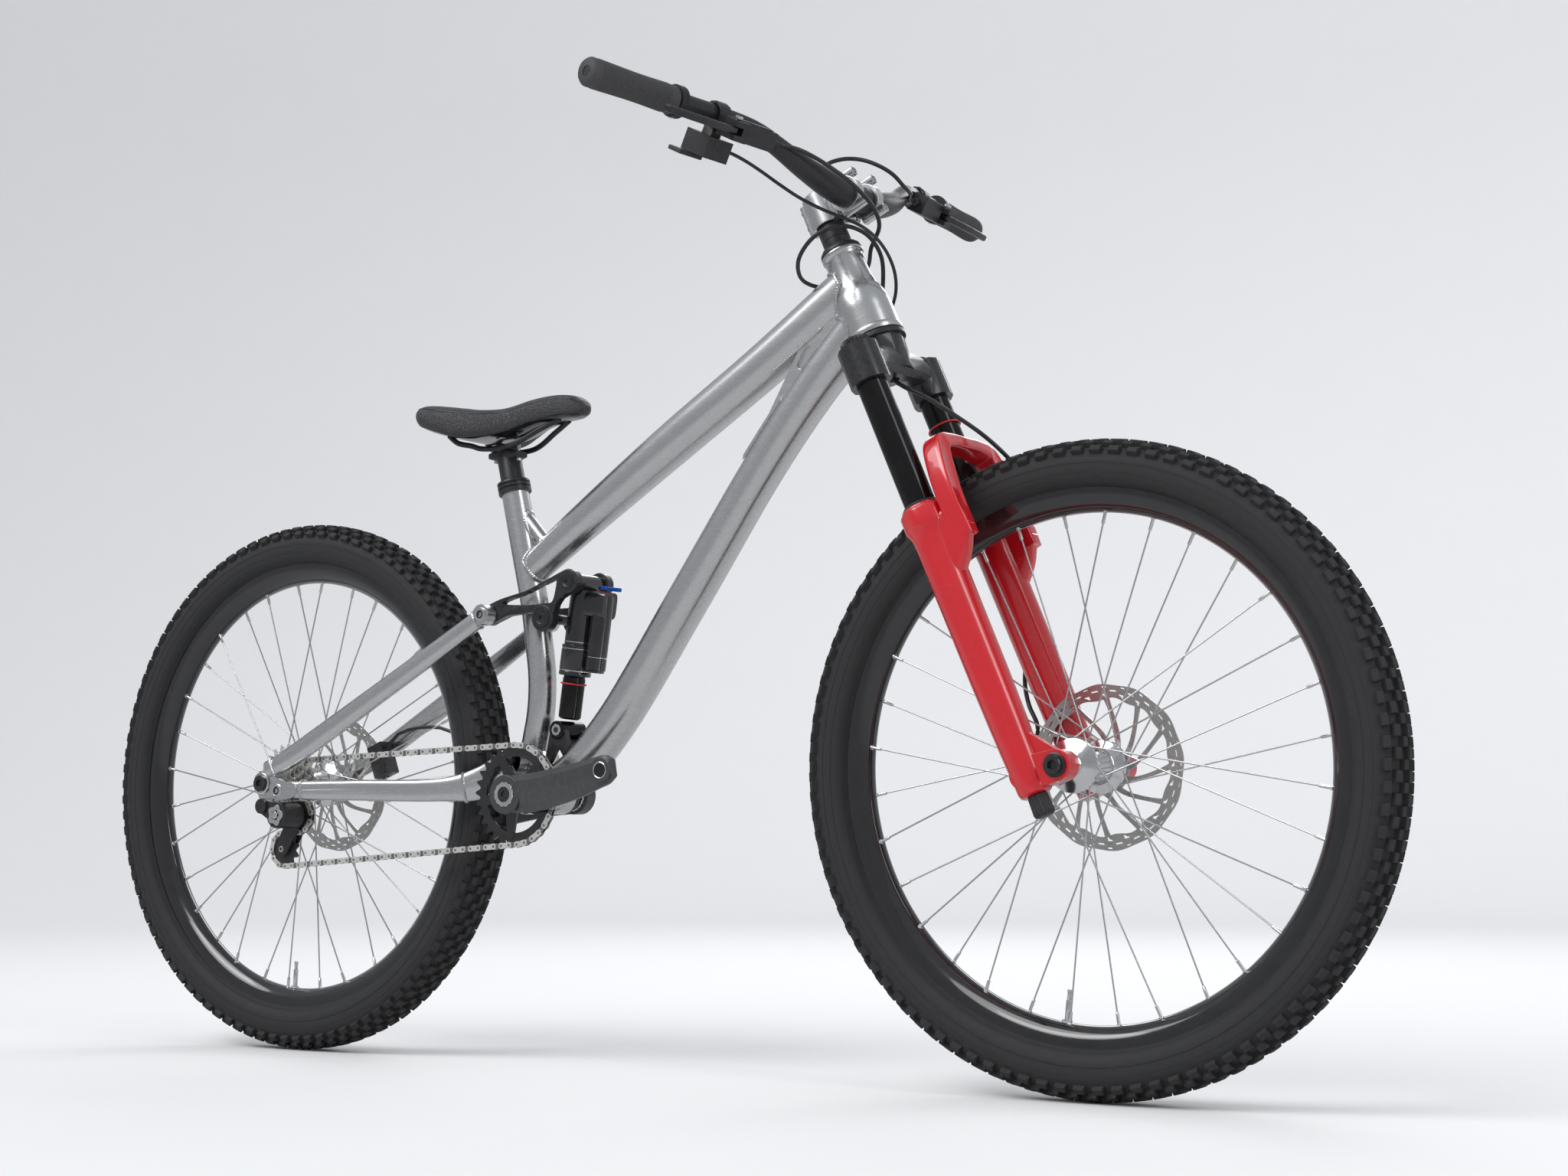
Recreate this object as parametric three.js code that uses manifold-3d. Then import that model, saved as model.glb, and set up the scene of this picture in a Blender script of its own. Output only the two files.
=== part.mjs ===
// A full-suspension dirt jump bike, in millimetres. +X is forward, +Y is the rider's left and +Z is up.
// The origin is on the ground, on the centre plane, midway between the front and rear edges of the tyres.
// Inside this file places are counted from the rear axle's foot on the ground until the whole bike is shifted.
import * as THREE from "three";
import { mergeVertices } from "three/addons/utils/BufferGeometryUtils.js";
import Module from "manifold-3d";

const wasm = await Module();
wasm.setup();
const { PI, abs, sin, cos, hypot, atan2, sign } = Math;
const degree = PI / 180;

// Clearances that many pieces share.
const seatGap = 0.3; // between pieces that are seated on, or cut by, each other
const runGap = 0.5; // round a shaft, and beside a part that turns
const overrun = 20; // how far a cutting tool passes the face it cuts

// Numbers of sides. They are counts, not sizes.
const tyreSides = 28;
const rimSides = 28;
const discSides = 12;
const roundSides = 12;
const smallSides = 8;
const tubeSides = 10;
const hoseSides = 8;

// Wheels, both alike apart from their hubs.
const wheelRadius = 350; // the tyre's outside
const tyreWidth = 61;
const rimFlangeRadius = 298;
const rimInnerRadius = 271;
const rimWidth = 34;
const rimLip = 4;
const beadRadius = 291;
const spokeCount = 32;
const spokeRadius = 0.9;
const flangeThickness = 5;
const flangeHoleInset = 4;
const valveRadius = 3;
const valveLength = 34;
const rotorRadius = 90;
const rotorThickness = 1.9;
const rotorBandWidth = 17;
const rotorHubRadius = 23;
const rotorArms = 6;
const rotorArmWidth = 6;

const frontHub = { spacing: 110, left: 26, right: -38, flangeRadius: 29, shellRadius: 17, bore: 8 };
const rearHub = { spacing: 148, left: 34, right: -22, flangeRadius: 30, shellRadius: 18, bore: 8 };
const rotorInset = 14.5; // from the hub's end face to the middle of the rotor

// Frame: the points that set its shape, counted from the rear axle and the ground.
const bottomBracketReach = 416;
const bottomBracketDrop = 20;
const headReach = 888.5; // middle of the head tube
const headHeight = 896.5;
const headAngle = 66.5 * degree;
const headLength = 116;
const headTopRadius = 23;
const headLowRadius = 32.5;
const headBore = 20.5;
const forkOffset = 43.4; // from the steering axis to the front axle
const seatTopReach = 366.5;
const seatTopHeight = 714;
const seatAngle = 77 * degree;
const seatTubeSize = 35;
const seatTubeStraight = 150;
const seatTubeBulge = 22; // how far the lower seat tube bows forward
const seatBoreClearance = 0.8;
const seatpostRadius = 15.45;
const topTubeSize = 52;
const topTubeEndSize = 40;
const downTubeSize = 49;
const braceSize = 17;
const braceWebThickness = 6;
const gussetThickness = 32;
const portLength = 30;
const portWidth = 11;
const portDepth = 3;
const portBend = 22; // bend of a cord as it turns into the gusset
const shellRadius = 24;
const shellWidth = 73;
const forgingWidth = 42; // of the bottom bracket forging and of the rocker boss
const cupRadius = 22;
const cupLength = 9;
const boltRadius = 7; // pivot shafts
const lugRadius = 15;
const rockerLugRadius = 13;

// Rear suspension: where its pivots are, counted from the rear axle's foot.
const mainPivot = { x: 394, z: 373 };
const dropPivot = { x: 36, z: 340 };
const stayPivot = { x: 371, z: 553 };
const rockerPivot = { x: 443, z: 547 };
const shockTop = { x: 483, z: 590 };
const shockFoot = { x: 455, z: 409 };

const chainstaySize = 27;
const chainstayWidth = 17;
const chainstayBossRadius = 17;
const chainstayBossWidth = 16;
const bridgeLength = 18;
const bridgeHeight = 26;
const seatstaySize = 26;
const seatstayWidth = 16;
const dropoutThickness = 6;
const dropoutRadius = 17;
const stayEyeRadius = 13;
const stayEyeWidth = 15;
const stayEyeInset = 62; // from the centre plane to the middle of the seatstay's front eye
const stayRearInset = 80; // from the centre plane to the middle of either stay at the axle
const rearAxleRadius = 7.5;
const axleHeadRadius = 12;
const axleHeadLength = 6;

const rockerPlate = 12;
const rockerInset = 24; // from the centre plane to the inner face of the rocker's plates
const rockerBossRadius = 16;
const rockerRim = 7;

const shockCanRadius = 20;
const shockCanUpperRadius = 17.5;
const shockCanSleeve = 38; // length of the wider lower part
const shockCanLip = 68; // from the lower eye to the can's lower lip
const shockShaftRadius = 14;
const shockEyeRadius = 12;
const shockEyeWidth = 24;
const reservoirRadius = 13;
const reservoirLength = 96;
const reservoirOffset = 31;
const shockHeadHeight = 30;
const shockHeadRim = 1; // how far the head is wider than the reservoir
const shockStroke = 36.6;
const shockLever = { length: 24, width: 7, thickness: 5, hub: 8 };
const yokeThickness = 8;
const yokeEyeRadius = 11;
const yokeHeight = 46;

// Drivetrain.
const chainPitch = 12.7;
const chainLine = 52; // from the centre plane to the chain
const chainringTeeth = 30;
const drivenTeeth = 14;
const pulleyTeeth = 11;
const sprocketTeeth = [11, 12, 14, 16, 18, 21, 25];
const sprocketPitch = 5;
const sprocketThickness = 1.5;
const sprocketCore = 16;
const toothRise = 1; // how far the teeth pass the pitch circle
const chainHeight = 8;
const chainPlate = 1.5;
const chainHalfWidth = 3.2;
const chainPinRadius = 1.8;
const ringThickness = 3;
const ringRim = 9;
const ringArms = 5;
const ringArmWidth = 11;
const ringHubRadius = 19;
const guidePulley = { x: 42, z: 308 };
const tensionPulley = { x: 16, z: 264 };
const pulleyThickness = 2.8; // of the teeth that the chain runs on
const pulleyBore = 4;
const cagePlate = 2;
const cageHalfWidth = 7.5;
const cageWidth = 26;
const clutchRadius = 17;
const hangerLength = 30;
const hangerWidth = 20;

const crankLength = 165;
const crankAngle = 9.1 * degree;
const crankBossRadius = 24;
const crankEyeRadius = 15;
const crankBossInner = 57; // from the centre plane to the inner face of a crank's boss
const crankBossWidth = 17;
const crankEyeOuter = 91;
const crankEyeWidth = 14;
const crankArmHeight = 44;
const spindleRadius = 14.5;
const pedalBore = 7.1;

// Fork, in its own frame: up along the steering axis, forward square to it.
const topTubeDrop = 108; // down the seat tube to the top tube's line
const braceDrop = 28; // down the seat tube to the brace
const braceWebDrop = 80;
const yokeDrop = 128;
const headUpperRise = 16; // up the head tube to the top tube's line
const headLowerDrop = 30; // down the head tube to the down tube's line
const legInset = 67; // from the centre plane to each leg
const legForward = 6;
const stanchionRadius = 17.5;
const stanchionTop = -86; // counted from the middle of the head tube
const crownTop = -66;
const crownFoot = -133;
const crownHeight = 42;
const crownCoreRadius = 27;
const crownSocketRadius = 24;
const crownDepth = 40;
const steererRadius = 14.3;
const hoseBore = 8;
const lowersTop = -291;
const forkTravel = 100;
const legRadius = 22.5;
const legFootRadius = 19;
const collarRadius = 26;
const collarHeight = 24;
const boreFootRise = 48.2; // from the axle up to the foot of the bore in each leg
const legDrop = 17; // how far the leg passes below the axle
const archHeight = 74;
const archDepth = 26;
const archBand = 15;
const archForward = 44.5;
const axleEyeRadius = 17;
const axleEyeWidth = 24;
const axleRadius = 7.5;
const knobRadius = 11;
const knobLength = 24;
const dialRadius = 17;
const dialHeight = 11;
const caliper = { length: 44, height: 26, slot: 4, overRotor: 2 };
const frontCaliper = { angle: 152 * degree, inner: 15, outer: 18 };
const rearCaliperPlace = { angle: 20 * degree, inner: 15, outer: 7 };

// Cockpit.
const coverHeight = 9;
const spacerHeight = 28;
const spacerRadius = 17;
const stemHeight = 42;
const stemWall = 4.5;
const stemReach = 44;
const stemDrop = 8;
const stemNeckWidth = 34;
const clampRadius = 15.9;
const clampWall = 6;
const clampWidth = 14;
const clampInset = 21;
const barEndRadius = 11.1;
const barHalfWidth = 400;
const gripLength = 132;
const gripRadius = 16;
const gripWall = 4.4;
const lockRingRadius = 18;
const lockRingLength = 11;
const controlTilt = 28 * degree; // how far the controls point below level
const leverBody = { length: 66, depth: 24, height: 22, setback: 82, forward: 29, drop: 6, band: 16 };
const leverBlade = { length: 112, depth: 11, thickness: 8, pivotSetback: 53, pivotForward: 40, bend: 16 };
const shifter = { length: 36, depth: 40, height: 24, setback: 55, forward: 4, drop: 34 };
const paddle = { length: 34, depth: 22, thickness: 5 };

// Seatpost and saddle.
const collarRings = 3;
const collarRise = 5;
const seatCollarRadius = 21;
const collarGroove = 1.4;
const postAbove = 57; // from the top of the seat tube to the saddle clamp
const postBelow = 118;
const postHead = { length: 46, width: 30, height: 15 };
const saddleLength = 248;
const saddleWidth = 138;
const saddleBack = 117.3; // from the clamp back to the rear end
const saddleStack = 63.7; // from the clamp up to the rear end's top
const saddleNoseDrop = 4; // from the rear end's top down to the nose's
const saddleDip = 14;
const saddleDepth = 40;
const saddleChannel = 4;
const shellThickness = 5;
const railRadius = 3.5;
const railSpread = 22; // from the centre plane to each rail at the clamp

// Hoses and the gear cable. Their routes are points chosen by hand along the real run.
const hoseRadius = 2.5;
const cableRadius = 2;
const hoseSteps = 34;

// Colours and finishes.
const finishes = {
  silver: { color: 0xc9cbcd, roughness: 0.35, metalness: 0.9 },
  black: { color: 0x121314, roughness: 0.45, metalness: 0.2 },
  anodised: { color: 0x17181a, roughness: 0.3, metalness: 0.7 },
  red: { color: 0xc4101c, roughness: 0.12, metalness: 0 },
  rubber: { color: 0x1c1c1d, roughness: 0.85, metalness: 0 },
  grip: { color: 0x2b2b2c, roughness: 0.8, metalness: 0 },
  steel: { color: 0xb8babc, roughness: 0.25, metalness: 1 },
  darkMetal: { color: 0x3a3c3f, roughness: 0.4, metalness: 0.7 },
  hose: { color: 0x1b1b1c, roughness: 0.5, metalness: 0 },
  cover: { color: 0x202021, roughness: 0.7, metalness: 0 },
};

// Places that follow from the sizes above.
const bottomBracket = { x: bottomBracketReach, z: wheelRadius - bottomBracketDrop };
const rearAxle = { x: 0, z: wheelRadius };
const steerUp = { x: -cos(headAngle), z: sin(headAngle) };
const steerForward = { x: sin(headAngle), z: cos(headAngle) };
const forkLength = (headHeight - wheelRadius + forkOffset * cos(headAngle)) / sin(headAngle);
const frontAxle = {
  x: headReach + forkLength * cos(headAngle) + forkOffset * sin(headAngle),
  z: wheelRadius,
};
const boreFoot = boreFootRise - forkLength;
const stanchionFoot = boreFoot + forkTravel + 2 * runGap;
const seatDown = { x: cos(seatAngle), z: -sin(seatAngle) };

// Points and directions.
const point = (x, y, z) => new THREE.Vector3(x, y, z);
const inPlane = (p, y = 0) => point(p.x, y, p.z);
const between = (a, b, share) => a + (b - a) * share;

function headPoint(up, forward, y = 0) {
  return point(
    headReach + up * steerUp.x + forward * steerForward.x,
    y,
    headHeight + up * steerUp.z + forward * steerForward.z,
  );
}

function seatPoint(down, y = 0) {
  return point(seatTopReach + down * seatDown.x, y, seatTopHeight + down * seatDown.z);
}

// A point beside the line from a to b: a share of the way along it, and a share of its length off to its left.
function beside(a, b, along, off) {
  const dx = b.x - a.x;
  const dz = b.z - a.z;
  return { x: a.x + dx * along - dz * off, z: a.z + dz * along + dx * off };
}

// Solids from surfaces. Every shape passes through here, so its faces point out and its vertices are shared.
function solid(geometry) {
  const open = geometry.index ? geometry.toNonIndexed() : geometry.clone();
  open.deleteAttribute("normal");
  open.deleteAttribute("uv");
  const merged = mergeVertices(open, 1e-3);
  const vertProperties = new Float32Array(merged.attributes.position.array);
  const triVerts = new Uint32Array(merged.index.array);
  if (signedVolume(vertProperties, triVerts) < 0) {
    triVerts.reverse();
  }
  return new wasm.Manifold(new wasm.Mesh({ numProp: 3, vertProperties, triVerts }));
}

function signedVolume(places, corners) {
  const [a, b, c] = [point(0, 0, 0), point(0, 0, 0), point(0, 0, 0)];
  let sum = 0;
  for (let i = 0; i < corners.length; i += 3) {
    a.fromArray(places, 3 * corners[i]);
    b.fromArray(places, 3 * corners[i + 1]);
    c.fromArray(places, 3 * corners[i + 2]);
    sum += a.dot(b.cross(c));
  }
  return sum / 6;
}

function surface(body) {
  const made = body.getMesh();
  const places = new Float32Array(made.numVert * 3);
  for (let i = 0; i < made.numVert; i++) {
    places.set(made.vertProperties.subarray(i * made.numProp, i * made.numProp + 3), i * 3);
  }
  return new THREE.BufferGeometry()
    .setAttribute("position", new THREE.BufferAttribute(places, 3))
    .setIndex(new THREE.BufferAttribute(new Uint32Array(made.triVerts), 1));
}

const join = (...shapes) => surface(shapes.map(solid).reduce((all, one) => all.add(one)));
const cut = (shape, ...tools) => surface(tools.map(solid).reduce((left, tool) => left.subtract(tool), solid(shape)));

// A closed skin through rings of points, with a flat cap on each end.
function loft(rings) {
  const sides = rings[0].length;
  const places = rings.flat().flatMap((p) => [p.x, p.y, p.z]);
  const corners = [];
  for (let r = 0; r + 1 < rings.length; r++) {
    for (let i = 0; i < sides; i++) {
      const a = r * sides + i;
      const b = r * sides + ((i + 1) % sides);
      corners.push(a, b, b + sides, a, b + sides, a + sides);
    }
  }
  const last = (rings.length - 1) * sides;
  for (let i = 1; i + 1 < sides; i++) {
    corners.push(0, i + 1, i, last, last + i, last + i + 1);
  }
  return new THREE.BufferGeometry()
    .setAttribute("position", new THREE.Float32BufferAttribute(places, 3))
    .setIndex(corners);
}

// A ring of points round centre in the plane of up and side: an ellipse, or squarer as square grows from 1.
function ring(centre, up, side, height, width, sides, square = 1) {
  const made = [];
  for (let i = 0; i < sides; i++) {
    const angle = (2 * PI * (i + 0.5)) / sides;
    const c = sign(cos(angle)) * abs(cos(angle)) ** (1 / square);
    const s = sign(sin(angle)) * abs(sin(angle)) ** (1 / square);
    made.push(
      centre
        .clone()
        .addScaledVector(up, (height / 2) * c)
        .addScaledVector(side, (width / 2) * s),
    );
  }
  return made;
}

// A tube whose height and width change along a line of stations {x, y, z, height, width}.
function shapedTube(stations, steps, sides, square = 1, extra = 0) {
  const line = new THREE.CatmullRomCurve3(stations.map((s) => point(s.x, s.y ?? 0, s.z)));
  const size = new THREE.CatmullRomCurve3(stations.map((s) => point(s.height, s.width ?? s.height, 0)));
  const rings = [];
  for (let i = 0; i <= steps; i++) {
    const t = i / steps;
    const ahead = line.getTangent(t);
    const side = point(0, 1, 0).addScaledVector(ahead, -ahead.y).normalize();
    const up = side.clone().cross(ahead).normalize();
    const here = size.getPoint(t);
    rings.push(ring(line.getPoint(t), up, side, here.x + 2 * extra, here.y + 2 * extra, sides, square));
  }
  return loft(rings);
}

// A round tube along a hand-chosen route.
function hose(route, radius, steps) {
  const circle = new THREE.Shape().absarc(0, 0, radius, 0, 2 * PI);
  const line = new THREE.CatmullRomCurve3(route, false, "centripetal");
  return new THREE.ExtrudeGeometry(circle, { steps, curveSegments: hoseSides / 2, extrudePath: line });
}

// A plain round rod from a to b, or a cone between two radii.
function rod(a, b, radius, sides = roundSides, endRadius = radius) {
  const shape = new THREE.CylinderGeometry(endRadius, radius, a.distanceTo(b), sides);
  const turn = new THREE.Quaternion().setFromUnitVectors(point(0, 1, 0), b.clone().sub(a).normalize());
  return shape.applyQuaternion(turn).translate(...a.clone().add(b).divideScalar(2));
}

// A rod across the bike, between two distances from the centre plane.
const crossRod = (at, y0, y1, radius, sides = roundSides) => rod(inPlane(at, y0), inPlane(at, y1), radius, sides);

// A round solid on the Y axis from a profile of [radius, y] points, moved to a place.
function turned(profile, sides, at = { x: 0, z: 0 }) {
  const outline = profile.map(([r, y]) => new THREE.Vector2(r, y));
  return new THREE.LatheGeometry(outline, sides).translate(at.x, 0, at.z);
}

// A flat plate in the plane of the bike, from an outline of {x, z} points, between two distances from the centre plane.
function plate(outline, y0, y1, holes = []) {
  const loop = (points) => {
    const flat = points.map((p) => new THREE.Vector2(p.x, p.z));
    return THREE.ShapeUtils.isClockWise(flat) ? flat.reverse() : flat;
  };
  const shape = new THREE.Shape(loop(outline));
  shape.holes = holes.map((hole) => new THREE.Path(loop(hole)));
  return new THREE.ExtrudeGeometry(shape, { depth: abs(y1 - y0), bevelEnabled: false })
    .rotateX(PI / 2)
    .translate(0, Math.max(y0, y1), 0);
}

function block(x0, x1, y0, y1, z0, z1) {
  return new THREE.BoxGeometry(abs(x1 - x0), abs(y1 - y0), abs(z1 - z0)).translate(
    (x0 + x1) / 2,
    (y0 + y1) / 2,
    (z0 + z1) / 2,
  );
}

function arc(centre, radius, from, to, steps) {
  const made = [];
  for (let i = 0; i <= steps; i++) {
    const angle = between(from, to, i / steps);
    made.push({ x: centre.x + radius * cos(angle), z: centre.z + radius * sin(angle) });
  }
  return made;
}

// The outline round two circles and the straight lines that touch both: a link, a crank or a lug.
function linkOutline(a, b, radiusA, radiusB, steps) {
  const way = atan2(b.z - a.z, b.x - a.x);
  const lean = Math.acos((radiusA - radiusB) / hypot(b.x - a.x, b.z - a.z));
  return [
    ...arc(a, radiusA, way + lean, way - lean + 2 * PI, steps),
    ...arc(b, radiusB, way - lean, way + lean, steps),
  ];
}

function node(name, shape, finish) {
  const made = new THREE.Mesh(surface(solid(shape)), new THREE.MeshStandardMaterial(finishes[finish]));
  made.name = name;
  return made;
}

// Frame tubes. extra grows a tube by a clearance where it cuts its neighbour.
function headTube(extra = 0) {
  const half = headLength / 2;
  const flareShares = [0.42, 0.2, -0.05, -0.3]; // of half the length: where the tube widens to its lower seat
  const growShares = [0, 0.18, 0.72, 1];
  const outside = flareShares.map((share, i) => [
    between(headTopRadius, headLowRadius, growShares[i]) + extra,
    share * half,
  ]);
  const profile = [
    [headBore, -half - extra],
    [headLowRadius + extra, -half - extra],
    ...outside.reverse(),
    [headTopRadius + extra, half + extra],
    [headBore, half + extra],
    [headBore, -half - extra],
  ];
  return turned(profile, roundSides + 4)
    .rotateX(PI / 2)
    .rotateY(headAngle - PI / 2)
    .translate(headReach, 0, headHeight);
}

const seatNode = { x: seatPoint(topTubeDrop).x, z: seatPoint(topTubeDrop).z }; // where the top tube's line meets the seat tube
const headUpperNode = headPoint(headUpperRise, 0);
const headLowerNode = headPoint(-headLowerDrop, 0);

function topTube(extra = 0) {
  const shares = [
    [0.02, 0, topTubeEndSize / topTubeSize],
    [0.14, 0.004, 0.86],
    [0.45, 0.004, 1],
    [0.75, -0.002, 1.03],
    [0.99, 0, 1.08],
  ];
  const stations = shares.map(([along, off, size]) => ({
    ...beside(seatNode, headUpperNode, along, off),
    height: size * topTubeSize,
    width: size * topTubeSize * 0.88,
  }));
  return shapedTube(stations, 5, tubeSides, 1.12, extra);
}

function downTube(extra = 0) {
  const shares = [
    [0.0, -0.002, 0.94],
    [0.09, -0.03, 1.0],
    [0.195, -0.038, 1],
    [0.45, -0.018, 1],
    [0.7, 0.004, 0.98],
    [0.86, 0.008, 1.02],
    [0.99, 0, 1.12],
  ];
  const stations = shares.map(([along, off, size]) => ({
    ...beside(bottomBracket, headLowerNode, along, off),
    height: size * downTubeSize,
    width: size * downTubeSize * 1.04,
  }));
  return shapedTube(stations, 9, tubeSides, 1.15, extra);
}

function seatTube(extra = 0) {
  const straightEnd = seatPoint(seatTubeStraight);
  const foot = { x: mainPivot.x + lugRadius / 2, z: mainPivot.z + lugRadius };
  const bowShares = [
    [0.25, 0.55],
    [0.5, 1],
    [0.74, 0.85],
  ];
  const bow = bowShares.map(([along, out]) => ({
    x: between(straightEnd.x, foot.x, along) + out * seatTubeBulge * 0.55,
    z: between(straightEnd.z, foot.z, along),
  }));
  const line = [seatPoint(0), seatPoint(seatTubeStraight / 2), straightEnd, ...bow, foot];
  return shapedTube(
    line.map((p) => ({ x: p.x, z: p.z, height: seatTubeSize, width: seatTubeSize })),
    8,
    tubeSides,
    1,
    extra,
  );
}

function seatBrace() {
  const top = seatPoint(braceDrop);
  const foot = beside(seatNode, headUpperNode, 0.075, 0.02);
  const high = { x: top.x + seatTubeSize * 0.2, z: top.z };
  const tubeShape = rod(inPlane(high), inPlane(foot), braceSize / 2, smallSides);
  const web = plate([high, foot, seatPoint(braceWebDrop)], -braceWebThickness / 2, braceWebThickness / 2);
  return join(tubeShape, web);
}

function bottomBracketForging(extra = 0) {
  const half = forgingWidth / 2 + extra;
  const shell = crossRod(bottomBracket, -shellWidth / 2 - extra, shellWidth / 2 + extra, shellRadius + extra);
  const web = plate(
    linkOutline(bottomBracket, mainPivot, shellRadius + extra, lugRadius + extra, 8),
    -half,
    half,
  );
  return join(shell, web);
}

function rockerLug() {
  const root = seatPoint(yokeDrop);
  const outline = [
    { x: root.x, z: root.z },
    ...arc(rockerPivot, rockerLugRadius, PI * 0.6, -PI * 0.35, 6),
    { x: between(rockerPivot.x, root.x, 0.55), z: between(rockerPivot.z, shockFoot.z, 0.45) },
    { x: root.x, z: between(rockerPivot.z, shockFoot.z, 0.42) },
  ];
  return plate(outline, -forgingWidth / 2, forgingWidth / 2);
}

const pivotBore = (at) => crossRod(at, -overrun - forgingWidth, overrun + forgingWidth, boltRadius + 2 * runGap, smallSides);

function frameNodes() {
  const cups = [-1, 1].map((side) =>
    crossRod(bottomBracket, (side * shellWidth) / 2 - side, side * (shellWidth / 2 + cupLength), cupRadius),
  );
  const spindleBore = crossRod(bottomBracket, -shellWidth, shellWidth, spindleRadius + 2 * runGap);
  const postBore = rod(seatPoint(-overrun), seatPoint(postBelow + overrun), seatpostRadius + seatBoreClearance);
  const seat = cut(
    join(cut(seatTube(), bottomBracketForging(seatGap)), rockerLug(), cut(seatBrace(), topTube(seatGap))),
    postBore,
    pivotBore(rockerPivot),
  );
  return [
    node("head_tube", headTube(), "silver"),
    node("top_tube", cut(topTube(), solidHead(seatGap), seatTube(seatGap)), "silver"),
    node(
      "down_tube",
      cut(downTube(), solidHead(seatGap), belowHead(), topTube(seatGap), bottomBracketForging(seatGap), yokeRoom()),
      "silver",
    ),
    node("seat_tube", seat, "silver"),
    node("bottom_bracket", cut(join(bottomBracketForging(), ...cups), spindleBore, pivotBore(mainPivot)), "silver"),
    node("head_gusset", headGusset(), "silver"),
    node("seat_collar", seatCollar(), "black"),
    node("shock_yoke", shockYoke(), "black"),
  ];
}

// The head tube without its bore, which cuts the tubes that end on it.
function solidHead(extra) {
  const half = headLength / 2 + extra;
  return join(headTube(extra), rod(headPoint(-half, 0), headPoint(half, 0), headBore + 1));
}

// The room below the head tube, which the down tube doesn't reach.
const belowHead = () => rod(headPoint(-headLength, 0), headPoint(-headLength / 2, 0), headLowRadius + overrun);

// The gusset's rear edge, between the down tube and the top tube, and the slot beside it where the cords go in.
const gussetRear = beside(bottomBracket, headLowerNode, 0.72, 0.03);
const gussetTop = beside(seatNode, headUpperNode, 0.85, -0.035);

function portPlace(share) {
  const edge = atan2(gussetTop.z - gussetRear.z, gussetTop.x - gussetRear.x);
  const along = (share - 0.5) * (portLength - portWidth);
  return {
    x: between(gussetRear.x, gussetTop.x, 0.9) + 1.05 * portWidth * sin(edge) + along * cos(edge),
    z: between(gussetRear.z, gussetTop.z, 0.9) - 1.05 * portWidth * cos(edge) + along * sin(edge),
  };
}

function headGusset() {
  const half = gussetThickness / 2;
  const outline = [
    gussetRear,
    gussetTop,
    { x: headUpperNode.x, z: headUpperNode.z },
    { x: headLowerNode.x, z: headLowerNode.z },
    beside(bottomBracket, headLowerNode, 0.8, 0),
  ];
  const slot = linkOutline(portPlace(0), portPlace(1), portWidth / 2, portWidth / 2, 6);
  const ports = [-1, 1].map((side) => plate(slot, side * (half - portDepth), side * (half + overrun)));
  return cut(plate(outline, -half, half), solidHead(seatGap), topTube(seatGap), downTube(seatGap), ...ports);
}

function seatCollar() {
  const profile = [[seatpostRadius + seatBoreClearance, 0]];
  for (let i = 0; i < collarRings; i++) {
    const low = i * (collarRise + collarGroove);
    profile.push([seatCollarRadius, low]);
    profile.push([seatCollarRadius, low + collarRise]);
    profile.push([seatCollarRadius - collarGroove, low + collarRise + collarGroove]);
  }
  const height = profile.at(-1)[1];
  profile.push([seatpostRadius + seatBoreClearance, height], profile[0]);
  const lug = block(-seatCollarRadius - braceWebThickness, -seatpostRadius - 1, -6, 6, collarGroove, height - collarGroove);
  const bore = rod(point(0, 0, -overrun), point(0, 0, height + overrun), seatpostRadius + seatBoreClearance);
  return cut(join(turned(profile, roundSides).rotateX(PI / 2), lug), bore)
    .rotateY(seatAngle - PI / 2)
    .translate(...seatPoint(-seatGap));
}

// The forged fork that carries the shock's lower eye, on top of the bottom bracket.
function shockYoke() {
  const inner = shockEyeWidth / 2 + seatGap;
  const outer = inner + yokeThickness;
  const rear = { x: shockFoot.x - 22, z: shockFoot.z - yokeHeight };
  const front = { x: shockFoot.x + 24, z: shockFoot.z - yokeHeight - 4 };
  const outline = [
    rear,
    ...arc(shockFoot, yokeEyeRadius, PI * 0.95, PI * 0.05, 6),
    front,
    { x: shockFoot.x, z: shockFoot.z - 2 * yokeHeight },
  ];
  const windowShares = [
    [-0.3, -0.9],
    [0, -0.42],
    [0.34, -0.9],
  ];
  const opening = windowShares.map(([a, b]) => ({ x: shockFoot.x + a * yokeHeight, z: shockFoot.z + b * yokeHeight }));
  const cheeks = [-1, 1].map((side) => plate(outline, side * inner, side * outer, [opening]));
  const base = block(rear.x, front.x, -outer, outer, shockFoot.z - 2 * yokeHeight, shockFoot.z - yokeHeight);
  const bolt = crossRod(shockFoot, -outer - 2, outer + 2, boltRadius - 2 * runGap, smallSides);
  const made = cut(join(...cheeks, base, bolt), downTube(seatGap), bottomBracketForging(seatGap), seatTube(seatGap));
  return largestPiece(made);
}

const yokeRoom = () => crossRod({ x: shockFoot.x, z: shockFoot.z }, -shockEyeWidth, shockEyeWidth, yokeEyeRadius);

// Cutting a block by a tube can leave slivers on the tube's far side: only the main piece is kept.
function largestPiece(shape) {
  const pieces = solid(shape).decompose();
  return surface(pieces.reduce((best, one) => (one.volume() > best.volume() ? one : best)));
}

// Wheels.
function tyre(at) {
  const half = tyreWidth / 2;
  const bead = rimWidth / 2 - rimLip - seatGap;
  const shares = [
    [1, 0.42],
    [0.88, 0.82],
    [0.38, 1],
  ];
  const above = rimFlangeRadius + seatGap + runGap;
  const side = (way) => shares.map(([out, up]) => [between(above, wheelRadius, up), way * out * half]);
  const profile = [
    [beadRadius, -bead],
    [above, -bead],
    ...side(-1),
    ...side(1).reverse(),
    [above, bead],
    [beadRadius, bead],
    [beadRadius, -bead],
  ];
  return turned(profile, tyreSides, at);
}

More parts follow.
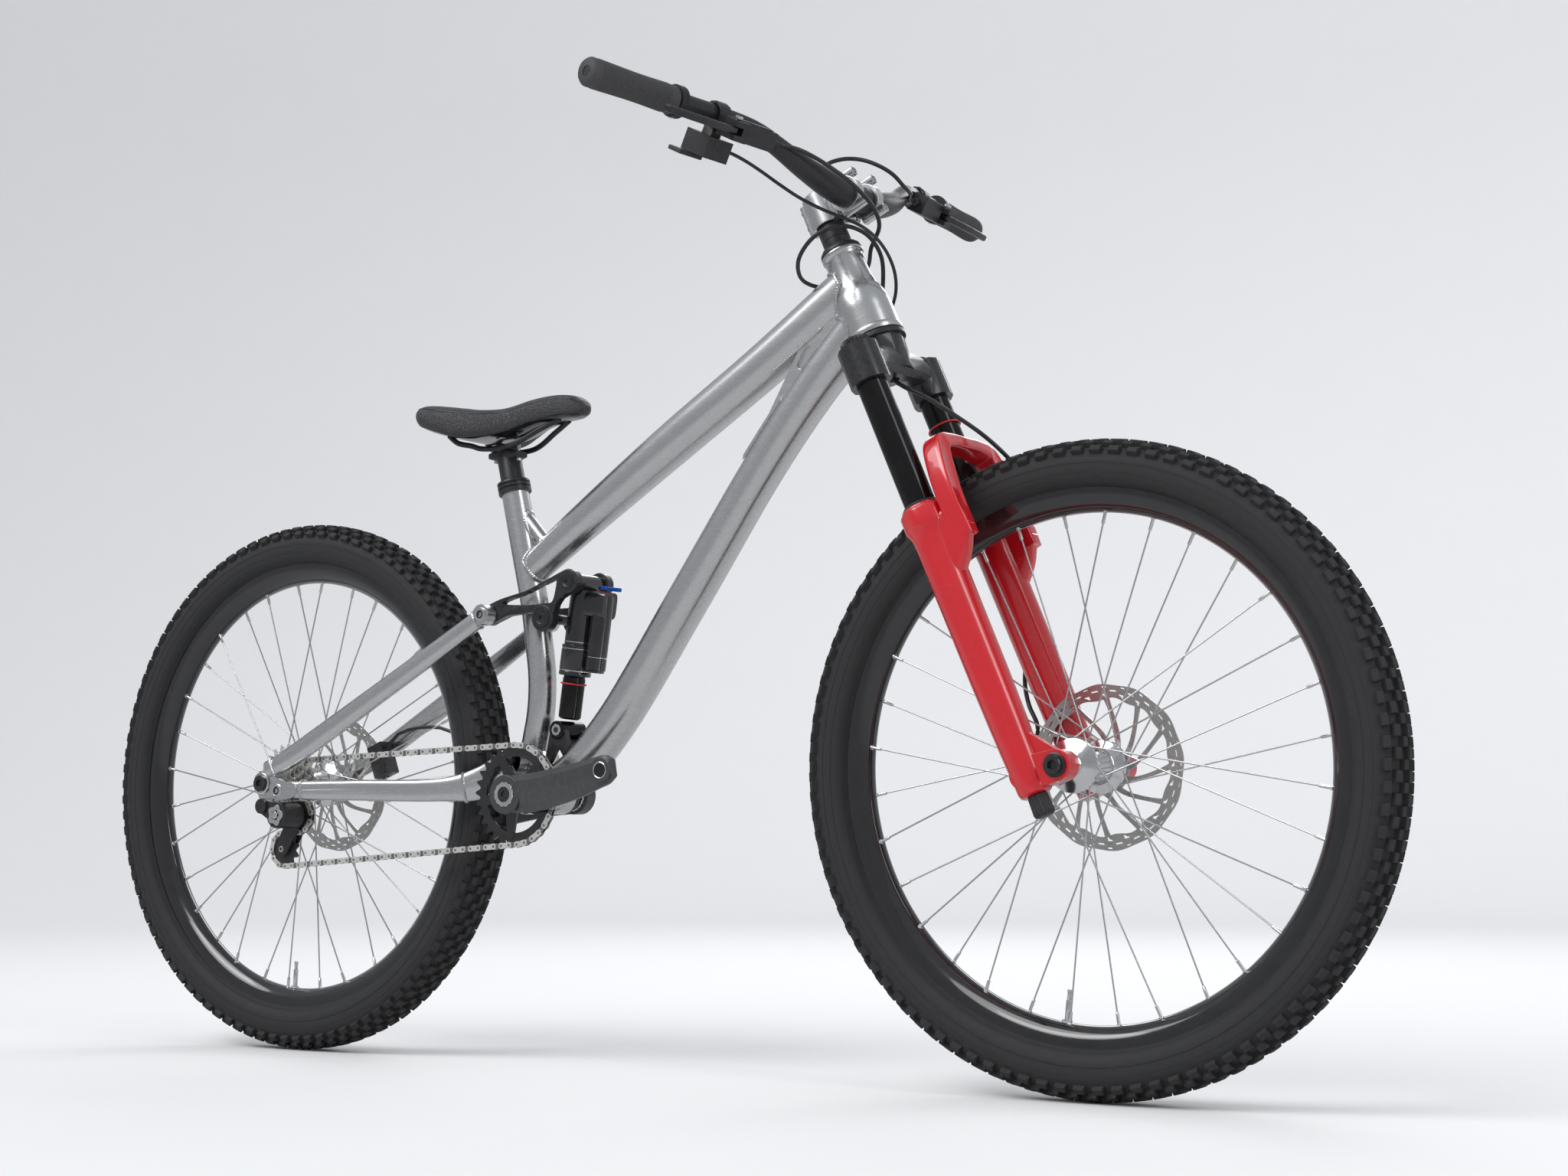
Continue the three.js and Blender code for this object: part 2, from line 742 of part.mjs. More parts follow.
function rimShape(at) {
  const half = rimWidth / 2;
  const shelf = beadRadius - seatGap;
  const profile = [
    [rimInnerRadius, -half * 0.6],
    [rimFlangeRadius, -half],
    [rimFlangeRadius, -half + rimLip],
    [shelf, -half + rimLip],
    [shelf, half - rimLip],
    [rimFlangeRadius, half - rimLip],
    [rimFlangeRadius, half],
    [rimInnerRadius, half * 0.6],
    [rimInnerRadius, -half * 0.6],
  ];
  return turned(profile, rimSides, at);
}

function rim(at, valveAngle) {
  const reach = (r) => point(at.x + r * cos(valveAngle), 0, at.z + r * sin(valveAngle));
  const valve = rod(reach(rimInnerRadius + rimLip), reach(rimInnerRadius - valveLength), valveRadius, 8, valveRadius / 2);
  return join(rimShape(at), valve);
}

// The hub's shell with both flanges, and the spokes laced three cross between them and the rim.
function hub(at, sizes) {
  const end = sizes.spacing / 2 - runGap;
  const { left, right, flangeRadius, shellRadius: shell, bore } = sizes;
  const capRadius = shell * capShare;
  const rightEnd = -end;
  const profile = [
    [bore, rightEnd],
    [capRadius, rightEnd],
    [capRadius, right - flangeThickness],
    [shell, right - flangeThickness],
    [flangeRadius, right - flangeThickness / 2],
    [flangeRadius, right + flangeThickness / 2],
    [shell, right + flangeThickness],
    [shell, left - flangeThickness],
    [flangeRadius, left - flangeThickness / 2],
    [flangeRadius, left + flangeThickness / 2],
    [shell, left + flangeThickness],
    [shell, rotorPlane(sizes) - 2 * rotorThickness],
    [capRadius, rotorPlane(sizes) - 2 * rotorThickness],
    [capRadius, end],
    [bore, end],
    [bore, rightEnd],
  ];
  const spokes = [];
  const perFlange = spokeCount / 2;
  const holeRadius = flangeRadius - flangeHoleInset;
  const tipRadius = rimInnerRadius * cos(PI / rimSides) - seatGap;
  for (let i = 0; i < spokeCount; i++) {
    const onLeft = i % 2 === 0;
    const forward = i % 4 < 2 ? 1 : -1;
    const rimAngle = (2 * PI * (i + 0.5)) / spokeCount;
    const crossing = (3 * 2 * PI) / perFlange;
    const hubAngle = rimAngle - forward * (crossing - PI / perFlange / 2);
    const flange = onLeft ? left : right;
    const tip = point(at.x + tipRadius * cos(rimAngle), flange * 0.12, at.z + tipRadius * sin(rimAngle));
    const lay = flange + forward * (flangeThickness / 2 - 1.1 * spokeRadius); // apart, so that crossing spokes clear
    const root = point(at.x + holeRadius * cos(hubAngle), lay, at.z + holeRadius * sin(hubAngle));
    spokes.push(rod(root, tip, spokeRadius, 3));
  }
  return join(turned(profile, discSides, at), ...spokes);
}

const capShare = 0.62; // the hub's ends, beside its shell
const rotorPlane = (sizes) => sizes.spacing / 2 - rotorInset;

function rotor(at, sizes) {
  const y = rotorPlane(sizes);
  const half = rotorThickness / 2;
  const band = turned(
    [
      [rotorRadius - rotorBandWidth, y - half],
      [rotorRadius, y - half],
      [rotorRadius, y + half],
      [rotorRadius - rotorBandWidth, y + half],
      [rotorRadius - rotorBandWidth, y - half],
    ],
    20,
    at,
  );
  const carrierBore = sizes.shellRadius * capShare + seatGap;
  const centre = turned(
    [
      [carrierBore, y - half],
      [rotorHubRadius, y - half],
      [rotorHubRadius, y + half],
      [carrierBore, y + half],
      [carrierBore, y - half],
    ],
    discSides,
    at,
  );
  const arms = [];
  for (let i = 0; i < rotorArms; i++) {
    arms.push(rotorArm(at, (2 * PI * i) / rotorArms, y));
  }
  return join(band, centre, ...arms);
}

// One curved arm between the rotor's carrier and its band.
function rotorArm(at, turn, y) {
  const reachShares = [0.9, 3.3]; // of the carrier's radius
  const sweepShares = [0, 0.38]; // of a right angle
  const edge = (side) =>
    reachShares.map((share, i) => {
      const radius = share * rotorHubRadius;
      const angle = turn + (sweepShares[i] * PI) / 2 + (side * rotorArmWidth) / 2 / radius;
      return { x: at.x + radius * cos(angle), z: at.z + radius * sin(angle) };
    });
  return plate([...edge(-1), ...edge(1).reverse()], y - rotorThickness / 2, y + rotorThickness / 2);
}

function wheelNodes(name, at, sizes, valveAngle) {
  return [
    node(name + "_tyre", tyre(at), "rubber"),
    node(name + "_rim", rim(at, valveAngle), "black"),
    node(name + "_hub", hub(at, sizes), "steel"),
    node(name + "_rotor", rotor(at, sizes), "steel"),
  ];
}

// Rear stays. side is -1 on the right and 1 on the left.
function chainstay() {
  const inner = forgingWidth / 2 + runGap;
  const boss = (side) => crossRod(mainPivot, side * inner, side * (inner + chainstayBossWidth), chainstayBossRadius);
  const arm = (side) => {
    const front = { x: mainPivot.x, z: mainPivot.z };
    const mid = inner + chainstayBossWidth / 2;
    const shares = [
      [0.048, 0.004, 1, 0.9],
      [0.318, 0.032, 0.8, 0.98],
      [0.737, 0.0735, 0.485, 1.1],
      [0.863, 0.066, 0.21, 1.5],
      [0.99, 0, 0.01, 1.2],
    ];
    return shapedTube(
      shares.map(([along, off, out, size]) => ({
        ...beside(dropPivot, front, along, -off),
        y: side * (mid + out * (stayRearInset - mid)),
        height: size * chainstaySize,
        width: chainstayWidth,
      })),
      5,
      tubeSides,
      1.2,
    );
  };
  const lug = (side) => {
    const outer = side * (stayRearInset + chainstayWidth / 2);
    const face = side * (stayRearInset + seatGap);
    const root = { x: dropPivot.x + 2 * stayEyeRadius, z: dropPivot.z };
    return plate(linkOutline(dropPivot, root, stayEyeRadius, stayEyeRadius * 0.8, 4), face, outer);
  };
  const pin = (side) =>
    crossRod(
      dropPivot,
      side * (stayRearInset + chainstayWidth / 2 - 1),
      side * (stayRearInset - dropoutThickness - 1),
      boltRadius - 2,
      smallSides,
    );
  const bridge = block(
    wheelRadius + runGap + overrun / 3,
    wheelRadius + overrun / 3 + bridgeLength,
    -inner - chainstayBossWidth / 2,
    inner + chainstayBossWidth / 2,
    mainPivot.z - bridgeHeight,
    mainPivot.z,
  );
  const shaft = crossRod(mainPivot, -inner - chainstayBossWidth / 2, inner + chainstayBossWidth / 2, boltRadius, smallSides);
  const bothSides = [-1, 1].flatMap((side) => [arm(side), boss(side), lug(side), pin(side)]);
  return join(...bothSides, bridge, shaft);
}

function seatstay(side) {
  const inner = stayRearInset - dropoutThickness;
  const outer = stayRearInset;
  const axlePlate = plate(linkOutline(rearAxle, dropPivot, dropoutRadius, stayEyeRadius - 1, 5), side * inner, side * outer);
  const shares = [
    [0.035, 0.028, 1, 0.9],
    [0.12, 0.014, 0.96, 1],
    [0.6, 0.002, 0.5, 1],
    [0.94, 0, 0.05, 0.92],
    [0.985, 0, 0, 0.86],
  ];
  const middle = stayRearInset - dropoutThickness / 2;
  const arm = shapedTube(
    shares.map(([along, off, out, size]) => ({
      ...beside(rearAxle, stayPivot, along, off),
      y: side * (stayEyeInset + out * (middle - stayEyeInset)),
      height: size * seatstaySize,
      width: seatstayWidth * size,
    })),
    5,
    tubeSides,
    1.15,
  );
  const eye = crossRod(
    stayPivot,
    side * (stayEyeInset - stayEyeWidth / 2),
    side * (stayEyeInset + stayEyeWidth / 2),
    stayEyeRadius,
  );
  const hangerTip = { x: hangerLength * 0.42, z: rearAxle.z - hangerLength };
  const hanger = plate(linkOutline(rearAxle, hangerTip, dropoutRadius * 0.8, hangerWidth / 2, 4), side * inner, side * outer);
  const pieces = side < 0 ? [axlePlate, arm, eye, hanger] : [axlePlate, arm, eye];
  const lugRoom = crossRod(
    dropPivot,
    side * (outer + seatGap / 2),
    side * (outer + overrun),
    stayEyeRadius + chainstayWidth / 2,
  );
  const axleBore = crossRod(rearAxle, side * (inner - overrun), side * (outer + overrun), rearAxleRadius + seatGap + 1, smallSides);
  const pinBore = crossRod(dropPivot, side * (inner - overrun), side * (outer + 1), boltRadius - 2 + 2 * runGap, smallSides);
  return cut(join(...pieces), axleBore, pinBore, lugRoom);
}

function rearAxleRod() {
  const end = stayRearInset + seatGap;
  const shaft = crossRod(rearAxle, -end - 1, end + 1, rearAxleRadius, smallSides);
  const heads = [-1, 1].map((side) => crossRod(rearAxle, side * end, side * (end + axleHeadLength), axleHeadRadius));
  return join(shaft, ...heads);
}

// The middle of a caliper over the edge of the rotor, at an angle about the axle.
function caliperCentre(axle, angle) {
  const far = rotorRadius + caliper.overRotor;
  return { x: axle.x + far * cos(angle), z: axle.z + far * sin(angle) };
}

// A brake caliper: a block with a slot for the rotor.
function caliperBlock(axle, place, y) {
  const { length, height, slot, overRotor } = caliper;
  const body = block(-length / 2, length / 2, y - place.inner, y + place.outer, -height / 2, height / 2);
  const room = block(-length, length, y - slot / 2, y + slot / 2, -height, runGap * 3 - overRotor);
  const centre = caliperCentre(axle, place.angle);
  return cut(body, room)
    .rotateY(PI / 2 - place.angle)
    .translate(centre.x, 0, centre.z);
}

// The rocker: a plate on each side, a tail out to each seatstay, and the pivot shaft that joins them.
function rocker() {
  const side = (way) => {
    const inner = way * rockerInset;
    const outer = way * (rockerInset + rockerPlate);
    const tailRoot = beside(stayPivot, rockerPivot, 0.34, 0.06);
    const outline = [
      ...arc(rockerPivot, rockerBossRadius, -PI * 0.75, PI * 0.02, 4),
      ...arc(shockTop, rockerBossRadius, -PI * 0.12, PI * 0.62, 4),
      beside(tailRoot, shockTop, 0.02, 0.1),
      beside(tailRoot, rockerPivot, 0.02, -0.16),
    ];
    const core = [
      beside(tailRoot, shockTop, 0.14, -0.02),
      beside(rockerPivot, shockTop, 0.8, 0.26),
      beside(rockerPivot, shockTop, 0.28, 0.32),
    ];
    const tailStations = [
      [0, 1],
      [0.3, 0.9],
      [1, 1.25],
    ].map(([along, size]) => ({
      ...beside(stayPivot, { x: tailRoot.x + rockerRim, z: tailRoot.z + rockerRim }, along, 0),
      y: way * between(stayEyeInset - stayEyeWidth / 2 - seatGap - rockerPlate / 2, rockerInset + rockerPlate / 2, along),
      height: size * 2 * stayEyeRadius * 0.8,
      width: rockerPlate,
    }));
    const eyeOuter = stayEyeInset - stayEyeWidth / 2 - seatGap;
    const eye = crossRod(stayPivot, way * eyeOuter, way * (eyeOuter - rockerPlate), stayEyeRadius - 1);
    const bolt = crossRod(shockTop, outer - way, outer + way * 2, rockerBossRadius * 0.62);
    return [plate(outline, inner, outer, [core]), shapedTube(tailStations, 2, 8, 1.3), eye, bolt];
  };
  const end = rockerInset + rockerPlate + 2;
  const shaft = crossRod(rockerPivot, -end, end, boltRadius, smallSides);
  const caps = [-1, 1].map((way) => crossRod(rockerPivot, way * (end - 3), way * end, rockerBossRadius * 0.75));
  const room = crossRod(stayPivot, -overrun, overrun, stayEyeRadius);
  return cut(join(...side(-1), ...side(1), shaft, ...caps), room);
}

// Shock, along the line from its lower eye to its upper one.
const shockLength = hypot(shockTop.x - shockFoot.x, shockTop.z - shockFoot.z);
const shockLean = atan2(shockTop.x - shockFoot.x, shockTop.z - shockFoot.z);
const placedOnShock = (shape) => shape.rotateY(shockLean).translate(shockFoot.x, 0, shockFoot.z);

function shockShaft() {
  const half = shockEyeWidth / 2;
  const eye = crossRod({ x: 0, z: 0 }, -half, half, shockEyeRadius);
  const bore = crossRod({ x: 0, z: 0 }, -half - overrun, half + overrun, boltRadius, smallSides);
  const shaftTop = shockLength - shockHeadHeight - shockEyeRadius - shockStroke - 3 * runGap;
  const shaftFoot = shockEyeRadius + runGap;
  const neck = rod(point(0, 0, boltRadius), point(0, 0, shaftFoot + 1), shockEyeRadius - 1);
  const shaft = rod(point(0, 0, shaftFoot), point(0, 0, shaftTop), shockShaftRadius);
  return placedOnShock(cut(join(eye, neck, shaft), bore));
}

function shockCan() {
  const topEye = { x: 0, z: shockLength };
  const canTop = shockLength - shockEyeRadius;
  const sleeve = rod(point(0, 0, shockCanLip), point(0, 0, shockCanLip + shockCanSleeve), shockCanRadius);
  const can = rod(point(0, 0, shockCanLip + 1), point(0, 0, canTop + shockEyeRadius / 3), shockCanUpperRadius);
  const eye = crossRod(topEye, -rockerInset + runGap, rockerInset - runGap, shockEyeRadius);
  const headFoot = canTop - shockHeadHeight;
  const rim = reservoirRadius + shockHeadRim;
  const headBlock = block(-rim / 2, reservoirOffset + rim, -rim, rim, headFoot, canTop + shockEyeRadius / 2);
  const reservoir = rod(
    point(reservoirOffset, 0, canTop - reservoirLength),
    point(reservoirOffset, 0, canTop),
    reservoirRadius,
    roundSides,
  );
  const web = reservoirRadius / 2;
  const bridge = block(0, reservoirOffset, -web, web, headFoot - shockHeadHeight / 2, canTop - shockHeadHeight / 2);
  const shaftRoom = rod(
    point(0, 0, -overrun),
    point(0, 0, headFoot - 2 * runGap),
    shockShaftRadius + runGap,
  );
  return placedOnShock(cut(join(sleeve, can, eye, headBlock, reservoir, bridge), shaftRoom));
}

// The lockout lever on the front of the shock's head, which turns about the reservoir's axis.
function shockLeverPiece() {
  const seat = shockLength - shockEyeRadius / 2 + seatGap;
  const { length, width, thickness, hub: hubRadius } = shockLever;
  const disc = rod(point(reservoirOffset, 0, seat), point(reservoirOffset, 0, seat + thickness), hubRadius, smallSides);
  const arm = block(reservoirOffset, reservoirOffset + length, -width / 2, width / 2, seat, seat + thickness);
  return placedOnShock(join(disc, arm));
}

// Drivetrain.
const pitchRadius = (teeth) => chainPitch / 2 / sin(PI / teeth);

// A toothed disc across the bike, with one low tooth for each link it takes.
function toothedDisc(at, teeth, y, thickness, turn = 0) {
  const root = pitchRadius(teeth) - chainHeight / 3;
  const tip = pitchRadius(teeth) + toothRise;
  const outline = [];
  for (let i = 0; i < teeth; i++) {
    const middle = turn + (2 * PI * i) / teeth;
    const half = PI / teeth;
    outline.push({ x: at.x + root * cos(middle - half), z: at.z + root * sin(middle - half) });
    outline.push({ x: at.x + tip * cos(middle), z: at.z + tip * sin(middle) });
  }
  return plate(outline, y - thickness / 2, y + thickness / 2);
}

function chainring() {
  const rootRadius = pitchRadius(chainringTeeth) - chainHeight / 2;
  const y = -chainLine;
  const inner = turned(
    [
      [0, y - ringThickness],
      [rootRadius - ringRim, y - ringThickness],
      [rootRadius - ringRim, y + ringThickness],
      [0, y + ringThickness],
    ],
    roundSides + 4,
    bottomBracket,
  );
  const arms = [];
  for (let i = 0; i < ringArms; i++) {
    const angle = crankAngle + (2 * PI * (i + 0.5)) / ringArms;
    const foot = { x: bottomBracket.x, z: bottomBracket.z };
    const far = rootRadius - ringRim / 2;
    const tip = { x: foot.x + far * cos(angle), z: foot.z + far * sin(angle) };
    const across = (at, half) => [
      { x: at.x - half * sin(angle), z: at.z + half * cos(angle) },
      { x: at.x + half * sin(angle), z: at.z - half * cos(angle) },
    ];
    arms.push(plate([...across(foot, ringArmWidth), ...across(tip, ringArmWidth / 2).reverse()], y - 1, y + 1));
  }
  const spiderHub = crossRod(bottomBracket, y - ringThickness, y + ringThickness, ringHubRadius);
  const bore = crossRod(bottomBracket, 0, 2 * y, spindleRadius + seatGap);
  const disc = cut(toothedDisc(bottomBracket, chainringTeeth, y, pulleyThickness, crankAngle), inner);
  return cut(join(disc, ...arms, spiderHub), bore);
}

function cassette() {
  const first = -chainLine - 2 * sprocketPitch; // the third sprocket is in line with the chainring
  const outer = first - sprocketThickness / 2;
  const bore = rearHub.shellRadius * capShare + 2 * seatGap;
  const profile = [[bore, outer]];
  sprocketTeeth.forEach((teeth, i) => {
    const y = first + i * sprocketPitch;
    const radius = pitchRadius(teeth) + (teeth === drivenTeeth ? toothRise : 0);
    profile.push([radius, y - sprocketThickness / 2], [radius, y + sprocketThickness / 2]);
    if (i + 1 < sprocketTeeth.length) {
      profile.push([sprocketCore, y + sprocketPitch / 2]);
    }
  });
  profile.push([bore, first + (sprocketTeeth.length - 1) * sprocketPitch + sprocketThickness / 2]);
  profile.push(profile[0]);
  return turned(profile, roundSides, rearAxle);
}

// Where the chain leaves circle a and reaches circle b. Each circle has a turning sense, 1 or -1.
function tangentAngles(a, b) {
  const far = hypot(b.x - a.x, b.z - a.z);
  const way = atan2(b.z - a.z, b.x - a.x);
  const lean = Math.acos((a.sense * a.radius - b.sense * b.radius) / far);
  return { leave: way - lean + (a.sense < 0 ? PI : 0), reach: way - lean + (b.sense < 0 ? PI : 0) };
}

// The chain's line: an outline round the chainring, the driven sprocket and both pulleys.
function chainLineCircles() {
  return [
    { ...bottomBracket, radius: pitchRadius(chainringTeeth), sense: 1 },
    { ...rearAxle, radius: pitchRadius(drivenTeeth), sense: 1 },
    { ...guidePulley, radius: pitchRadius(pulleyTeeth), sense: -1 },
    { ...tensionPulley, radius: pitchRadius(pulleyTeeth), sense: 1 },
  ];
}

function chainBand(offset) {
  const circles = chainLineCircles();
  const count = circles.length;
  const joints = circles.map((c, i) => tangentAngles(c, circles[(i + 1) % count]));
  const outline = [];
  circles.forEach((circle, i) => {
    const arrive = joints[(i + count - 1) % count].reach;
    const full = 2 * PI;
    const turnBy = (((circle.sense * (joints[i].leave - arrive)) % full) + full) % full;
    const end = arrive + circle.sense * turnBy;
    const steps = Math.max(3, Math.round((turnBy * circle.radius) / chainPitch / 1.5));
    outline.push(...arc(circle, circle.radius + circle.sense * offset, arrive, end, steps));
  });
  return outline;
}

function chain() {
  const half = chainHeight / 2;
  const outside = chainBand(half);
  const inside = chainBand(-half);
  const strip = (near, far) => plate(outside, -chainLine + near, -chainLine + far, [inside]);
  const right = strip(-chainHalfWidth, -chainHalfWidth + chainPlate);
  const left = strip(chainHalfWidth - chainPlate, chainHalfWidth);
  const [front, rear, , low] = chainLineCircles();
  const pins = [];
  const topRun = tangentAngles(front, rear);
  const lowRun = tangentAngles(low, front);
  const rimPoint = (circle, angle) => ({
    x: circle.x + circle.radius * cos(angle),
    z: circle.z + circle.radius * sin(angle),
  });
  const runs = [
    [rimPoint(front, topRun.leave), rimPoint(rear, topRun.reach)],
    [rimPoint(low, lowRun.leave), rimPoint(front, lowRun.reach)],
  ];
  const pinShares = [0.25, 0.75];
  for (const [from, to] of runs) {
    for (const share of pinShares) {
      const at = { x: between(from.x, to.x, share), z: between(from.z, to.z, share) };
      pins.push(crossRod(at, -chainLine - chainHalfWidth + 1, -chainLine + chainHalfWidth - 1, chainPinRadius, 6));
    }
  }
  return join(right, left, ...pins);
}

function crankArm(side) {
  const way = side < 0 ? 1 : -1; // the arms point opposite ways
  const eye = {
    x: bottomBracket.x + way * crankLength * cos(crankAngle),
    z: bottomBracket.z + way * crankLength * sin(crankAngle),
  };
  // How far along, how far out, how high and how far below the line of centres each station lies.
  const shares = [
    [0.02, 0, 1, 0],
    [0.3, 0.3, 1.06, 0.032],
    [0.7, 0.8, 0.96, 0.03],
    [0.99, 1, 0.78, 0],
  ];
  const bossMiddle = crankBossInner + crankBossWidth / 2;
  const eyeMiddle = crankEyeOuter - crankEyeWidth / 2;
  const arm = shapedTube(
    shares.map(([along, out, size, sag]) => ({
      ...beside(bottomBracket, eye, along, -sag),
      y: side * between(bossMiddle, eyeMiddle, out),
      height: size * crankArmHeight,
      width: crankEyeWidth,
    })),
    4,
    tubeSides,
    1.5,
  );
  const boss = crossRod(bottomBracket, side * crankBossInner, side * (crankBossInner + crankBossWidth), crankBossRadius);
  const end = crossRod(eye, side * (crankEyeOuter - crankEyeWidth), side * crankEyeOuter, crankEyeRadius);
  const pedalHole = crossRod(eye, side * (crankEyeOuter - 2 * overrun), side * (crankEyeOuter + overrun), pedalBore, roundSides);
  const spindleSeat = crossRod(bottomBracket, 0, side * (crankBossInner + crankBossWidth - 3), spindleRadius + seatGap);
  const body = cut(join(arm, boss, end), pedalHole);
  if (side < 0) {
    return cut(body, spindleSeat);
  }
  const spindle = crossRod(bottomBracket, -crankBossInner - crankBossWidth + 4, crankBossInner + 1, spindleRadius);
  return join(body, spindle);
}

function pulley(at, turn) {
  const y = -chainLine;
  const disc = toothedDisc(at, pulleyTeeth, y, pulleyThickness, turn);
  return cut(disc, crossRod(at, 0, 2 * y, pulleyBore + runGap, smallSides));
}

function derailleurCage() {
  const middle = -chainLine;
  const outline = linkOutline(guidePulley, tensionPulley, cageWidth / 2, cageWidth / 2.4, 4);
  const cheek = (side) => plate(outline, middle + side * cageHalfWidth, middle + side * (cageHalfWidth - cagePlate));
  const pin = (at) => crossRod(at, middle - cageHalfWidth + 1, middle + cageHalfWidth - 1, pulleyBore, smallSides);
  return join(cheek(-1), cheek(1), pin(guidePulley), pin(tensionPulley));
}

function derailleurBody() {
  const outerFace = -stayRearInset - chainstayWidth / 2 - 6;
  const clutch = crossRod(
    guidePulley,
    outerFace,
    -chainLine - cageHalfWidth - runGap,
    clutchRadius,
  );
  const hangerTip = { x: hangerLength * 0.42, z: rearAxle.z - hangerLength };
  const knuckle = crossRod(hangerTip, -stayRearInset - seatGap, outerFace, hangerWidth / 2);
  const link = plate(
    linkOutline(hangerTip, guidePulley, hangerWidth / 2 - 1, clutchRadius * 0.8, 4),
    -stayRearInset - seatGap - 1,
    outerFace + 3,
  );
  return join(clutch, knuckle, link);
}

// Fork. Its pieces are drawn in the fork's own frame and placed by a group.
const legPoint = (side, up, forward = legForward) => point(forward, side * legInset, up);

function forkCrown() {
  const core = turned(
    [
      [0, crownTop - crownHeight],
      [crownCoreRadius, crownTop - crownHeight],
      [headLowRadius - 2, crownTop],
      [headLowRadius, crownTop],
      [headLowRadius, -headLength / 2 - seatGap],
      [0, -headLength / 2 - seatGap],
    ],
    roundSides,
  ).rotateX(PI / 2);
  const sockets = [-1, 1].map((side) =>
    rod(legPoint(side, crownFoot), legPoint(side, stanchionTop - seatGap), crownSocketRadius),
  );
  const shoulder = loft(
    [-1, -0.55, 0.55, 1].map((share) =>
      ring(
        point(legForward, share * legInset, crownTop - crownHeight / 2 - abs(share) * crownHeight * 0.42),
        point(0, 0, 1),
        point(1, 0, 0),
        crownHeight * 0.8,
        crownDepth,
        10,
        1.3,
      ),
    ),
  );
  const steererFoot = point(0, 0, crownTop);
  const steererTop = point(0, 0, stemFoot + stemHeight - 2);
  const steerer = rod(steererFoot, steererTop, steererRadius + 3, roundSides, steererRadius);
  const bore = rod(point(0, 0, crownTop - crownHeight - overrun), point(0, 0, steererTop.z + overrun), hoseBore, smallSides);
  const legBores = [-1, 1].map((side) =>
    rod(legPoint(side, crownFoot - overrun), legPoint(side, stanchionTop + overrun), stanchionRadius + seatGap),
  );
  return cut(join(core, ...sockets, shoulder, steerer), bore, ...legBores);
}

const stanchion = (side) => rod(legPoint(side, stanchionFoot), legPoint(side, stanchionTop), stanchionRadius);

function forkLowers() {
  const axle = { x: forkOffset, z: -forkLength };
  const foot = axle.z - legDrop;
  const leg = (side) =>
    loft(
      [
        [lowersTop, collarRadius],
        [lowersTop - collarHeight, collarRadius],
        [lowersTop - collarHeight - 4, legRadius],
        [between(lowersTop, foot, 0.6), legRadius * 0.98],
        [between(lowersTop, foot, 0.9), legFootRadius * 1.05],
        [foot, legFootRadius],
      ].map(([up, radius]) => ring(legPoint(side, up), point(1, 0, 0), point(0, 1, 0), 2 * radius, 2 * radius, roundSides)),
    );
  const outer = frontHub.spacing / 2 + axleEyeWidth;
  const lug = (side) => {
    const root = { x: legForward, z: axle.z + axleEyeRadius * 0.4 };
    return plate(
      linkOutline(root, axle, legFootRadius * 0.95, axleEyeRadius, 5),
      side * (frontHub.spacing / 2 + runGap),
      side * outer,
    );
  };
  const bore = (side) =>
    rod(legPoint(side, boreFoot), legPoint(side, lowersTop + overrun), stanchionRadius + runGap);
  const axleHole = crossRod(axle, -outer - overrun, outer + overrun, axleRadius + seatGap + 1, smallSides);
  const wheelRoom = rod(
    point(axle.x, -frontHub.spacing / 2 - runGap, axle.z),
    point(axle.x, frontHub.spacing / 2 + runGap, axle.z),
    axleEyeRadius + overrun,
    smallSides,
  );
  return cut(join(leg(-1), leg(1), lug(-1), lug(1), arch()), bore(-1), bore(1), axleHole, wheelRoom);
}

// The arch in front of the legs, over the tyre: a band that rises from each leg and crosses at the top.
function arch() {
  const shares = [
    [1.0, -1.15],
    [1.02, -0.4],
    [0.95, 0.4],
    [0.76, 0.93],
    [0.5, 1],
  ];
  const inner = [
    [0.72, -1.15],
    [0.72, -0.4],
    [0.66, 0.32],
    [0.52, 0.7],
    [0.3, 0.79],
  ];
  const edge = (list, side) => list.map(([out, up]) => ({ x: side * out * (legInset + archBand), z: lowersTop + up * archHeight }));
  const across = (list, from, to) => plate(list, from, to).rotateZ(-PI / 2).scale(1, -1, 1);
  const outline = [...edge(shares, -1), ...edge(shares, 1).reverse(), ...edge(inner, 1), ...edge(inner, -1).reverse()];
  // Each post is rooted in its leg below the collar, and stands clear of the crown above it.
  const root = (side) =>
    across([...edge(shares.slice(0, 2), side), ...edge(inner.slice(0, 2), side).reverse()], legForward, archForward);
  return join(across(outline, archForward - archDepth / 2, archForward + archDepth / 2), root(-1), root(1));
}

function frontAxleRod() {
  const axle = { x: forkOffset, z: -forkLength };
  const end = frontHub.spacing / 2 + axleEyeWidth + seatGap;
  const shaft = crossRod(axle, -end, end, axleRadius, smallSides);
  const heads = [-1, 1].map((side) => crossRod(axle, side * end, side * (end + 3), axleHeadRadius));
  return join(shaft, ...heads);
}

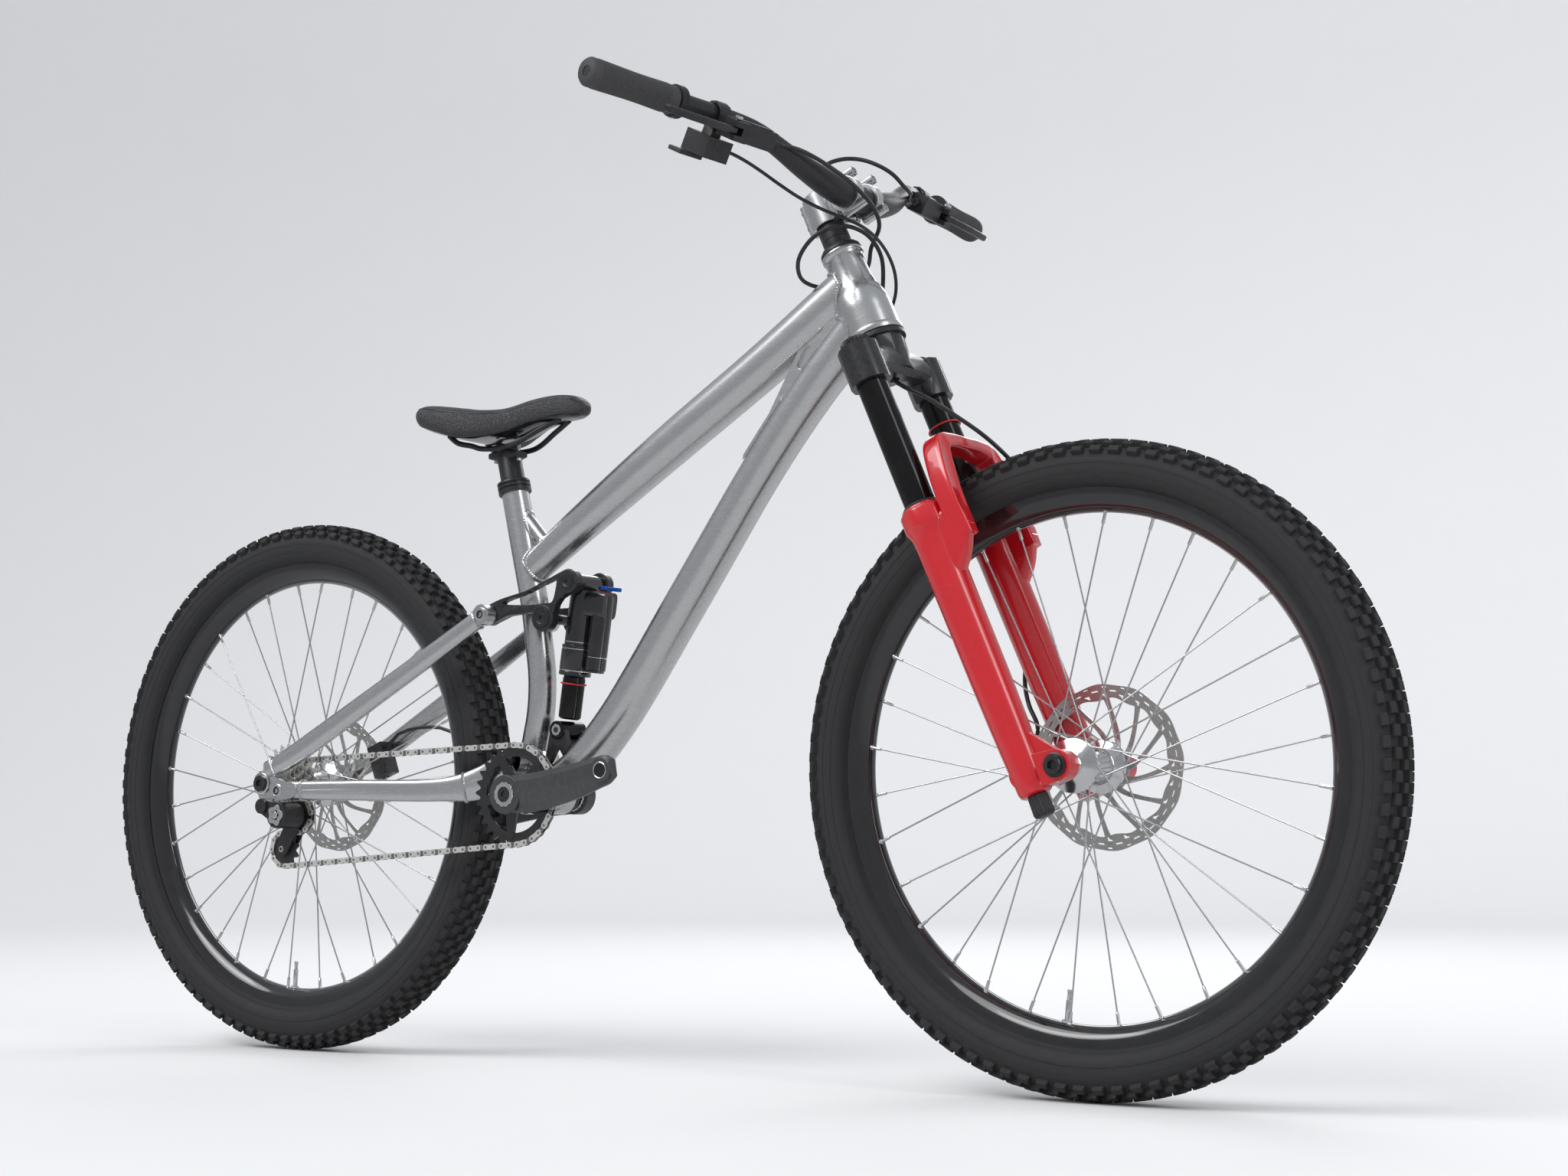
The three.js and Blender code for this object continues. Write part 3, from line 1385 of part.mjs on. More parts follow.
function forkNodes() {
  const foot = -forkLength - legDrop;
  const knob = rod(legPoint(-1, foot - seatGap - knobLength), legPoint(-1, foot - seatGap), knobRadius, smallSides);
  const dial = rod(legPoint(-1, stanchionTop + seatGap), legPoint(-1, stanchionTop + dialHeight), dialRadius, roundSides);
  const group = new THREE.Group();
  group.position.set(headReach, 0, headHeight);
  group.rotation.y = headAngle - PI / 2;
  const axle = { x: forkOffset, z: -forkLength };
  group.add(
    node("fork_crown", forkCrown(), "black"),
    node("stanchion_right", stanchion(-1), "anodised"),
    node("stanchion_left", stanchion(1), "anodised"),
    node("fork_dial", dial, "black"),
    node("fork_lowers", forkLowers(), "red"),
    node("front_axle", frontAxleRod(), "black"),
    node("front_caliper", caliperBlock(axle, frontCaliper, rotorPlane(frontHub)), "anodised"),
    node("rebound_knob", knob, "black"),
    node("headset_spacers", headsetSpacers(), "black"),
    node("stem", stem(), "silver"),
    node("bar_clamp_right", barClamp(-1), "silver"),
    node("bar_clamp_left", barClamp(1), "silver"),
  );
  return group;
}

const stemFoot = headLength / 2 + coverHeight + spacerHeight + seatGap;
const barCentre = { x: stemReach, z: stemFoot + stemHeight / 2 - stemDrop };

function headsetSpacers() {
  const foot = headLength / 2 + seatGap;
  const bore = steererRadius + 2;
  const profile = [
    [bore, foot],
    [headTopRadius, foot],
    [headTopRadius * 0.86, foot + coverHeight],
    [spacerRadius + 1, foot + coverHeight],
    [spacerRadius + 1, stemFoot - seatGap],
    [bore, stemFoot - seatGap],
    [bore, foot],
  ];
  return turned(profile, roundSides).rotateX(PI / 2);
}

function clampRing(side, radius, y0, y1) {
  return crossRod(barCentre, side * y0, side * y1, radius, roundSides + 4);
}

const clampSplit = barEndRadius / 2; // how far the face plates' split lies ahead of the bar's centre

function stem() {
  const top = stemFoot + stemHeight;
  const sleeve = rod(point(0, 0, stemFoot), point(0, 0, top), steererRadius + stemWall);
  const ear = block(-steererRadius - 3 * stemWall, 0, -stemWall * 1.6, stemWall * 1.6, stemFoot + stemWall, top - stemWall);
  const neck = loft(
    [
      [0, 0.85, 0.9],
      [0.55, 0.8, 1.05],
      [1, 0.84, 1.15],
    ].map(([along, high, wide]) =>
      ring(
        point(along * barCentre.x, 0, between(stemFoot + stemHeight / 2, barCentre.z, along)),
        point(0, 0, 1),
        point(0, 1, 0),
        high * stemHeight,
        wide * stemNeckWidth,
        12,
        1.6,
      ),
    ),
  );
  const edge = clampInset + clampWidth / 2;
  const sockets = [-1, 1].map((side) => clampRing(side, clampRadius + clampWall, edge - clampWidth, edge));
  const steererBore = rod(point(0, 0, stemFoot - overrun), point(0, 0, top + overrun), steererRadius + 1.5 + seatGap);
  const barBore = crossRod(barCentre, -2 * edge, 2 * edge, clampRadius + 2 * seatGap, roundSides + 4);
  const frontRoom = block(
    barCentre.x + clampSplit,
    barCentre.x + stemHeight + overrun,
    -2 * edge,
    2 * edge,
    barCentre.z - stemHeight,
    barCentre.z + stemHeight,
  );
  const windowRoom = crossRod({ x: barCentre.x * 0.42, z: between(stemFoot + stemHeight / 2, barCentre.z, 0.4) }, -2 * edge, 2 * edge, stemWall * 1.1, smallSides);
  return cut(join(sleeve, ear, neck, ...sockets), steererBore, barBore, frontRoom, windowRoom);
}

// One of the two separate bands that hold the bar against the stem.
function barClamp(side) {
  const edge = clampInset + clampWidth / 2;
  const band = clampRing(side, clampRadius + clampWall, edge - clampWidth, edge);
  const bosses = [-1, 1].map((way) =>
    block(
      barCentre.x + clampSplit + seatGap,
      barCentre.x + clampRadius + clampWall / 2,
      side * (edge - clampWidth),
      side * edge,
      barCentre.z + way * clampRadius,
      barCentre.z + way * (clampRadius + 1.3 * clampWall),
    ),
  );
  const bore = crossRod(barCentre, -2 * edge, 2 * edge, clampRadius + 2 * seatGap, roundSides + 4);
  const rearRoom = block(
    barCentre.x - stemHeight,
    barCentre.x + clampSplit + seatGap,
    -2 * edge,
    2 * edge,
    barCentre.z - stemHeight,
    barCentre.z + stemHeight,
  );
  return cut(join(band, ...bosses), bore, rearRoom);
}

// Handlebar. Its half is a line of places counted from the bar's centre, as shares of its half width.
const barRise = 58;
const barSweep = 75;
const barShares = [
  [0, 0, 0],
  [0.05, 0, 0],
  [0.09, 0, 0],
  [0.23, 0.13, 0.27],
  [0.385, 0.388, 0.76],
  [0.487, 0.57, 0.904],
  [0.7, 0.749, 0.944],
  [1, 1, 1],
];

function barHome() {
  return headPoint(barCentre.z, barCentre.x);
}

function barPoint(side, share) {
  const home = barHome();
  const at = barShares.findIndex(([out]) => out >= share);
  const [a, b] = [barShares[Math.max(at - 1, 0)], barShares[at]];
  const part = b[0] > a[0] ? (share - a[0]) / (b[0] - a[0]) : 0;
  return point(
    home.x - barSweep * between(a[1], b[1], part),
    side * share * barHalfWidth,
    home.z + barRise * between(a[2], b[2], part),
  );
}

function handlebar(extra = 0) {
  const home = barHome();
  const both = [...barShares.slice(1).reverse().map((s) => [-1, ...s]), ...barShares.map((s) => [1, ...s])];
  const line = new THREE.CatmullRomCurve3(
    both.map(([side, out, back, up]) =>
      point(home.x - barSweep * back, side * out * barHalfWidth, home.z + barRise * up),
    ),
  );
  const steps = 20;
  const rings = [];
  for (let i = 0; i <= steps; i++) {
    const at = line.getPoint(i / steps);
    const out = abs(at.y) / barHalfWidth;
    const grow = Math.min(1, Math.max(0, (0.36 - out) / 0.26));
    const radius = between(barEndRadius, clampRadius, grow * grow * (3 - 2 * grow)) + extra;
    const ahead = line.getTangent(i / steps);
    const up = point(0, 0, 1).addScaledVector(ahead, -ahead.z).normalize();
    rings.push(ring(at, up, up.clone().cross(ahead), 2 * radius, 2 * radius, tubeSides));
  }
  return loft(rings);
}

const gripShare = 1 - gripLength / barHalfWidth;

function grip(side) {
  const out = barPoint(side, 1);
  const inner = barPoint(side, gripShare);
  const ahead = out.clone().sub(inner).normalize();
  const end = out.clone().addScaledVector(ahead, gripWall / 2);
  const ringEnd = inner.clone().addScaledVector(ahead, lockRingLength);
  const sleeve = rod(ringEnd, end, gripRadius);
  const lockRing = rod(inner, ringEnd.clone().addScaledVector(ahead, 1), lockRingRadius);
  const barRoom = rod(inner.clone().addScaledVector(ahead, -overrun), out.clone().addScaledVector(ahead, runGap), barEndRadius + 2 * runGap);
  return cut(join(sleeve, lockRing), barRoom);
}

// Controls hang from a frame that starts at the grip's inner end and follows the bar's grip section.
function controlFrame(side) {
  const out = barPoint(side, 1);
  const inner = barPoint(side, gripShare);
  const along = out.clone().sub(inner).multiplyScalar(side).normalize();
  const level = point(cos(controlTilt), 0, -sin(controlTilt));
  const forward = level.clone().addScaledVector(along, -level.dot(along)).normalize();
  const up = forward.clone().cross(along).normalize();
  const frame = new THREE.Matrix4().makeBasis(forward, along, up);
  return frame.setPosition(inner);
}

function leverBodyShape(side) {
  const { length, depth, height, setback, forward, drop, band } = leverBody;
  const middle = -side * setback;
  const body = block(forward - depth / 2, forward + depth / 2, middle - length / 2, middle + length / 2, -drop - height / 2, -drop + height / 2);
  const clampMiddle = middle + side * (length / 2 - band / 2);
  const clampBand = crossRod({ x: 0, z: 0 }, clampMiddle - band / 2, clampMiddle + band / 2, barEndRadius + stemWall);
  const bridge = block(0, forward, clampMiddle - band / 2, clampMiddle + band / 2, -drop - height / 3, -drop + height / 3);
  const { pivotSetback, pivotForward, thickness, depth: bladeDepth } = leverBlade;
  const ears = [-1, 1].map((way) =>
    block(
      pivotForward - bladeDepth,
      pivotForward + bladeDepth,
      -side * (pivotSetback + bladeDepth),
      -side * (pivotSetback - bladeDepth * 0.7),
      -drop + way * (thickness / 2 + runGap),
      -drop + way * (height / 2),
    ),
  );
  const barRun = [0.32, 0.487, 0.66].map((share) => barPoint(side, share).applyMatrix4(controlFrame(side).invert()));
  const room = join(
    rod(barRun[0], barRun[1], barEndRadius + 4 * runGap, tubeSides),
    rod(barRun[1], barRun[2], barEndRadius + 4 * runGap, tubeSides),
  );
  const pieces = [body, clampBand, bridge, ...ears];
  if (side < 0) {
    pieces.push(...shifterPieces(side));
  }
  const bladeRoom = block(
    pivotForward - bladeDepth - 1,
    pivotForward + 2 * bladeDepth,
    -side * (pivotSetback + bladeDepth + seatGap),
    -side * (pivotSetback - 2 * bladeDepth),
    -drop - thickness / 2 - runGap,
    -drop + thickness / 2 + runGap,
  );
  return cut(join(...pieces), room, bladeRoom);
}

function shifterPieces(side) {
  const { length, depth, height, setback, forward, drop } = shifter;
  const middle = -side * setback;
  const pod = block(forward - depth / 2, forward + depth / 2, middle - length / 2, middle + length / 2, -drop - height / 2, -drop + height / 2);
  const post = block(forward - depth / 5, forward + depth / 5, middle - length / 5, middle + length / 5, -drop, -barEndRadius - 1);
  return [pod, post];
}

function leverBladeShape(side) {
  const { length, depth, thickness, pivotSetback, pivotForward, bend } = leverBlade;
  const start = -side * pivotSetback;
  const line = [
    [0, 0],
    [0.3, 0.75],
    [0.7, 1],
    [1, 0.7],
  ];
  const front = line.map(([along, out]) => ({ x: pivotForward + bend * out + depth / 2, y: start + side * along * length }));
  const back = line.map(([along, out]) => ({ x: pivotForward + bend * out - depth / 2, y: start + side * along * length }));
  const outline = new THREE.Shape([...front, ...back.reverse()].map((p) => new THREE.Vector2(p.x, p.y)));
  return new THREE.ExtrudeGeometry(outline, { depth: thickness, bevelEnabled: false }).translate(0, 0, -leverBody.drop - thickness / 2);
}

function shifterPaddle(side) {
  const { length, depth, thickness } = paddle;
  const top = -shifter.drop - shifter.height / 2 - seatGap;
  const start = -side * shifter.setback;
  return block(shifter.forward - depth, shifter.forward, start, start + side * length, top - thickness, top);
}

function cockpitNodes() {
  const controls = [-1, 1].flatMap((side) => {
    const frame = controlFrame(side);
    const label = side < 0 ? "right" : "left";
    return [
      node("grip_" + label, grip(side), "grip"),
      node("lever_body_" + label, leverBodyShape(side).applyMatrix4(frame), "anodised"),
      node("brake_lever_" + label, leverBladeShape(side).applyMatrix4(frame), "anodised"),
    ];
  });
  const thumb = node("shifter_paddle", shifterPaddle(-1).applyMatrix4(controlFrame(-1)), "darkMetal");
  return [node("handlebar", handlebar(), "black"), ...controls, thumb];
}

// Seatpost and saddle.
const clampHeight = () => seatPoint(-postAbove);
const saddleRear = { x: clampHeight().x - saddleBack, z: clampHeight().z + saddleStack };
const saddleLine = (along) => saddleRear.z - saddleNoseDrop * along;

function seatpost() {
  const { length, width, height } = postHead;
  const shaft = rod(seatPoint(postBelow), seatPoint(-postAbove), seatpostRadius);
  const at = clampHeight();
  const head = block(at.x - length / 2, at.x + length / 2, -width / 2, width / 2, at.z - height, at.z + 1);
  const cradle = crossRod({ x: at.x, z: at.z + railRadius / 2 }, -railSpread + railRadius + seatGap, railSpread - railRadius - seatGap, height * 0.45);
  return join(shaft, head, cradle);
}

// The saddle's shape: how wide, high and deep it is at each share of its length, from the rear to the nose.
const saddleShares = [
  [0.0, 0.5, 0.5, 0.35, 0],
  [0.03, 0.78, 0.85, 0.6, 0],
  [0.09, 0.95, 0.95, 0.78, 0.2],
  [0.18, 1, 0.78, 0.88, 0.5],
  [0.3, 0.96, 0.45, 0.92, 0.9],
  [0.42, 0.8, 0.15, 0.82, 1],
  [0.55, 0.56, 0.2, 0.78, 1],
  [0.7, 0.4, 0.8, 0.76, 0.8],
  [0.84, 0.34, 1.0, 0.7, 0.4],
  [0.94, 0.28, 0.8, 0.58, 0],
  [0.985, 0.18, 0.3, 0.34, 0],
  [1, 0.08, -0.1, 0.1, 0],
];

function saddleStation([along, wide, high, deep, channel]) {
  const x = saddleRear.x + along * saddleLength;
  const base = saddleLine(along) - saddleDip;
  const top = base + high * saddleDip;
  const half = (wide * saddleWidth) / 2;
  const depth = deep * saddleDepth;
  // From the middle of the top, over the shoulder, down the drawn-in side, to the middle of the underside.
  const shares = [
    [0, 0, 1],
    [0.22, 0, 0.4],
    [0.5, -0.02, 0],
    [0.78, -0.1, 0],
    [0.96, -0.32, 0],
    [1, -0.6, 0],
    [0.95, -0.86, 0],
    [0.86, -1, 0],
    [0.5, -0.94, 0],
    [0.2, -0.92, 0],
  ];
  const side = (way) =>
    shares.map(([out, down, dent]) => point(x, way * out * half, top + down * depth - dent * channel * saddleChannel));
  const right = side(-1);
  const left = side(1);
  const under = point(x, 0, top - 0.92 * depth);
  return [...right, under, ...left.slice(1).reverse()];
}

const saddleCover = () => loft(saddleShares.map(saddleStation));

function saddleBase() {
  const backing = saddleShares.filter(([along]) => along > 0.05 && along < 0.95);
  const shell = loft(
    backing.map(([along, wide], i) => {
      const x = saddleRear.x + along * saddleLength;
      const half = (0.86 * wide * saddleWidth) / 2;
      const high = underside(along) - 2 * seatGap;
      const low = high - (i === 0 || i === backing.length - 1 ? shellThickness / 2 : shellThickness);
      return [point(x, -half, high), point(x, -half * 0.8, low), point(x, half * 0.8, low), point(x, half, high)];
    }),
  );
  const clamp = clampHeight();
  const railTop = clamp.z + railRadius / 2;
  const rail = (side) => {
    const route = [
      point(saddleRear.x + 0.24 * saddleLength, side * railSpread * 1.5, underside(0.24) - railRadius - 1),
      point(saddleRear.x + 0.32 * saddleLength, side * railSpread * 1.1, railTop + railRadius),
      point(clamp.x - postHead.length / 2, side * railSpread, railTop),
      point(clamp.x + postHead.length / 2, side * railSpread, railTop),
      point(saddleRear.x + 0.74 * saddleLength, side * railSpread * 0.7, underside(0.74) - 3 * railRadius),
      point(saddleRear.x + 0.84 * saddleLength, side * railSpread * 0.4, underside(0.84) - railRadius - 1),
    ];
    return hose(route, railRadius, 8);
  };
  return join(shell, rail(-1), rail(1));
}

// The height of the saddle cover's underside at a share of its length.
function underside(along) {
  const next = saddleShares.findIndex(([at]) => at >= along);
  const a = saddleShares[Math.max(next - 1, 0)];
  const b = saddleShares[next];
  const part = b[0] > a[0] ? (along - a[0]) / (b[0] - a[0]) : 0;
  const high = between(a[2], b[2], part);
  const deep = between(a[3], b[3], part);
  return saddleLine(along) - saddleDip + high * saddleDip - deep * saddleDepth;
}

// Cords. Each route is a list of points along the real run: up and forward along the steering axis where it
// follows the steering, and in the bike's own directions elsewhere. Each ends just short of the piece it enters.
const leverExit = (side, gap = seatGap) =>
  point(leverBody.forward, -side * (leverBody.setback + leverBody.length / 2 + gap), -leverBody.drop).applyMatrix4(
    controlFrame(side),
  );

// Where a cord goes into the gusset's slot: a quarter turn from the side that it comes from, square to the slot's floor.
function portEntry(share, from) {
  const place = portPlace(share);
  const floor = gussetThickness / 2 - portDepth + seatGap;
  const reach = hypot(from.x - place.x, from.z - place.z);
  const steps = 3;
  const bend = Array.from({ length: steps + 1 }, (_, i) => {
    const turn = ((1 - i / steps) * PI) / 2;
    const run = (portBend * (1 - cos(turn))) / reach;
    return inPlane(beside(place, from, run, 0), floor + portDepth + portBend * sin(turn));
  });
  return [...bend, inPlane(place, floor)];
}

function frontHose() {
  const axle = { x: forkOffset, z: -forkLength };
  const middle = caliperCentre(axle, frontCaliper.angle);
  const y = rotorPlane(frontHub) + frontCaliper.outer / 2;
  const beyond = (gap) => {
    const far = caliper.length / 2 + gap;
    return headPoint(middle.z + far * -cos(frontCaliper.angle), middle.x + far * sin(frontCaliper.angle), y);
  };
  return hose(
    [
      leverExit(1),
      leverExit(1, overrun),
      point(886, 120, 1046),
      point(888, 99, 1052),
      point(887, 79, 1060),
      point(880, 60, 1067),
      point(868, 42, 1072),
      point(853, 26, 1072),
      point(838, 12, 1065),
      point(828, 3, 1051),
      headPoint(148, 0),
      headPoint(132, 0),
      headPoint(60, 0),
      headPoint(-50, 0),
      headPoint(-108, 0),
      headPoint(-124, 8),
      headPoint(-148, 27, 3),
      headPoint(-186, 51, 8),
      headPoint(-228, 73, 18),
      headPoint(-262, 80, 42),
      headPoint(-286, 74, 72),
      headPoint(-304, 56, 92),
      headPoint(-326, 32, 97),
      headPoint(-375, 8, 97),
      headPoint(-431, -14, 94),
      point(1051, 86, 469),
      point(1059, 70, 444),
      point(1072, 55, 420),
      beyond(18),
      beyond(seatGap),
    ],
    hoseRadius,
    hoseSteps,
  );
}

function rearHose() {
  return hose(
    [
      leverExit(-1),
      leverExit(-1, overrun),
      point(887, -121, 1042),
      point(896, -102, 1036),
      point(904, -83, 1028),
      point(915, -64, 1016),
      point(922, -44, 1003),
      point(925, -23, 989),
      point(918, -2, 975),
      headPoint(52, 30, 16),
      headPoint(44, 6, 36),
      headPoint(42, -24, 38),
      headPoint(46, -48, 18),
      headPoint(54, -54, -12),
      headPoint(64, -34, -40),
      headPoint(73, 2, -47),
      headPoint(71, 30, -32),
      headPoint(58, 42, -8),
      headPoint(38, 38, 16),
      headPoint(16, 20, 33),
      headPoint(-2, 4, 38),
      headPoint(-14, -12, 38),
      ...portEntry(0.8, headPoint(-14, -12)),
    ],
    hoseRadius,
    hoseSteps - 8,
  );
}

function shiftCable() {
  const leave = (gap) =>
    point(shifter.forward, shifter.setback + shifter.length / 2 + gap, -shifter.drop).applyMatrix4(controlFrame(-1));
  return hose(
    [
      leave(seatGap),
      leave(overrun),
      point(836, -150, 1030),
      point(838, -121, 1024),
      point(843, -94, 1015),
      point(853, -70, 1004),
      point(869, -51, 993),
      point(888, -37, 983),
      headPoint(61, 48, -24),
      headPoint(44, 53, -9),
      headPoint(25, 51, 7),
      headPoint(7, 42, 22),
      headPoint(-9, 25, 35),
      headPoint(-20, 2, 42),
      headPoint(-24, -26, 40),
      ...portEntry(0.15, headPoint(-24, -26)),
    ],
    cableRadius,
    hoseSteps - 14,
  );
}

// The rear caliper with the short stretch of hose that leaves it for the chainstay.
function rearCaliper() {
  const y = rotorPlane(rearHub);
  const body = caliperBlock(rearAxle, rearCaliperPlace, y);
  const centre = caliperCentre(rearAxle, rearCaliperPlace.angle);
  const route = [
    point(centre.x, y - caliper.slot, centre.z + caliper.height * 0.3),
    point(centre.x + caliper.height, y - caliper.slot, centre.z + caliper.height * 1.3),
    point(184, 52, 423),
    point(217, 50, 415),
    point(248, 48, 400),
    point(272, 46, 374),
    point(288, 46, 356),
  ];
  return join(body, hose(route, hoseRadius, 12));
}

const bike = new THREE.Group();
bike.position.x = -(rearAxle.x + frontAxle.x) / 2;
bike.add(
  ...frameNodes(),
  forkNodes(),
  ...cockpitNodes(),
  ...wheelNodes("front", frontAxle, frontHub, -PI / 2 - 0.12),
  ...wheelNodes("rear", rearAxle, rearHub, -PI / 2 - 0.06),
  node("cassette", cassette(), "steel"),
  node("chainstay", chainstay(), "silver"),
  node("seatstay_right", seatstay(-1), "silver"),
  node("seatstay_left", seatstay(1), "silver"),
  node("rear_axle", rearAxleRod(), "black"),
  node("rear_caliper", rearCaliper(), "anodised"),
  node("rocker", rocker(), "black"),
  node("shock_shaft", shockShaft(), "black"),
  node("shock_can", shockCan(), "black"),
  node("shock_lever", shockLeverPiece(), "darkMetal"),
  node("crank_right", crankArm(-1), "darkMetal"),
  node("crank_left", crankArm(1), "darkMetal"),
  node("chainring", chainring(), "black"),
  node("chain", chain(), "steel"),
  node("derailleur_body", derailleurBody(), "black"),
  node("derailleur_cage", derailleurCage(), "black"),
  node("guide_pulley", pulley(guidePulley, 0), "black"),
  node("tension_pulley", pulley(tensionPulley, 0), "black"),
  node("seatpost", seatpost(), "black"),
  node("saddle_cover", saddleCover(), "cover"),
  node("saddle_base", saddleBase(), "black"),
  node("brake_hose_front", frontHose(), "hose"),
  node("brake_hose_rear", rearHose(), "hose"),
  node("shift_cable", shiftCable(), "hose"),
);

export default bike;
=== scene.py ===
"""Dirt jump bike: the dressed model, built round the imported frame.

Lengths are written in millimetres and counted from the foot of the rear axle: x forward, y to the rider's
left, z up. to_scene() turns them into the frame's metres.
"""

from math import acos, atan2, cos, hypot, pi, radians, sin

import bmesh
import bpy
import numpy as np
from bpy.props import FloatProperty, FloatVectorProperty, IntProperty, PointerProperty
from bpy.types import Operator, Panel, PropertyGroup
from mathutils import Matrix, Vector


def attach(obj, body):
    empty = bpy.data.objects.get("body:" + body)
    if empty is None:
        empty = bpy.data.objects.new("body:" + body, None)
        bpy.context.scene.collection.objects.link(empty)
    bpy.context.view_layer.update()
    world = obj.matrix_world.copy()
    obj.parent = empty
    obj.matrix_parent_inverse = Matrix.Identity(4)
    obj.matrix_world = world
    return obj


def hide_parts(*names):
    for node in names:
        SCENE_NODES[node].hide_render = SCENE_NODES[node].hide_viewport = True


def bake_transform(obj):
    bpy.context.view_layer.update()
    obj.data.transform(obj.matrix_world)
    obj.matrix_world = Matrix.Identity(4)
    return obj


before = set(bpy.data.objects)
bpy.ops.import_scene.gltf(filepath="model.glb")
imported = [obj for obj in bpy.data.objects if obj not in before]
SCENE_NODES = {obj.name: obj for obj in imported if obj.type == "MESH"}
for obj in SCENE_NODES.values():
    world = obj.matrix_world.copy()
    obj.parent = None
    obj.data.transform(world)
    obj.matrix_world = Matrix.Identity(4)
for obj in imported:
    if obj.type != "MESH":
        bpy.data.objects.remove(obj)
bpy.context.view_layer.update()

bl_info = {
    "name": "Dirt jump bike",
    "version": (1, 0, 0),
    "blender": (4, 5, 0),
    "location": "View3D > Sidebar > Bike",
    "description": "Dresses the frame of a full-suspension dirt jump bike with its surfaces and finishes",
    "category": "Add Mesh",
}

MM = 0.001
MICRON = 1e-6
FLAT_ANGLE = radians(1.5)
MIDDLE = 586.725  # from the rear axle to the middle of the bike

SIDES = ((-1, "right"), (1, "left"))

# Wheels.
WHEEL = 350.0
REAR = (0.0, 350.0)
FRONT = (1173.45, 350.0)
SPOKE_END = 270.5
TYRE_LINES = ((312, 29.1), (322, 29.2))  # radius and half width of the side wall's two rings
FRONT_HUB = {"spacing": 110, "left": 26, "right": -38, "flange": 29, "shell": 17}
REAR_HUB = {"spacing": 148, "left": 34, "right": -22, "flange": 30, "shell": 18}
ROTOR_INSET = 14.5
ROTOR_RADIUS = 90.0

# Frame.
BOTTOM_BRACKET = (416.0, 330.0)
HEAD = (888.5, 896.5)
HEAD_ANGLE = radians(66.5)
HEAD_HALF = 58.0
SHELL_HALF = 36.5
SEAT_TOP = (366.5, 714.0)
SEAT_ANGLE = radians(77)
SEAT_TUBE_RADIUS = 17.5
SEAT_TUBE_BOW = 12.1  # forward, to clear the wheel
MAIN_PIVOT = (394.0, 373.0)
DROP_PIVOT = (36.0, 340.0)
STAY_PIVOT = (371.0, 553.0)
ROCKER_PIVOT = (443.0, 547.0)
SHOCK_TOP = (483.0, 590.0)
SHOCK_FOOT = (455.0, 409.0)
STAY_INSET = 80.0
EYE_INSET = 62.0
EYE_HALF = 22.6

# Fork, in the steering's own directions.
FORK_OFFSET = 43.4
FORK_LENGTH = (HEAD[1] - WHEEL + FORK_OFFSET * cos(HEAD_ANGLE)) / sin(HEAD_ANGLE)
LEG_INSET = 67.0
LEG_AHEAD = 6.0
LOWERS_TOP = -291.0
FORK_FOOT = -FORK_LENGTH - 17
ARCH_HALF, ARCH_HEIGHT = 82.0, 74.0
STANCHION_RADIUS = 17.5
STEM_FOOT, STEM_HEIGHT = 95.6, 42.0
CLAMP_INSET, CLAMP_BOLT = 21.0, 19.8  # of the bar clamps, across and above or below the bar
BAR_AHEAD = 44.0  # of the steering axis

# Drive.
PITCH = 12.7
CHAIN_LINE = 52.0
RING_HALF = 1.2  # half the chainring's and the pulleys' thickness
CHAINRING_TEETH, DRIVEN_TEETH, PULLEY_TEETH = 30, 14, 11
SPROCKETS = (11, 12, 14, 16, 18, 21, 25)
CRANK_LENGTH = 165.0
GUIDE_PULLEY = (42.0, 308.0)
TENSION_PULLEY = (16.0, 264.0)
CRANK_ANGLE = radians(9.1)


# Places.
def flat(place, across=0.0):
    """A place in the bike's plane, moved out from it."""
    return np.array((place[0], across, place[1]), float)


STEER_UP = np.array((-cos(HEAD_ANGLE), 0, sin(HEAD_ANGLE)))
STEER_AHEAD = np.array((sin(HEAD_ANGLE), 0, cos(HEAD_ANGLE)))
ACROSS = np.array((0, 1.0, 0))
UP = np.array((0, 0, 1.0))
AHEAD = np.array((1.0, 0, 0))


def head(up, ahead, across=0.0):
    """The middle of the head tube, plus a way up the steering axis, square to it and across."""
    times = np.multiply.outer
    return flat(HEAD) + times(up, STEER_UP) + times(ahead, STEER_AHEAD) + times(across, ACROSS)


def seat(down, across=0.0):
    """The top of the seat tube, plus a way down its axis."""
    return flat(SEAT_TOP, across) + down * np.array((cos(SEAT_ANGLE), 0, -sin(SEAT_ANGLE)))


def beside(a, b, along, off):
    """A share of the way from a to b, then a share of that length off to the left of it."""
    dx, dz = b[0] - a[0], b[1] - a[1]
    return (a[0] + dx * along - dz * off, a[1] + dz * along + dx * off)


def plane(point):
    """The side view of a place: how far ahead and how high."""
    return (float(point[0]), float(point[2]))


def mix(a, b, share):
    """A share of the way from a to b."""
    return a + (b - a) * share


def to_scene(points):
    """Millimetres from the rear axle made metres from the middle of the bike."""
    return (np.asarray(points, float) - (MIDDLE, 0, 0)) * MM


def polar(centre, radius, angle):
    """The place in the bike's plane at a distance and an angle from a centre."""
    return (centre[0] + radius * cos(angle), centre[1] + radius * sin(angle))


def unit(v):
    """Each direction divided by its own length."""
    v = np.asarray(v, float)
    return v / np.maximum(np.linalg.norm(v, axis=-1, keepdims=True), 1e-12)


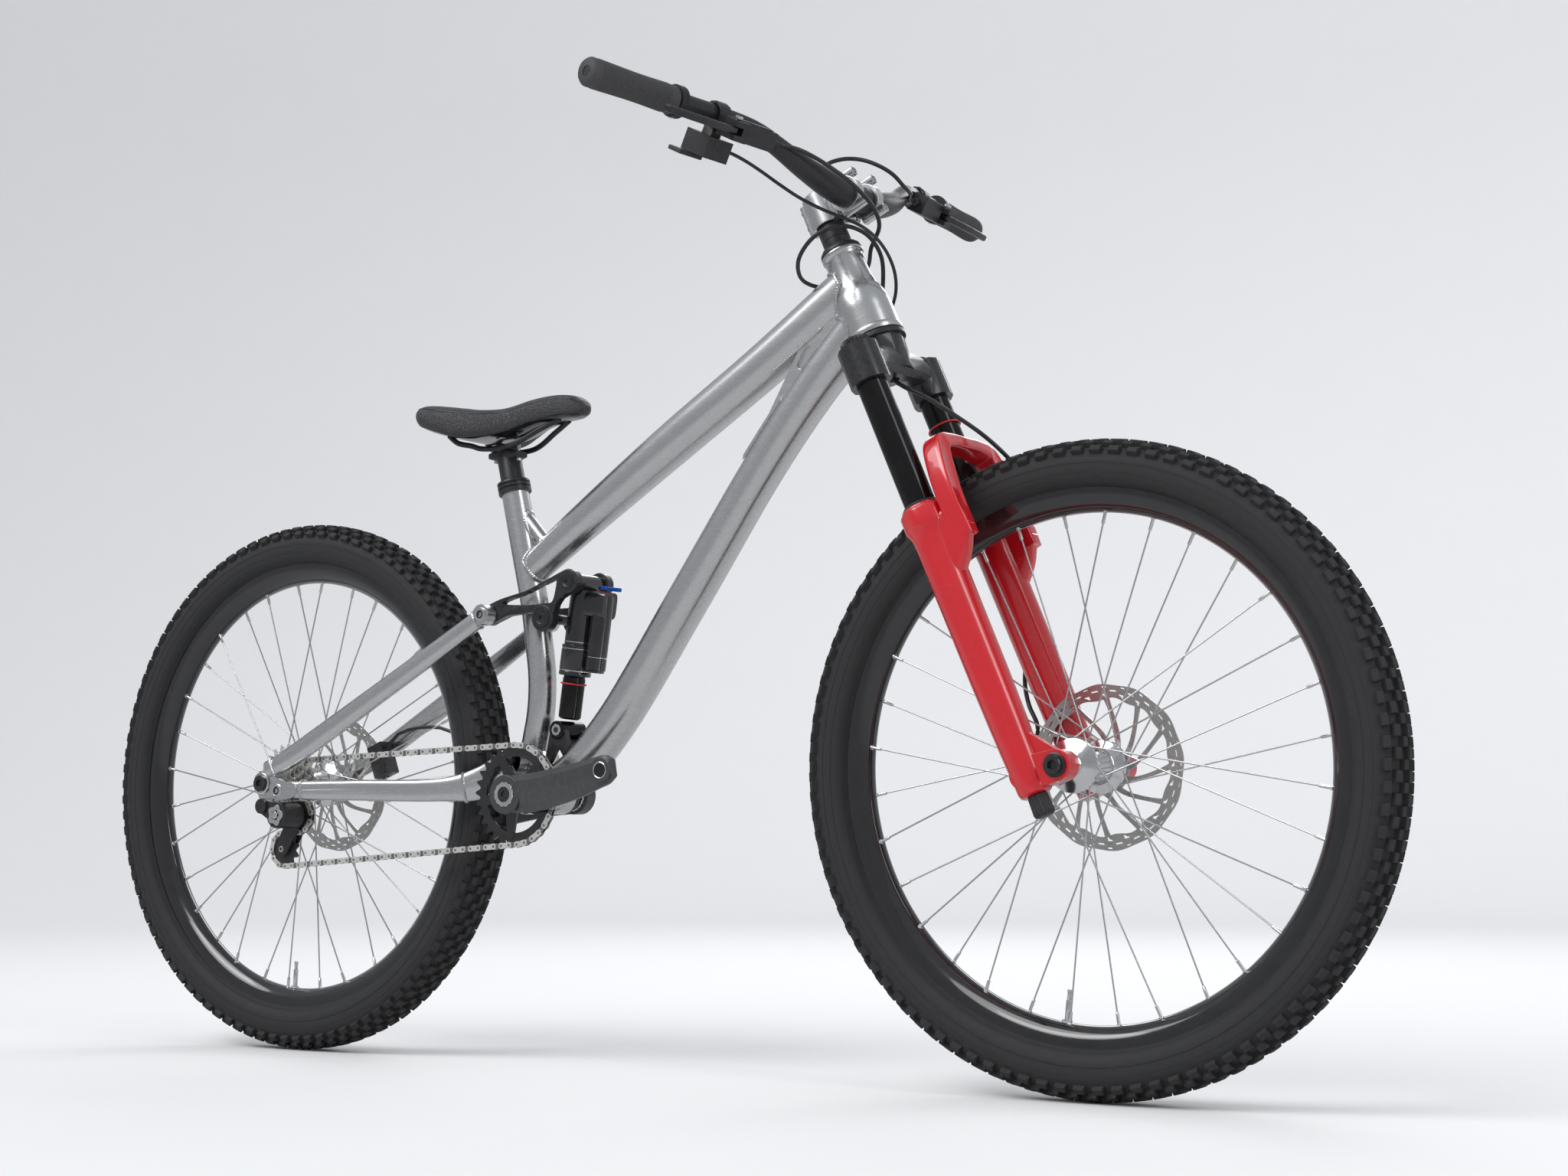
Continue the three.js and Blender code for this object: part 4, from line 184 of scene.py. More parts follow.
def curve(points, count, closed=False):
    """Centripetal Catmull-Rom curve: between two points it is the cubic whose slopes come from the square
    roots of the distances to their neighbours. count places are taken evenly in its parameter."""
    p = np.asarray(points, float)
    if closed:
        p = np.vstack((p[-1:], p, p[:2]))
    else:
        p = np.vstack((2 * p[:1] - p[1:2], p, 2 * p[-1:] - p[-2:-1]))
    spans = len(p) - 3
    t = np.linspace(0, spans, count, endpoint=not closed)
    i = np.minimum(t.astype(int), spans - 1)
    w = (t - i)[:, None]
    a, b, c, d = p[i], p[i + 1], p[i + 2], p[i + 3]
    gap = [np.maximum(np.linalg.norm(v, axis=1, keepdims=True) ** 0.5, 1e-4) for v in (b - a, c - b, d - c)]
    s1 = ((b - a) / gap[0] - (c - a) / (gap[0] + gap[1]) + (c - b) / gap[1]) * gap[1]
    s2 = ((c - b) / gap[1] - (d - b) / (gap[1] + gap[2]) + (d - c) / gap[2]) * gap[1]
    return b + s1 * w + (3 * (c - b) - 2 * s1 - s2) * w**2 + (2 * (b - c) + s1 + s2) * w**3


def even(points, step, closed=False):
    """The same line with its places spread evenly, about one step apart."""
    p = np.asarray(points, float)
    if closed:
        p = np.vstack((p, p[:1]))
    far = np.concatenate(([0], np.cumsum(np.linalg.norm(np.diff(p, axis=0), axis=1))))
    count = max(int(round(far[-1] / step)), 3)
    at = np.linspace(0, far[-1], count, endpoint=False) if closed else np.linspace(0, far[-1], count + 1)
    return np.stack([np.interp(at, far, p[:, k]) for k in range(p.shape[1])], 1)


# Surfaces. Each is (points, list of faces), and closed.
def grid_faces(rows, columns, wrap_rows=False, wrap_columns=True):
    """The four-sided faces of a grid of places that are numbered row after row."""
    i = np.arange(rows if wrap_rows else rows - 1)[:, None]
    j = np.arange(columns if wrap_columns else columns - 1)[None, :]
    i2, j2 = (i + 1) % rows, (j + 1) % columns
    return np.stack(np.broadcast_arrays(i * columns + j, i * columns + j2, i2 * columns + j2, i2 * columns + j),
        -1).reshape(-1, 4)


def outward(points, faces):
    """Turns the faces over if the volume that they close comes out negative."""
    corners = points[faces]
    total = 0.0
    for k in range(1, corners.shape[1] - 1):
        total += np.einsum("ij,ij->", corners[:, 0], np.cross(corners[:, k], corners[:, k + 1]))
    return faces if total > 0 else faces[:, ::-1]


def closed_grid(grid, wrap_rows=False):
    """A grid of places whose columns run round. Open ends are closed by a ring drawn in to its own middle."""
    if not wrap_rows:
        ends = [np.broadcast_to(grid[k].mean(0), grid[k].shape) for k in (0, -1)]
        grid = np.concatenate((ends[0][None], grid, ends[1][None]))
    points = grid.reshape(-1, 3)
    return [(points, outward(points, grid_faces(grid.shape[0], grid.shape[1], wrap_rows)))]


def tube_grid(path, high, wide, up=UP, sides=32, square=1.0):
    """A superellipse carried along a path: at angle a its place is the cosine of a, raised to 1 / square, times
    half the width, and the sine of a the same way times half the height."""
    path = np.asarray(path, float)
    ahead = unit(np.gradient(path, axis=0))
    up = np.broadcast_to(np.asarray(up, float), path.shape)
    side = unit(np.cross(ahead, up))
    up = np.cross(side, ahead)
    a = np.linspace(0, 2 * pi, sides, endpoint=False)
    c, s = (np.sign(f(a)) * np.abs(f(a)) ** (1 / square) for f in (np.cos, np.sin))
    high = np.broadcast_to(np.asarray(high, float), (len(path),))[:, None, None] / 2
    wide = np.broadcast_to(np.asarray(wide, float), (len(path),))[:, None, None] / 2
    return path[:, None] + side[:, None] * wide * c[None, :, None] + up[:, None] * high * s[None, :, None]


def tube(path, high, wide=None, up=UP, sides=32, square=1.0):
    """The superellipse tube, closed at both ends."""
    return closed_grid(tube_grid(path, high, high if wide is None else wide, up, sides, square))


def around(axis):
    """An axis made one long, and two directions square to it and to each other."""
    axis = unit(axis)
    first = unit(np.cross(axis, AHEAD if abs(axis[0]) < 0.8 else UP))
    return axis, first, np.cross(axis, first)


def lathe(profile, centre, axis=ACROSS, steps=64, ripple=None):
    """A profile of (radius, way along the axis) turned about the axis. ripple(angle, radius, way) is added to
    the radius. A profile that ends where it starts is a ring, and any other is closed on the axis."""
    profile = np.asarray(profile, float)
    ring = np.allclose(profile[0], profile[-1])
    if ring:
        profile = profile[:-1]
    axis, first, second = around(axis)
    a = np.linspace(0, 2 * pi, steps, endpoint=False)[None, :]
    r, along = profile[:, :1], profile[:, 1:]
    if ripple is not None:
        r = r + ripple(a, r, along)
    r = r[..., None]
    grid = (
        np.asarray(centre, float)
        + axis * (along + 0 * a)[..., None]
        + (first * np.cos(a)[..., None] + second * np.sin(a)[..., None]) * r
    )
    return closed_grid(grid, wrap_rows=ring)


def hoop(inner, outer, low, high, edge=0.0, rise=None):
    """The profile of a turned ring whose two outer edges are cut off: inwards by edge, and along by rise."""
    rise = (edge if rise is None else rise) * (1 if high > low else -1)
    corners = [(inner, low), (outer - edge, low), (outer, low + rise)]
    corners += [(outer, high - rise), (outer - edge, high), (inner, high), (inner, low)]
    return corners if edge else [corners[k] for k in (0, 2, 3, 5, 6)]


def bead_profile(radius, way, half):
    """The round section of a rubber ring of a mean radius."""
    return [(radius + half * cos(a), way + half * sin(a)) for a in np.linspace(0, 2 * pi, 13)]


def cylinder(a, b, radius, edge=0.6, steps=32):
    """A rod from a to b with its edges taken off."""
    a, b = np.asarray(a, float), np.asarray(b, float)
    far = np.linalg.norm(b - a)
    edge = min(edge, radius / 2, far / 3)
    half = [(0, 0), (radius - edge, 0), (radius - edge * 0.3, edge * 0.3), (radius, edge)]
    return lathe(half + [(r, far - z) for r, z in half[::-1]], a, b - a, steps)


def thick(sheet, keep, half, wrap_columns=True, y=0.0):
    """A flat grid of (x, z) places made a plate: kept cells give its two faces, and each edge between a kept
    cell and none gives a wall."""
    rows, columns = sheet.shape[:2]
    faces = grid_faces(rows, columns, False, wrap_columns)
    faces = faces[np.asarray(keep).reshape(-1)] if keep is not None else faces
    flat_points = sheet.reshape(-1, 2)
    count = len(flat_points)
    low = np.column_stack((flat_points[:, 0], np.full(count, y - half), flat_points[:, 1]))
    high = np.column_stack((flat_points[:, 0], np.full(count, y + half), flat_points[:, 1]))
    edges = np.concatenate([faces[:, (k, (k + 1) % 4)] for k in range(4)])
    code, back = edges[:, 0] * count + edges[:, 1], edges[:, 1] * count + edges[:, 0]
    rim = edges[~np.isin(code, back)]
    walls = np.column_stack((rim[:, 1], rim[:, 0], rim[:, 0] + count, rim[:, 1] + count))
    points = np.vstack((low, high))
    every = np.vstack((faces, faces[:, ::-1] + count, walls))
    return [(points, outward(points, every))]


def between_loops(outer, inner, rows=2):
    """The flat grid from one closed outline to another with as many places."""
    share = np.linspace(0, 1, rows)[:, None, None]
    return np.asarray(inner, float)[None] * (1 - share) + np.asarray(outer, float)[None] * share


def plate(outline, y0, y1, hole=None, rows=2):
    """A flat plate with an outline of (x, z) places. Without a hole it closes on its own middle."""
    outline = np.asarray(outline, float)
    inner = np.broadcast_to(outline.mean(0), outline.shape) if hole is None else np.asarray(hole, float)
    return thick(between_loops(outline, inner, rows), None, abs(y1 - y0) / 2, y=(y0 + y1) / 2)


def ring_of(centre, radius, count, start=0.0):
    """Places spread evenly on a circle."""
    a = start + np.linspace(0, 2 * pi, count, endpoint=False)
    return np.column_stack((centre[0] + radius * np.cos(a), centre[1] + radius * np.sin(a)))


def arc(centre, radius, start, end, steps):
    """Places on a circle from one angle to another."""
    a = np.linspace(start, end, steps + 1)
    return np.column_stack((centre[0] + radius * np.cos(a), centre[1] + radius * np.sin(a)))


def link_outline(a, b, radius_a, radius_b, steps=12):
    """Round two circles and along the lines that touch both."""
    way = atan2(b[1] - a[1], b[0] - a[0])
    lean = acos((radius_a - radius_b) / hypot(b[0] - a[0], b[1] - a[1]))
    return np.vstack((arc(a, radius_a, way + lean, way - lean + 2 * pi, steps),
        arc(b, radius_b, way - lean, way + lean, steps)))


def same_bearing(outline, centre, count):
    """An outline read again at even bearings from a centre inside it."""
    outline = np.asarray(outline, float)
    d = np.vstack((outline, outline[:1])) - centre
    a = np.unwrap(np.arctan2(d[:, 1], d[:, 0]))
    r = np.hypot(d[:, 0], d[:, 1])
    if a[-1] < a[0]:
        a, r = a[::-1], r[::-1]
    want = np.linspace(0, 2 * pi, count, endpoint=False)
    want = a[0] + np.mod(want - a[0], 2 * pi)
    far = np.interp(want, a, r)
    return np.column_stack((centre[0] + far * np.cos(want), centre[1] + far * np.sin(want)))


def moved(shape, matrix):
    """The shape with its places multiplied by a 4 by 4 matrix."""
    m = np.asarray(matrix, float)
    made = []
    for points, faces in shape:
        points = points @ m[:3, :3].T + m[:3, 3]
        made.append((points, faces if np.linalg.det(m[:3, :3]) > 0 else faces[:, ::-1]))
    return made


def repeated(shape, matrices):
    """Copies of one closed shape, one for each matrix, as a single array."""
    made = []
    stack = np.asarray(matrices, float)
    for points, faces in shape:
        all_points = np.einsum("kij,nj->kni", stack[:, :3, :3], points) + stack[:, None, :3, 3]
        shift = (np.arange(len(stack)) * len(points))[:, None, None]
        made.append((all_points.reshape(-1, 3), (faces[None] + shift).reshape(-1, faces.shape[1])))
    return made


def basis(origin, first, second, third):
    """The matrix whose columns are three directions and an origin."""
    m = np.eye(4)
    m[:3, 0], m[:3, 1], m[:3, 2], m[:3, 3] = first, second, third, origin
    return m


def bolt_head(centre, axis, radius, depth):
    """A cap screw: a turned head with a round socket sunk into its face."""
    profile = [(0, -depth), (radius - 0.4, -depth), (radius, -depth + 0.4), (radius, -0.5), (radius - 0.5, 0)]
    inner = radius * 0.52
    profile += [(inner + 0.2, 0), (inner, -0.2), (inner, -depth * 0.55), (0, -depth * 0.55)]
    return lathe(profile, centre, axis, 24)


def bolt_pair(place_at, out, radius, depth):
    """The same bolt on both sides of the bike, each at a distance out from a place in its plane."""
    sides = (bolt_head(place_at + ACROSS * side * out, ACROSS * side, radius, depth) for side in (1, -1))
    return sum(sides, [])


def weld_bead(loop, radius, pitch, closed=True):
    """A stacked weld: a round bead along the seam whose radius swells and drops once for each puddle."""
    line = even(loop, pitch / 6, closed)
    count = len(line)
    length = np.arange(count) * (pitch / 6)
    wave = np.mod(length / pitch, 1.0)
    r = radius * (0.72 + 0.34 * np.sqrt(np.clip(1 - (wave * 1.25 - 0.3) ** 2, 0, 1)))
    if closed:
        ahead = unit(np.roll(line, -1, 0) - np.roll(line, 1, 0))
    else:
        ahead = unit(np.gradient(line, axis=0))
        r = r * np.clip(np.minimum(length, length[::-1]) / (2 * pitch) + 0.25, 0, 1)
    out = unit(line - line.mean(0))
    first = unit(np.cross(ahead, out))
    second = np.cross(first, ahead)
    a = np.linspace(0, 2 * pi, 8, endpoint=False)
    ring = first[:, None] * np.cos(a)[None, :, None] + second[:, None] * np.sin(a)[None, :, None]
    return closed_grid(line[:, None] + ring * r[:, None, None], wrap_rows=closed)


def outside_of(path, radius):
    """How far a place is outside a round tube: its distance to the tube's line, less the radius there."""
    path = np.asarray(path, float)
    radius = np.broadcast_to(np.asarray(radius, float), (len(path),))

    def far(points):
        shape = points.shape[:-1]
        d = np.linalg.norm(points.reshape(-1, 1, 3) - path[None], axis=2) - radius[None]
        return d.min(1).reshape(shape)

    return far


def seam(grid, far, from_end=False):
    """Where the lines along a tube's surface cross another tube's surface, one place for each line."""
    if from_end:
        grid = grid[::-1]
    f = far(grid)
    inside = f < 0
    first = np.argmax(~inside, axis=0)
    first = np.clip(first, 1, len(grid) - 1)
    k = np.arange(grid.shape[1])
    f0, f1 = f[first - 1, k], f[first, k]
    w = np.clip(f0 / np.where(np.abs(f0 - f1) < 1e-9, 1e-9, f0 - f1), 0, 1)[:, None]
    return grid[first - 1, k] * (1 - w) + grid[first, k] * w


# Objects.
def piece(name, shape, material, body, replaces=None, bevel=0.0, sharp=38):
    """Puts a shape in the scene, closes its doubled places, and lets it ride on a body of the frame."""
    points, faces, start = [], [], 0
    for p, f in shape:
        points.append(p)
        faces.extend((f + start).tolist())
        start += len(p)
    mesh = bpy.data.meshes.new(name)
    mesh.from_pydata(to_scene(np.vstack(points)).tolist(), [], faces)
    work = bmesh.new()
    work.from_mesh(mesh)
    bmesh.ops.remove_doubles(work, verts=work.verts, dist=2 * MICRON)
    bmesh.ops.dissolve_degenerate(work, edges=work.edges, dist=0.1 * MICRON)
    work.to_mesh(mesh)
    work.free()
    return finish_object(name, mesh, material, body, replaces, bevel, sharp)


def finish_object(name, mesh, material, body, replaces, bevel, sharp):
    """Gives a mesh its smooth faces, finish and bevel, and says which body it rides on and which node of the
    frame it replaces. Edges sharper than an angle stay sharp and take the bevel."""
    mesh.validate()
    mesh.shade_smooth()
    mesh.set_sharp_from_angle(angle=radians(sharp))
    made = bpy.data.objects.new(name.replace(" ", "_"), mesh)
    bpy.context.scene.collection.objects.link(made)
    mesh.materials.append(MATERIALS[material])
    if bevel:
        cut = made.modifiers.new("Edges", "BEVEL")
        cut.width = bevel * MM
        cut.segments = 2
        cut.limit_method = "ANGLE"
        cut.angle_limit = radians(sharp)
        cut.use_clamp_overlap = True
        cut.harden_normals = True
    if body:
        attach(made, body)
    if replaces:
        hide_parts(replaces)
    return made


def softened(node, name, material, body, bevel):
    """A merged copy of a node's solid with its flat faces whole again and its edges taken off."""
    mesh = SCENE_NODES[node].data.copy()
    mesh.materials.clear()
    work = bmesh.new()
    work.from_mesh(mesh)
    bmesh.ops.remove_doubles(work, verts=work.verts, dist=5 * MICRON)
    bmesh.ops.dissolve_limit(work, angle_limit=FLAT_ANGLE, verts=work.verts, edges=work.edges)
    work.to_mesh(mesh)
    work.free()
    return finish_object(name, mesh, material, body, node, bevel, 34)


MATERIALS = {}


# Finishes.
def new_group(name, inputs, outputs):
    """An empty node group with its named inputs and outputs."""
    group = bpy.data.node_groups.new(name, "ShaderNodeTree")
    for label, kind, value in inputs:
        socket = group.interface.new_socket(label, in_out="INPUT", socket_type=kind)
        if value is not None:
            socket.default_value = value
    for label, kind in outputs:
        group.interface.new_socket(label, in_out="OUTPUT", socket_type=kind)
    return group, group.nodes.new("NodeGroupInput"), group.nodes.new("NodeGroupOutput")


def grain_group():
    """Stretched noise, read between two values as a mask."""
    group, into, out = new_group(
        "Grain",
        [("Vector", "NodeSocketVector", None), ("Stretch", "NodeSocketVector", (1, 1, 1)),
        ("Scale", "NodeSocketFloat", 100.0), ("Low", "NodeSocketFloat", 0.35),
        ("High", "NodeSocketFloat", 0.65)],
        [("Mask", "NodeSocketFloat")],
    )
    nodes, link = group.nodes, group.links.new
    stretch = nodes.new("ShaderNodeVectorMath")
    stretch.operation = "MULTIPLY"
    noise = nodes.new("ShaderNodeTexNoise")
    noise.inputs["Detail"].default_value = 5
    span = nodes.new("ShaderNodeMapRange")
    link(into.outputs["Vector"], stretch.inputs[0])
    link(into.outputs["Stretch"], stretch.inputs[1])
    link(stretch.outputs[0], noise.inputs["Vector"])
    link(into.outputs["Scale"], noise.inputs["Scale"])
    link(noise.outputs["Fac"], span.inputs["Value"])
    link(into.outputs["Low"], span.inputs["From Min"])
    link(into.outputs["High"], span.inputs["From Max"])
    link(span.outputs["Result"], out.inputs["Mask"])
    return group


def scuff_group():
    """Sparse specks: fine noise over a threshold, where broad noise is high."""
    group, into, out = new_group(
        "Scuffs", [("Vector", "NodeSocketVector", None), ("Amount", "NodeSocketFloat", 0.2)],
        [("Mask", "NodeSocketFloat")]
    )
    nodes, link = group.nodes, group.links.new
    fine = nodes.new("ShaderNodeTexNoise")
    fine.inputs["Scale"].default_value = 420
    fine.inputs["Detail"].default_value = 3
    broad = nodes.new("ShaderNodeTexNoise")
    broad.inputs["Scale"].default_value = 16
    over = nodes.new("ShaderNodeMapRange")
    over.inputs["From Min"].default_value = 0.6
    over.inputs["From Max"].default_value = 0.72
    where = nodes.new("ShaderNodeMapRange")
    where.inputs["From Min"].default_value = 0.45
    where.inputs["From Max"].default_value = 0.7
    both = nodes.new("ShaderNodeMath")
    both.operation = "MULTIPLY"
    much = nodes.new("ShaderNodeMath")
    much.operation = "MULTIPLY"
    for texture, span in ((fine, over), (broad, where)):
        link(into.outputs["Vector"], texture.inputs["Vector"])
        link(texture.outputs["Fac"], span.inputs["Value"])
    link(over.outputs["Result"], both.inputs[0])
    link(where.outputs["Result"], both.inputs[1])
    link(both.outputs[0], much.inputs[0])
    link(into.outputs["Amount"], much.inputs[1])
    link(much.outputs[0], out.inputs["Mask"])
    return group


def pebble_group():
    """Leather-like cells: the distance to the edge between two cells."""
    group, into, out = new_group(
        "Pebble", [("Vector", "NodeSocketVector", None), ("Scale", "NodeSocketFloat", 600.0)],
        [("Height", "NodeSocketFloat")]
    )
    nodes, link = group.nodes, group.links.new
    cells = nodes.new("ShaderNodeTexVoronoi")
    cells.feature = "DISTANCE_TO_EDGE"
    span = nodes.new("ShaderNodeMapRange")
    span.inputs["From Max"].default_value = 0.25
    link(into.outputs["Vector"], cells.inputs["Vector"])
    link(into.outputs["Scale"], cells.inputs["Scale"])
    link(cells.outputs["Distance"], span.inputs["Value"])
    link(span.outputs["Result"], out.inputs["Height"])
    return group


def finish(groups, name, colour, second, rough, metal=0.0, grain=90.0, stretch=(1, 1, 1), bump=0.08, coat=0.0,
        scuffs=0.15, pebble=0.0, scuff_colour=None):
    """One finish: two near colours and two roughnesses mixed by grain, light scuffs, and a fine bump."""
    made = bpy.data.materials.new(name)
    made.use_nodes = True
    nodes, link = made.node_tree.nodes, made.node_tree.links.new
    shader = nodes["Principled BSDF"]
    shader.inputs["Metallic"].default_value = metal
    shader.inputs["Coat Weight"].default_value = coat
    shader.inputs["Coat Roughness"].default_value = 0.04
    place = nodes.new("ShaderNodeTexCoord")
    mask = nodes.new("ShaderNodeGroup")
    mask.node_tree = groups["grain"]
    mask.inputs["Stretch"].default_value = stretch
    mask.inputs["Scale"].default_value = grain
    link(place.outputs["Object"], mask.inputs["Vector"])
    tint = nodes.new("ShaderNodeMix")
    tint.data_type = "RGBA"
    tint.inputs["A"].default_value = (*colour, 1)
    tint.inputs["B"].default_value = (*second, 1)
    link(mask.outputs["Mask"], tint.inputs["Factor"])
    worn = nodes.new("ShaderNodeGroup")
    worn.node_tree = groups["scuffs"]
    worn.inputs["Amount"].default_value = scuffs
    link(place.outputs["Object"], worn.inputs["Vector"])
    over = nodes.new("ShaderNodeMix")
    over.data_type = "RGBA"
    over.inputs["B"].default_value = (*(scuff_colour or (0.3, 0.3, 0.3)), 1)
    link(worn.outputs["Mask"], over.inputs["Factor"])
    link(tint.outputs["Result"], over.inputs["A"])
    link(over.outputs["Result"], shader.inputs["Base Color"])
    gloss = nodes.new("ShaderNodeMapRange")
    gloss.inputs["To Min"].default_value, gloss.inputs["To Max"].default_value = rough
    link(mask.outputs["Mask"], gloss.inputs["Value"])
    link(gloss.outputs["Result"], shader.inputs["Roughness"])
    if not bump:
        return made
    raised = nodes.new("ShaderNodeBump")
    raised.inputs["Strength"].default_value = bump
    raised.inputs["Distance"].default_value = 0.0004
    if pebble:
        cells = nodes.new("ShaderNodeGroup")
        cells.node_tree = groups["pebble"]
        cells.inputs["Scale"].default_value = pebble
        link(place.outputs["Object"], cells.inputs["Vector"])
        link(cells.outputs["Height"], raised.inputs["Height"])
    else:
        link(mask.outputs["Mask"], raised.inputs["Height"])
    link(raised.outputs["Normal"], shader.inputs["Normal"])
    return made


def make_finishes(look):
    """Makes every finish of the table from one graph, each with its own values."""
    groups = {"grain": grain_group(), "scuffs": scuff_group(), "pebble": pebble_group()}
    frame_colour, fork_colour, tyre_colour, saddle_colour = (tuple(c)
        for c in (look.frame_colour, look.fork_colour, look.tyre_colour, look.saddle_colour))

    def shade(colour, share):
        return tuple(min(c * share, 1) for c in colour)

    brushed = (0.35, 3.0, 3.0)
    table = {
        "frame_metal": dict(colour=frame_colour, second=shade(frame_colour, 0.965), rough=(0.25, 0.29), metal=1,
            grain=70, stretch=brushed, bump=0, scuffs=0.01),
        "weld_metal": dict(colour=shade(frame_colour, 0.94), second=shade(frame_colour, 0.84),
            rough=(0.24, 0.3), metal=1, grain=200, bump=0, scuffs=0.01),
        "satin_silver": dict(colour=(0.68, 0.69, 0.7), second=(0.63, 0.64, 0.65), rough=(0.24, 0.3), metal=1,
            grain=90, bump=0, scuffs=0.01),
        "fork_red": dict(colour=fork_colour, second=shade(fork_colour, 0.95), rough=(0.24, 0.28), grain=30,
            bump=0, coat=1.0, scuffs=0.02, scuff_colour=(0.8, 0.5, 0.5)),
        "forged_black": dict(colour=(0.014, 0.014, 0.015), second=(0.02, 0.02, 0.022), rough=(0.26, 0.34),
            grain=180, coat=0.35, bump=0.03),
        "satin_black": dict(colour=(0.015, 0.015, 0.016), second=(0.022, 0.022, 0.024), rough=(0.34, 0.42),
            grain=240, bump=0.03),
        "gloss_black": dict(colour=(0.008, 0.008, 0.009), second=(0.012, 0.012, 0.013), rough=(0.12, 0.18),
            grain=60, bump=0, coat=0.9, scuffs=0.02),
        "stanchion": dict(colour=(0.018, 0.017, 0.018), second=(0.024, 0.023, 0.024), rough=(0.1, 0.14),
            metal=0.7, grain=400, stretch=(1, 1, 0.2), bump=0, scuffs=0.01),
        "dark_alloy": dict(colour=(0.055, 0.056, 0.06), second=(0.044, 0.045, 0.048), rough=(0.28, 0.36),
            metal=0.75, grain=160, stretch=brushed, bump=0.02, scuffs=0.05),
        "crank_grey": dict(colour=(0.11, 0.112, 0.116), second=(0.09, 0.092, 0.095), rough=(0.32, 0.38),
            metal=0.7, grain=160, bump=0.02, scuffs=0.05),
        "polished": dict(colour=(0.8, 0.8, 0.81), second=(0.74, 0.74, 0.75), rough=(0.12, 0.18), metal=1,
            grain=120, bump=0, scuffs=0.02),
        "spoke_steel": dict(colour=(0.68, 0.69, 0.7), second=(0.6, 0.61, 0.62), rough=(0.18, 0.26), metal=1,
            grain=300, bump=0.01),
        "rotor_steel": dict(colour=(0.62, 0.61, 0.59), second=(0.52, 0.515, 0.5), rough=(0.24, 0.32), metal=1,
            grain=900, bump=0.03),
        "chain_steel": dict(colour=(0.9, 0.89, 0.86), second=(0.78, 0.77, 0.74), rough=(0.2, 0.3), metal=0.75,
            grain=260, bump=0),
        "chain_dark": dict(colour=(0.4, 0.39, 0.37), second=(0.26, 0.255, 0.245), rough=(0.24, 0.36), metal=1,
            grain=260, bump=0),
        "tyre": dict(colour=tyre_colour, second=shade(tyre_colour, 1.5), rough=(0.66, 0.82), grain=140,
            bump=0.2, scuffs=0.1, scuff_colour=(0.1, 0.096, 0.09)),
        "grip": dict(colour=(0.04, 0.04, 0.041), second=(0.055, 0.055, 0.056), rough=(0.55, 0.7), grain=500,
            bump=0.2),
        "hose": dict(colour=(0.013, 0.013, 0.014), second=(0.022, 0.022, 0.023), rough=(0.3, 0.4), grain=300,
            bump=0.03),
        "plastic": dict(colour=(0.02, 0.02, 0.021), second=(0.03, 0.03, 0.031), rough=(0.4, 0.52), grain=400,
            bump=0.08),
        "saddle": dict(colour=saddle_colour, second=shade(saddle_colour, 1.5), rough=(0.36, 0.5), grain=300,
            bump=0.9, pebble=380, scuffs=0.04),
        "shell": dict(colour=(0.008, 0.008, 0.009), second=(0.012, 0.012, 0.013), rough=(0.12, 0.18), grain=120,
            bump=0.02, coat=0.6),
        "blue_metal": dict(colour=(0.02, 0.12, 0.5), second=(0.015, 0.09, 0.4), rough=(0.22, 0.3), metal=0.8,
            grain=160, bump=0.01),
        "red_metal": dict(colour=(0.5, 0.015, 0.02), second=(0.42, 0.01, 0.015), rough=(0.24, 0.3), metal=0.7,
            grain=160, bump=0.01),
        "red_rubber": dict(colour=(0.5, 0.02, 0.02), second=(0.42, 0.015, 0.015), rough=(0.4, 0.5), grain=300),
        # Painted shade: a near-black finish for the dots and discs that stand where holes would show only
        # shade.
        "painted_hole_shade": dict(colour=(0.003, 0.003, 0.003), second=(0.005, 0.005, 0.005), rough=(0.6, 0.8),
            grain=200),
    }
    for name, values in table.items():
        MATERIALS[name] = finish(groups, name, **values)


# Tube lines.
def ease(values, count):
    """Uniform Catmull-Rom reading of a list of numbers."""
    v = np.asarray(values, float)
    v = np.concatenate(([2 * v[0] - v[1]], v, [2 * v[-1] - v[-2]]))
    t = np.linspace(0, len(v) - 3, count)
    i = np.minimum(t.astype(int), len(v) - 4)
    w = t - i
    a, b, c, d = v[i], v[i + 1], v[i + 2], v[i + 3]
    return b + 0.5 * w * (c - a + w * (2 * a - 5 * b + 4 * c - d + w * (3 * (b - c) + d - a)))


def through(rows, count=56):
    """A tube's line and sizes from rows of (place, height, width)."""
    path = curve([r[0] for r in rows], count)
    return path, ease([r[1] for r in rows], count), ease([r[2] for r in rows], count)


def along_line(a, b, rows, height, width):
    """Rows of a tube from shares along the line from a to b and off it, and a share of its size."""
    return [(flat(beside(a, b, along, off), y), size * height, size * width) for along, off, y, size in rows]


SEAT_NODE = plane(seat(108))
HEAD_UPPER = plane(head(16, 0))
HEAD_LOWER = plane(head(-30, 0))


def top_tube_rows():
    """The top tube, a little slimmer at the seat tube and wider at the head tube."""
    rows = [(0.02, 0, 0, 0.77), (0.14, 0.004, 0, 0.86), (0.45, 0.004, 0, 1), (0.75, -0.002, 0, 1.03),
        (0.99, 0, 0, 1.08)]
    return along_line(SEAT_NODE, HEAD_UPPER, rows, 52, 52 * 0.88)


def down_tube_rows():
    """The down tube, which sags near the bottom bracket and comes back to the line."""
    rows = [(0, -0.002, 0, 0.94), (0.09, -0.03, 0, 1), (0.195, -0.038, 0, 1), (0.45, -0.018, 0, 1),
        (0.7, 0.004, 0, 0.98), (0.86, 0.008, 0, 1.02), (0.99, 0, 0, 1.12)]
    return along_line(BOTTOM_BRACKET, HEAD_LOWER, rows, 49, 49 * 1.04)


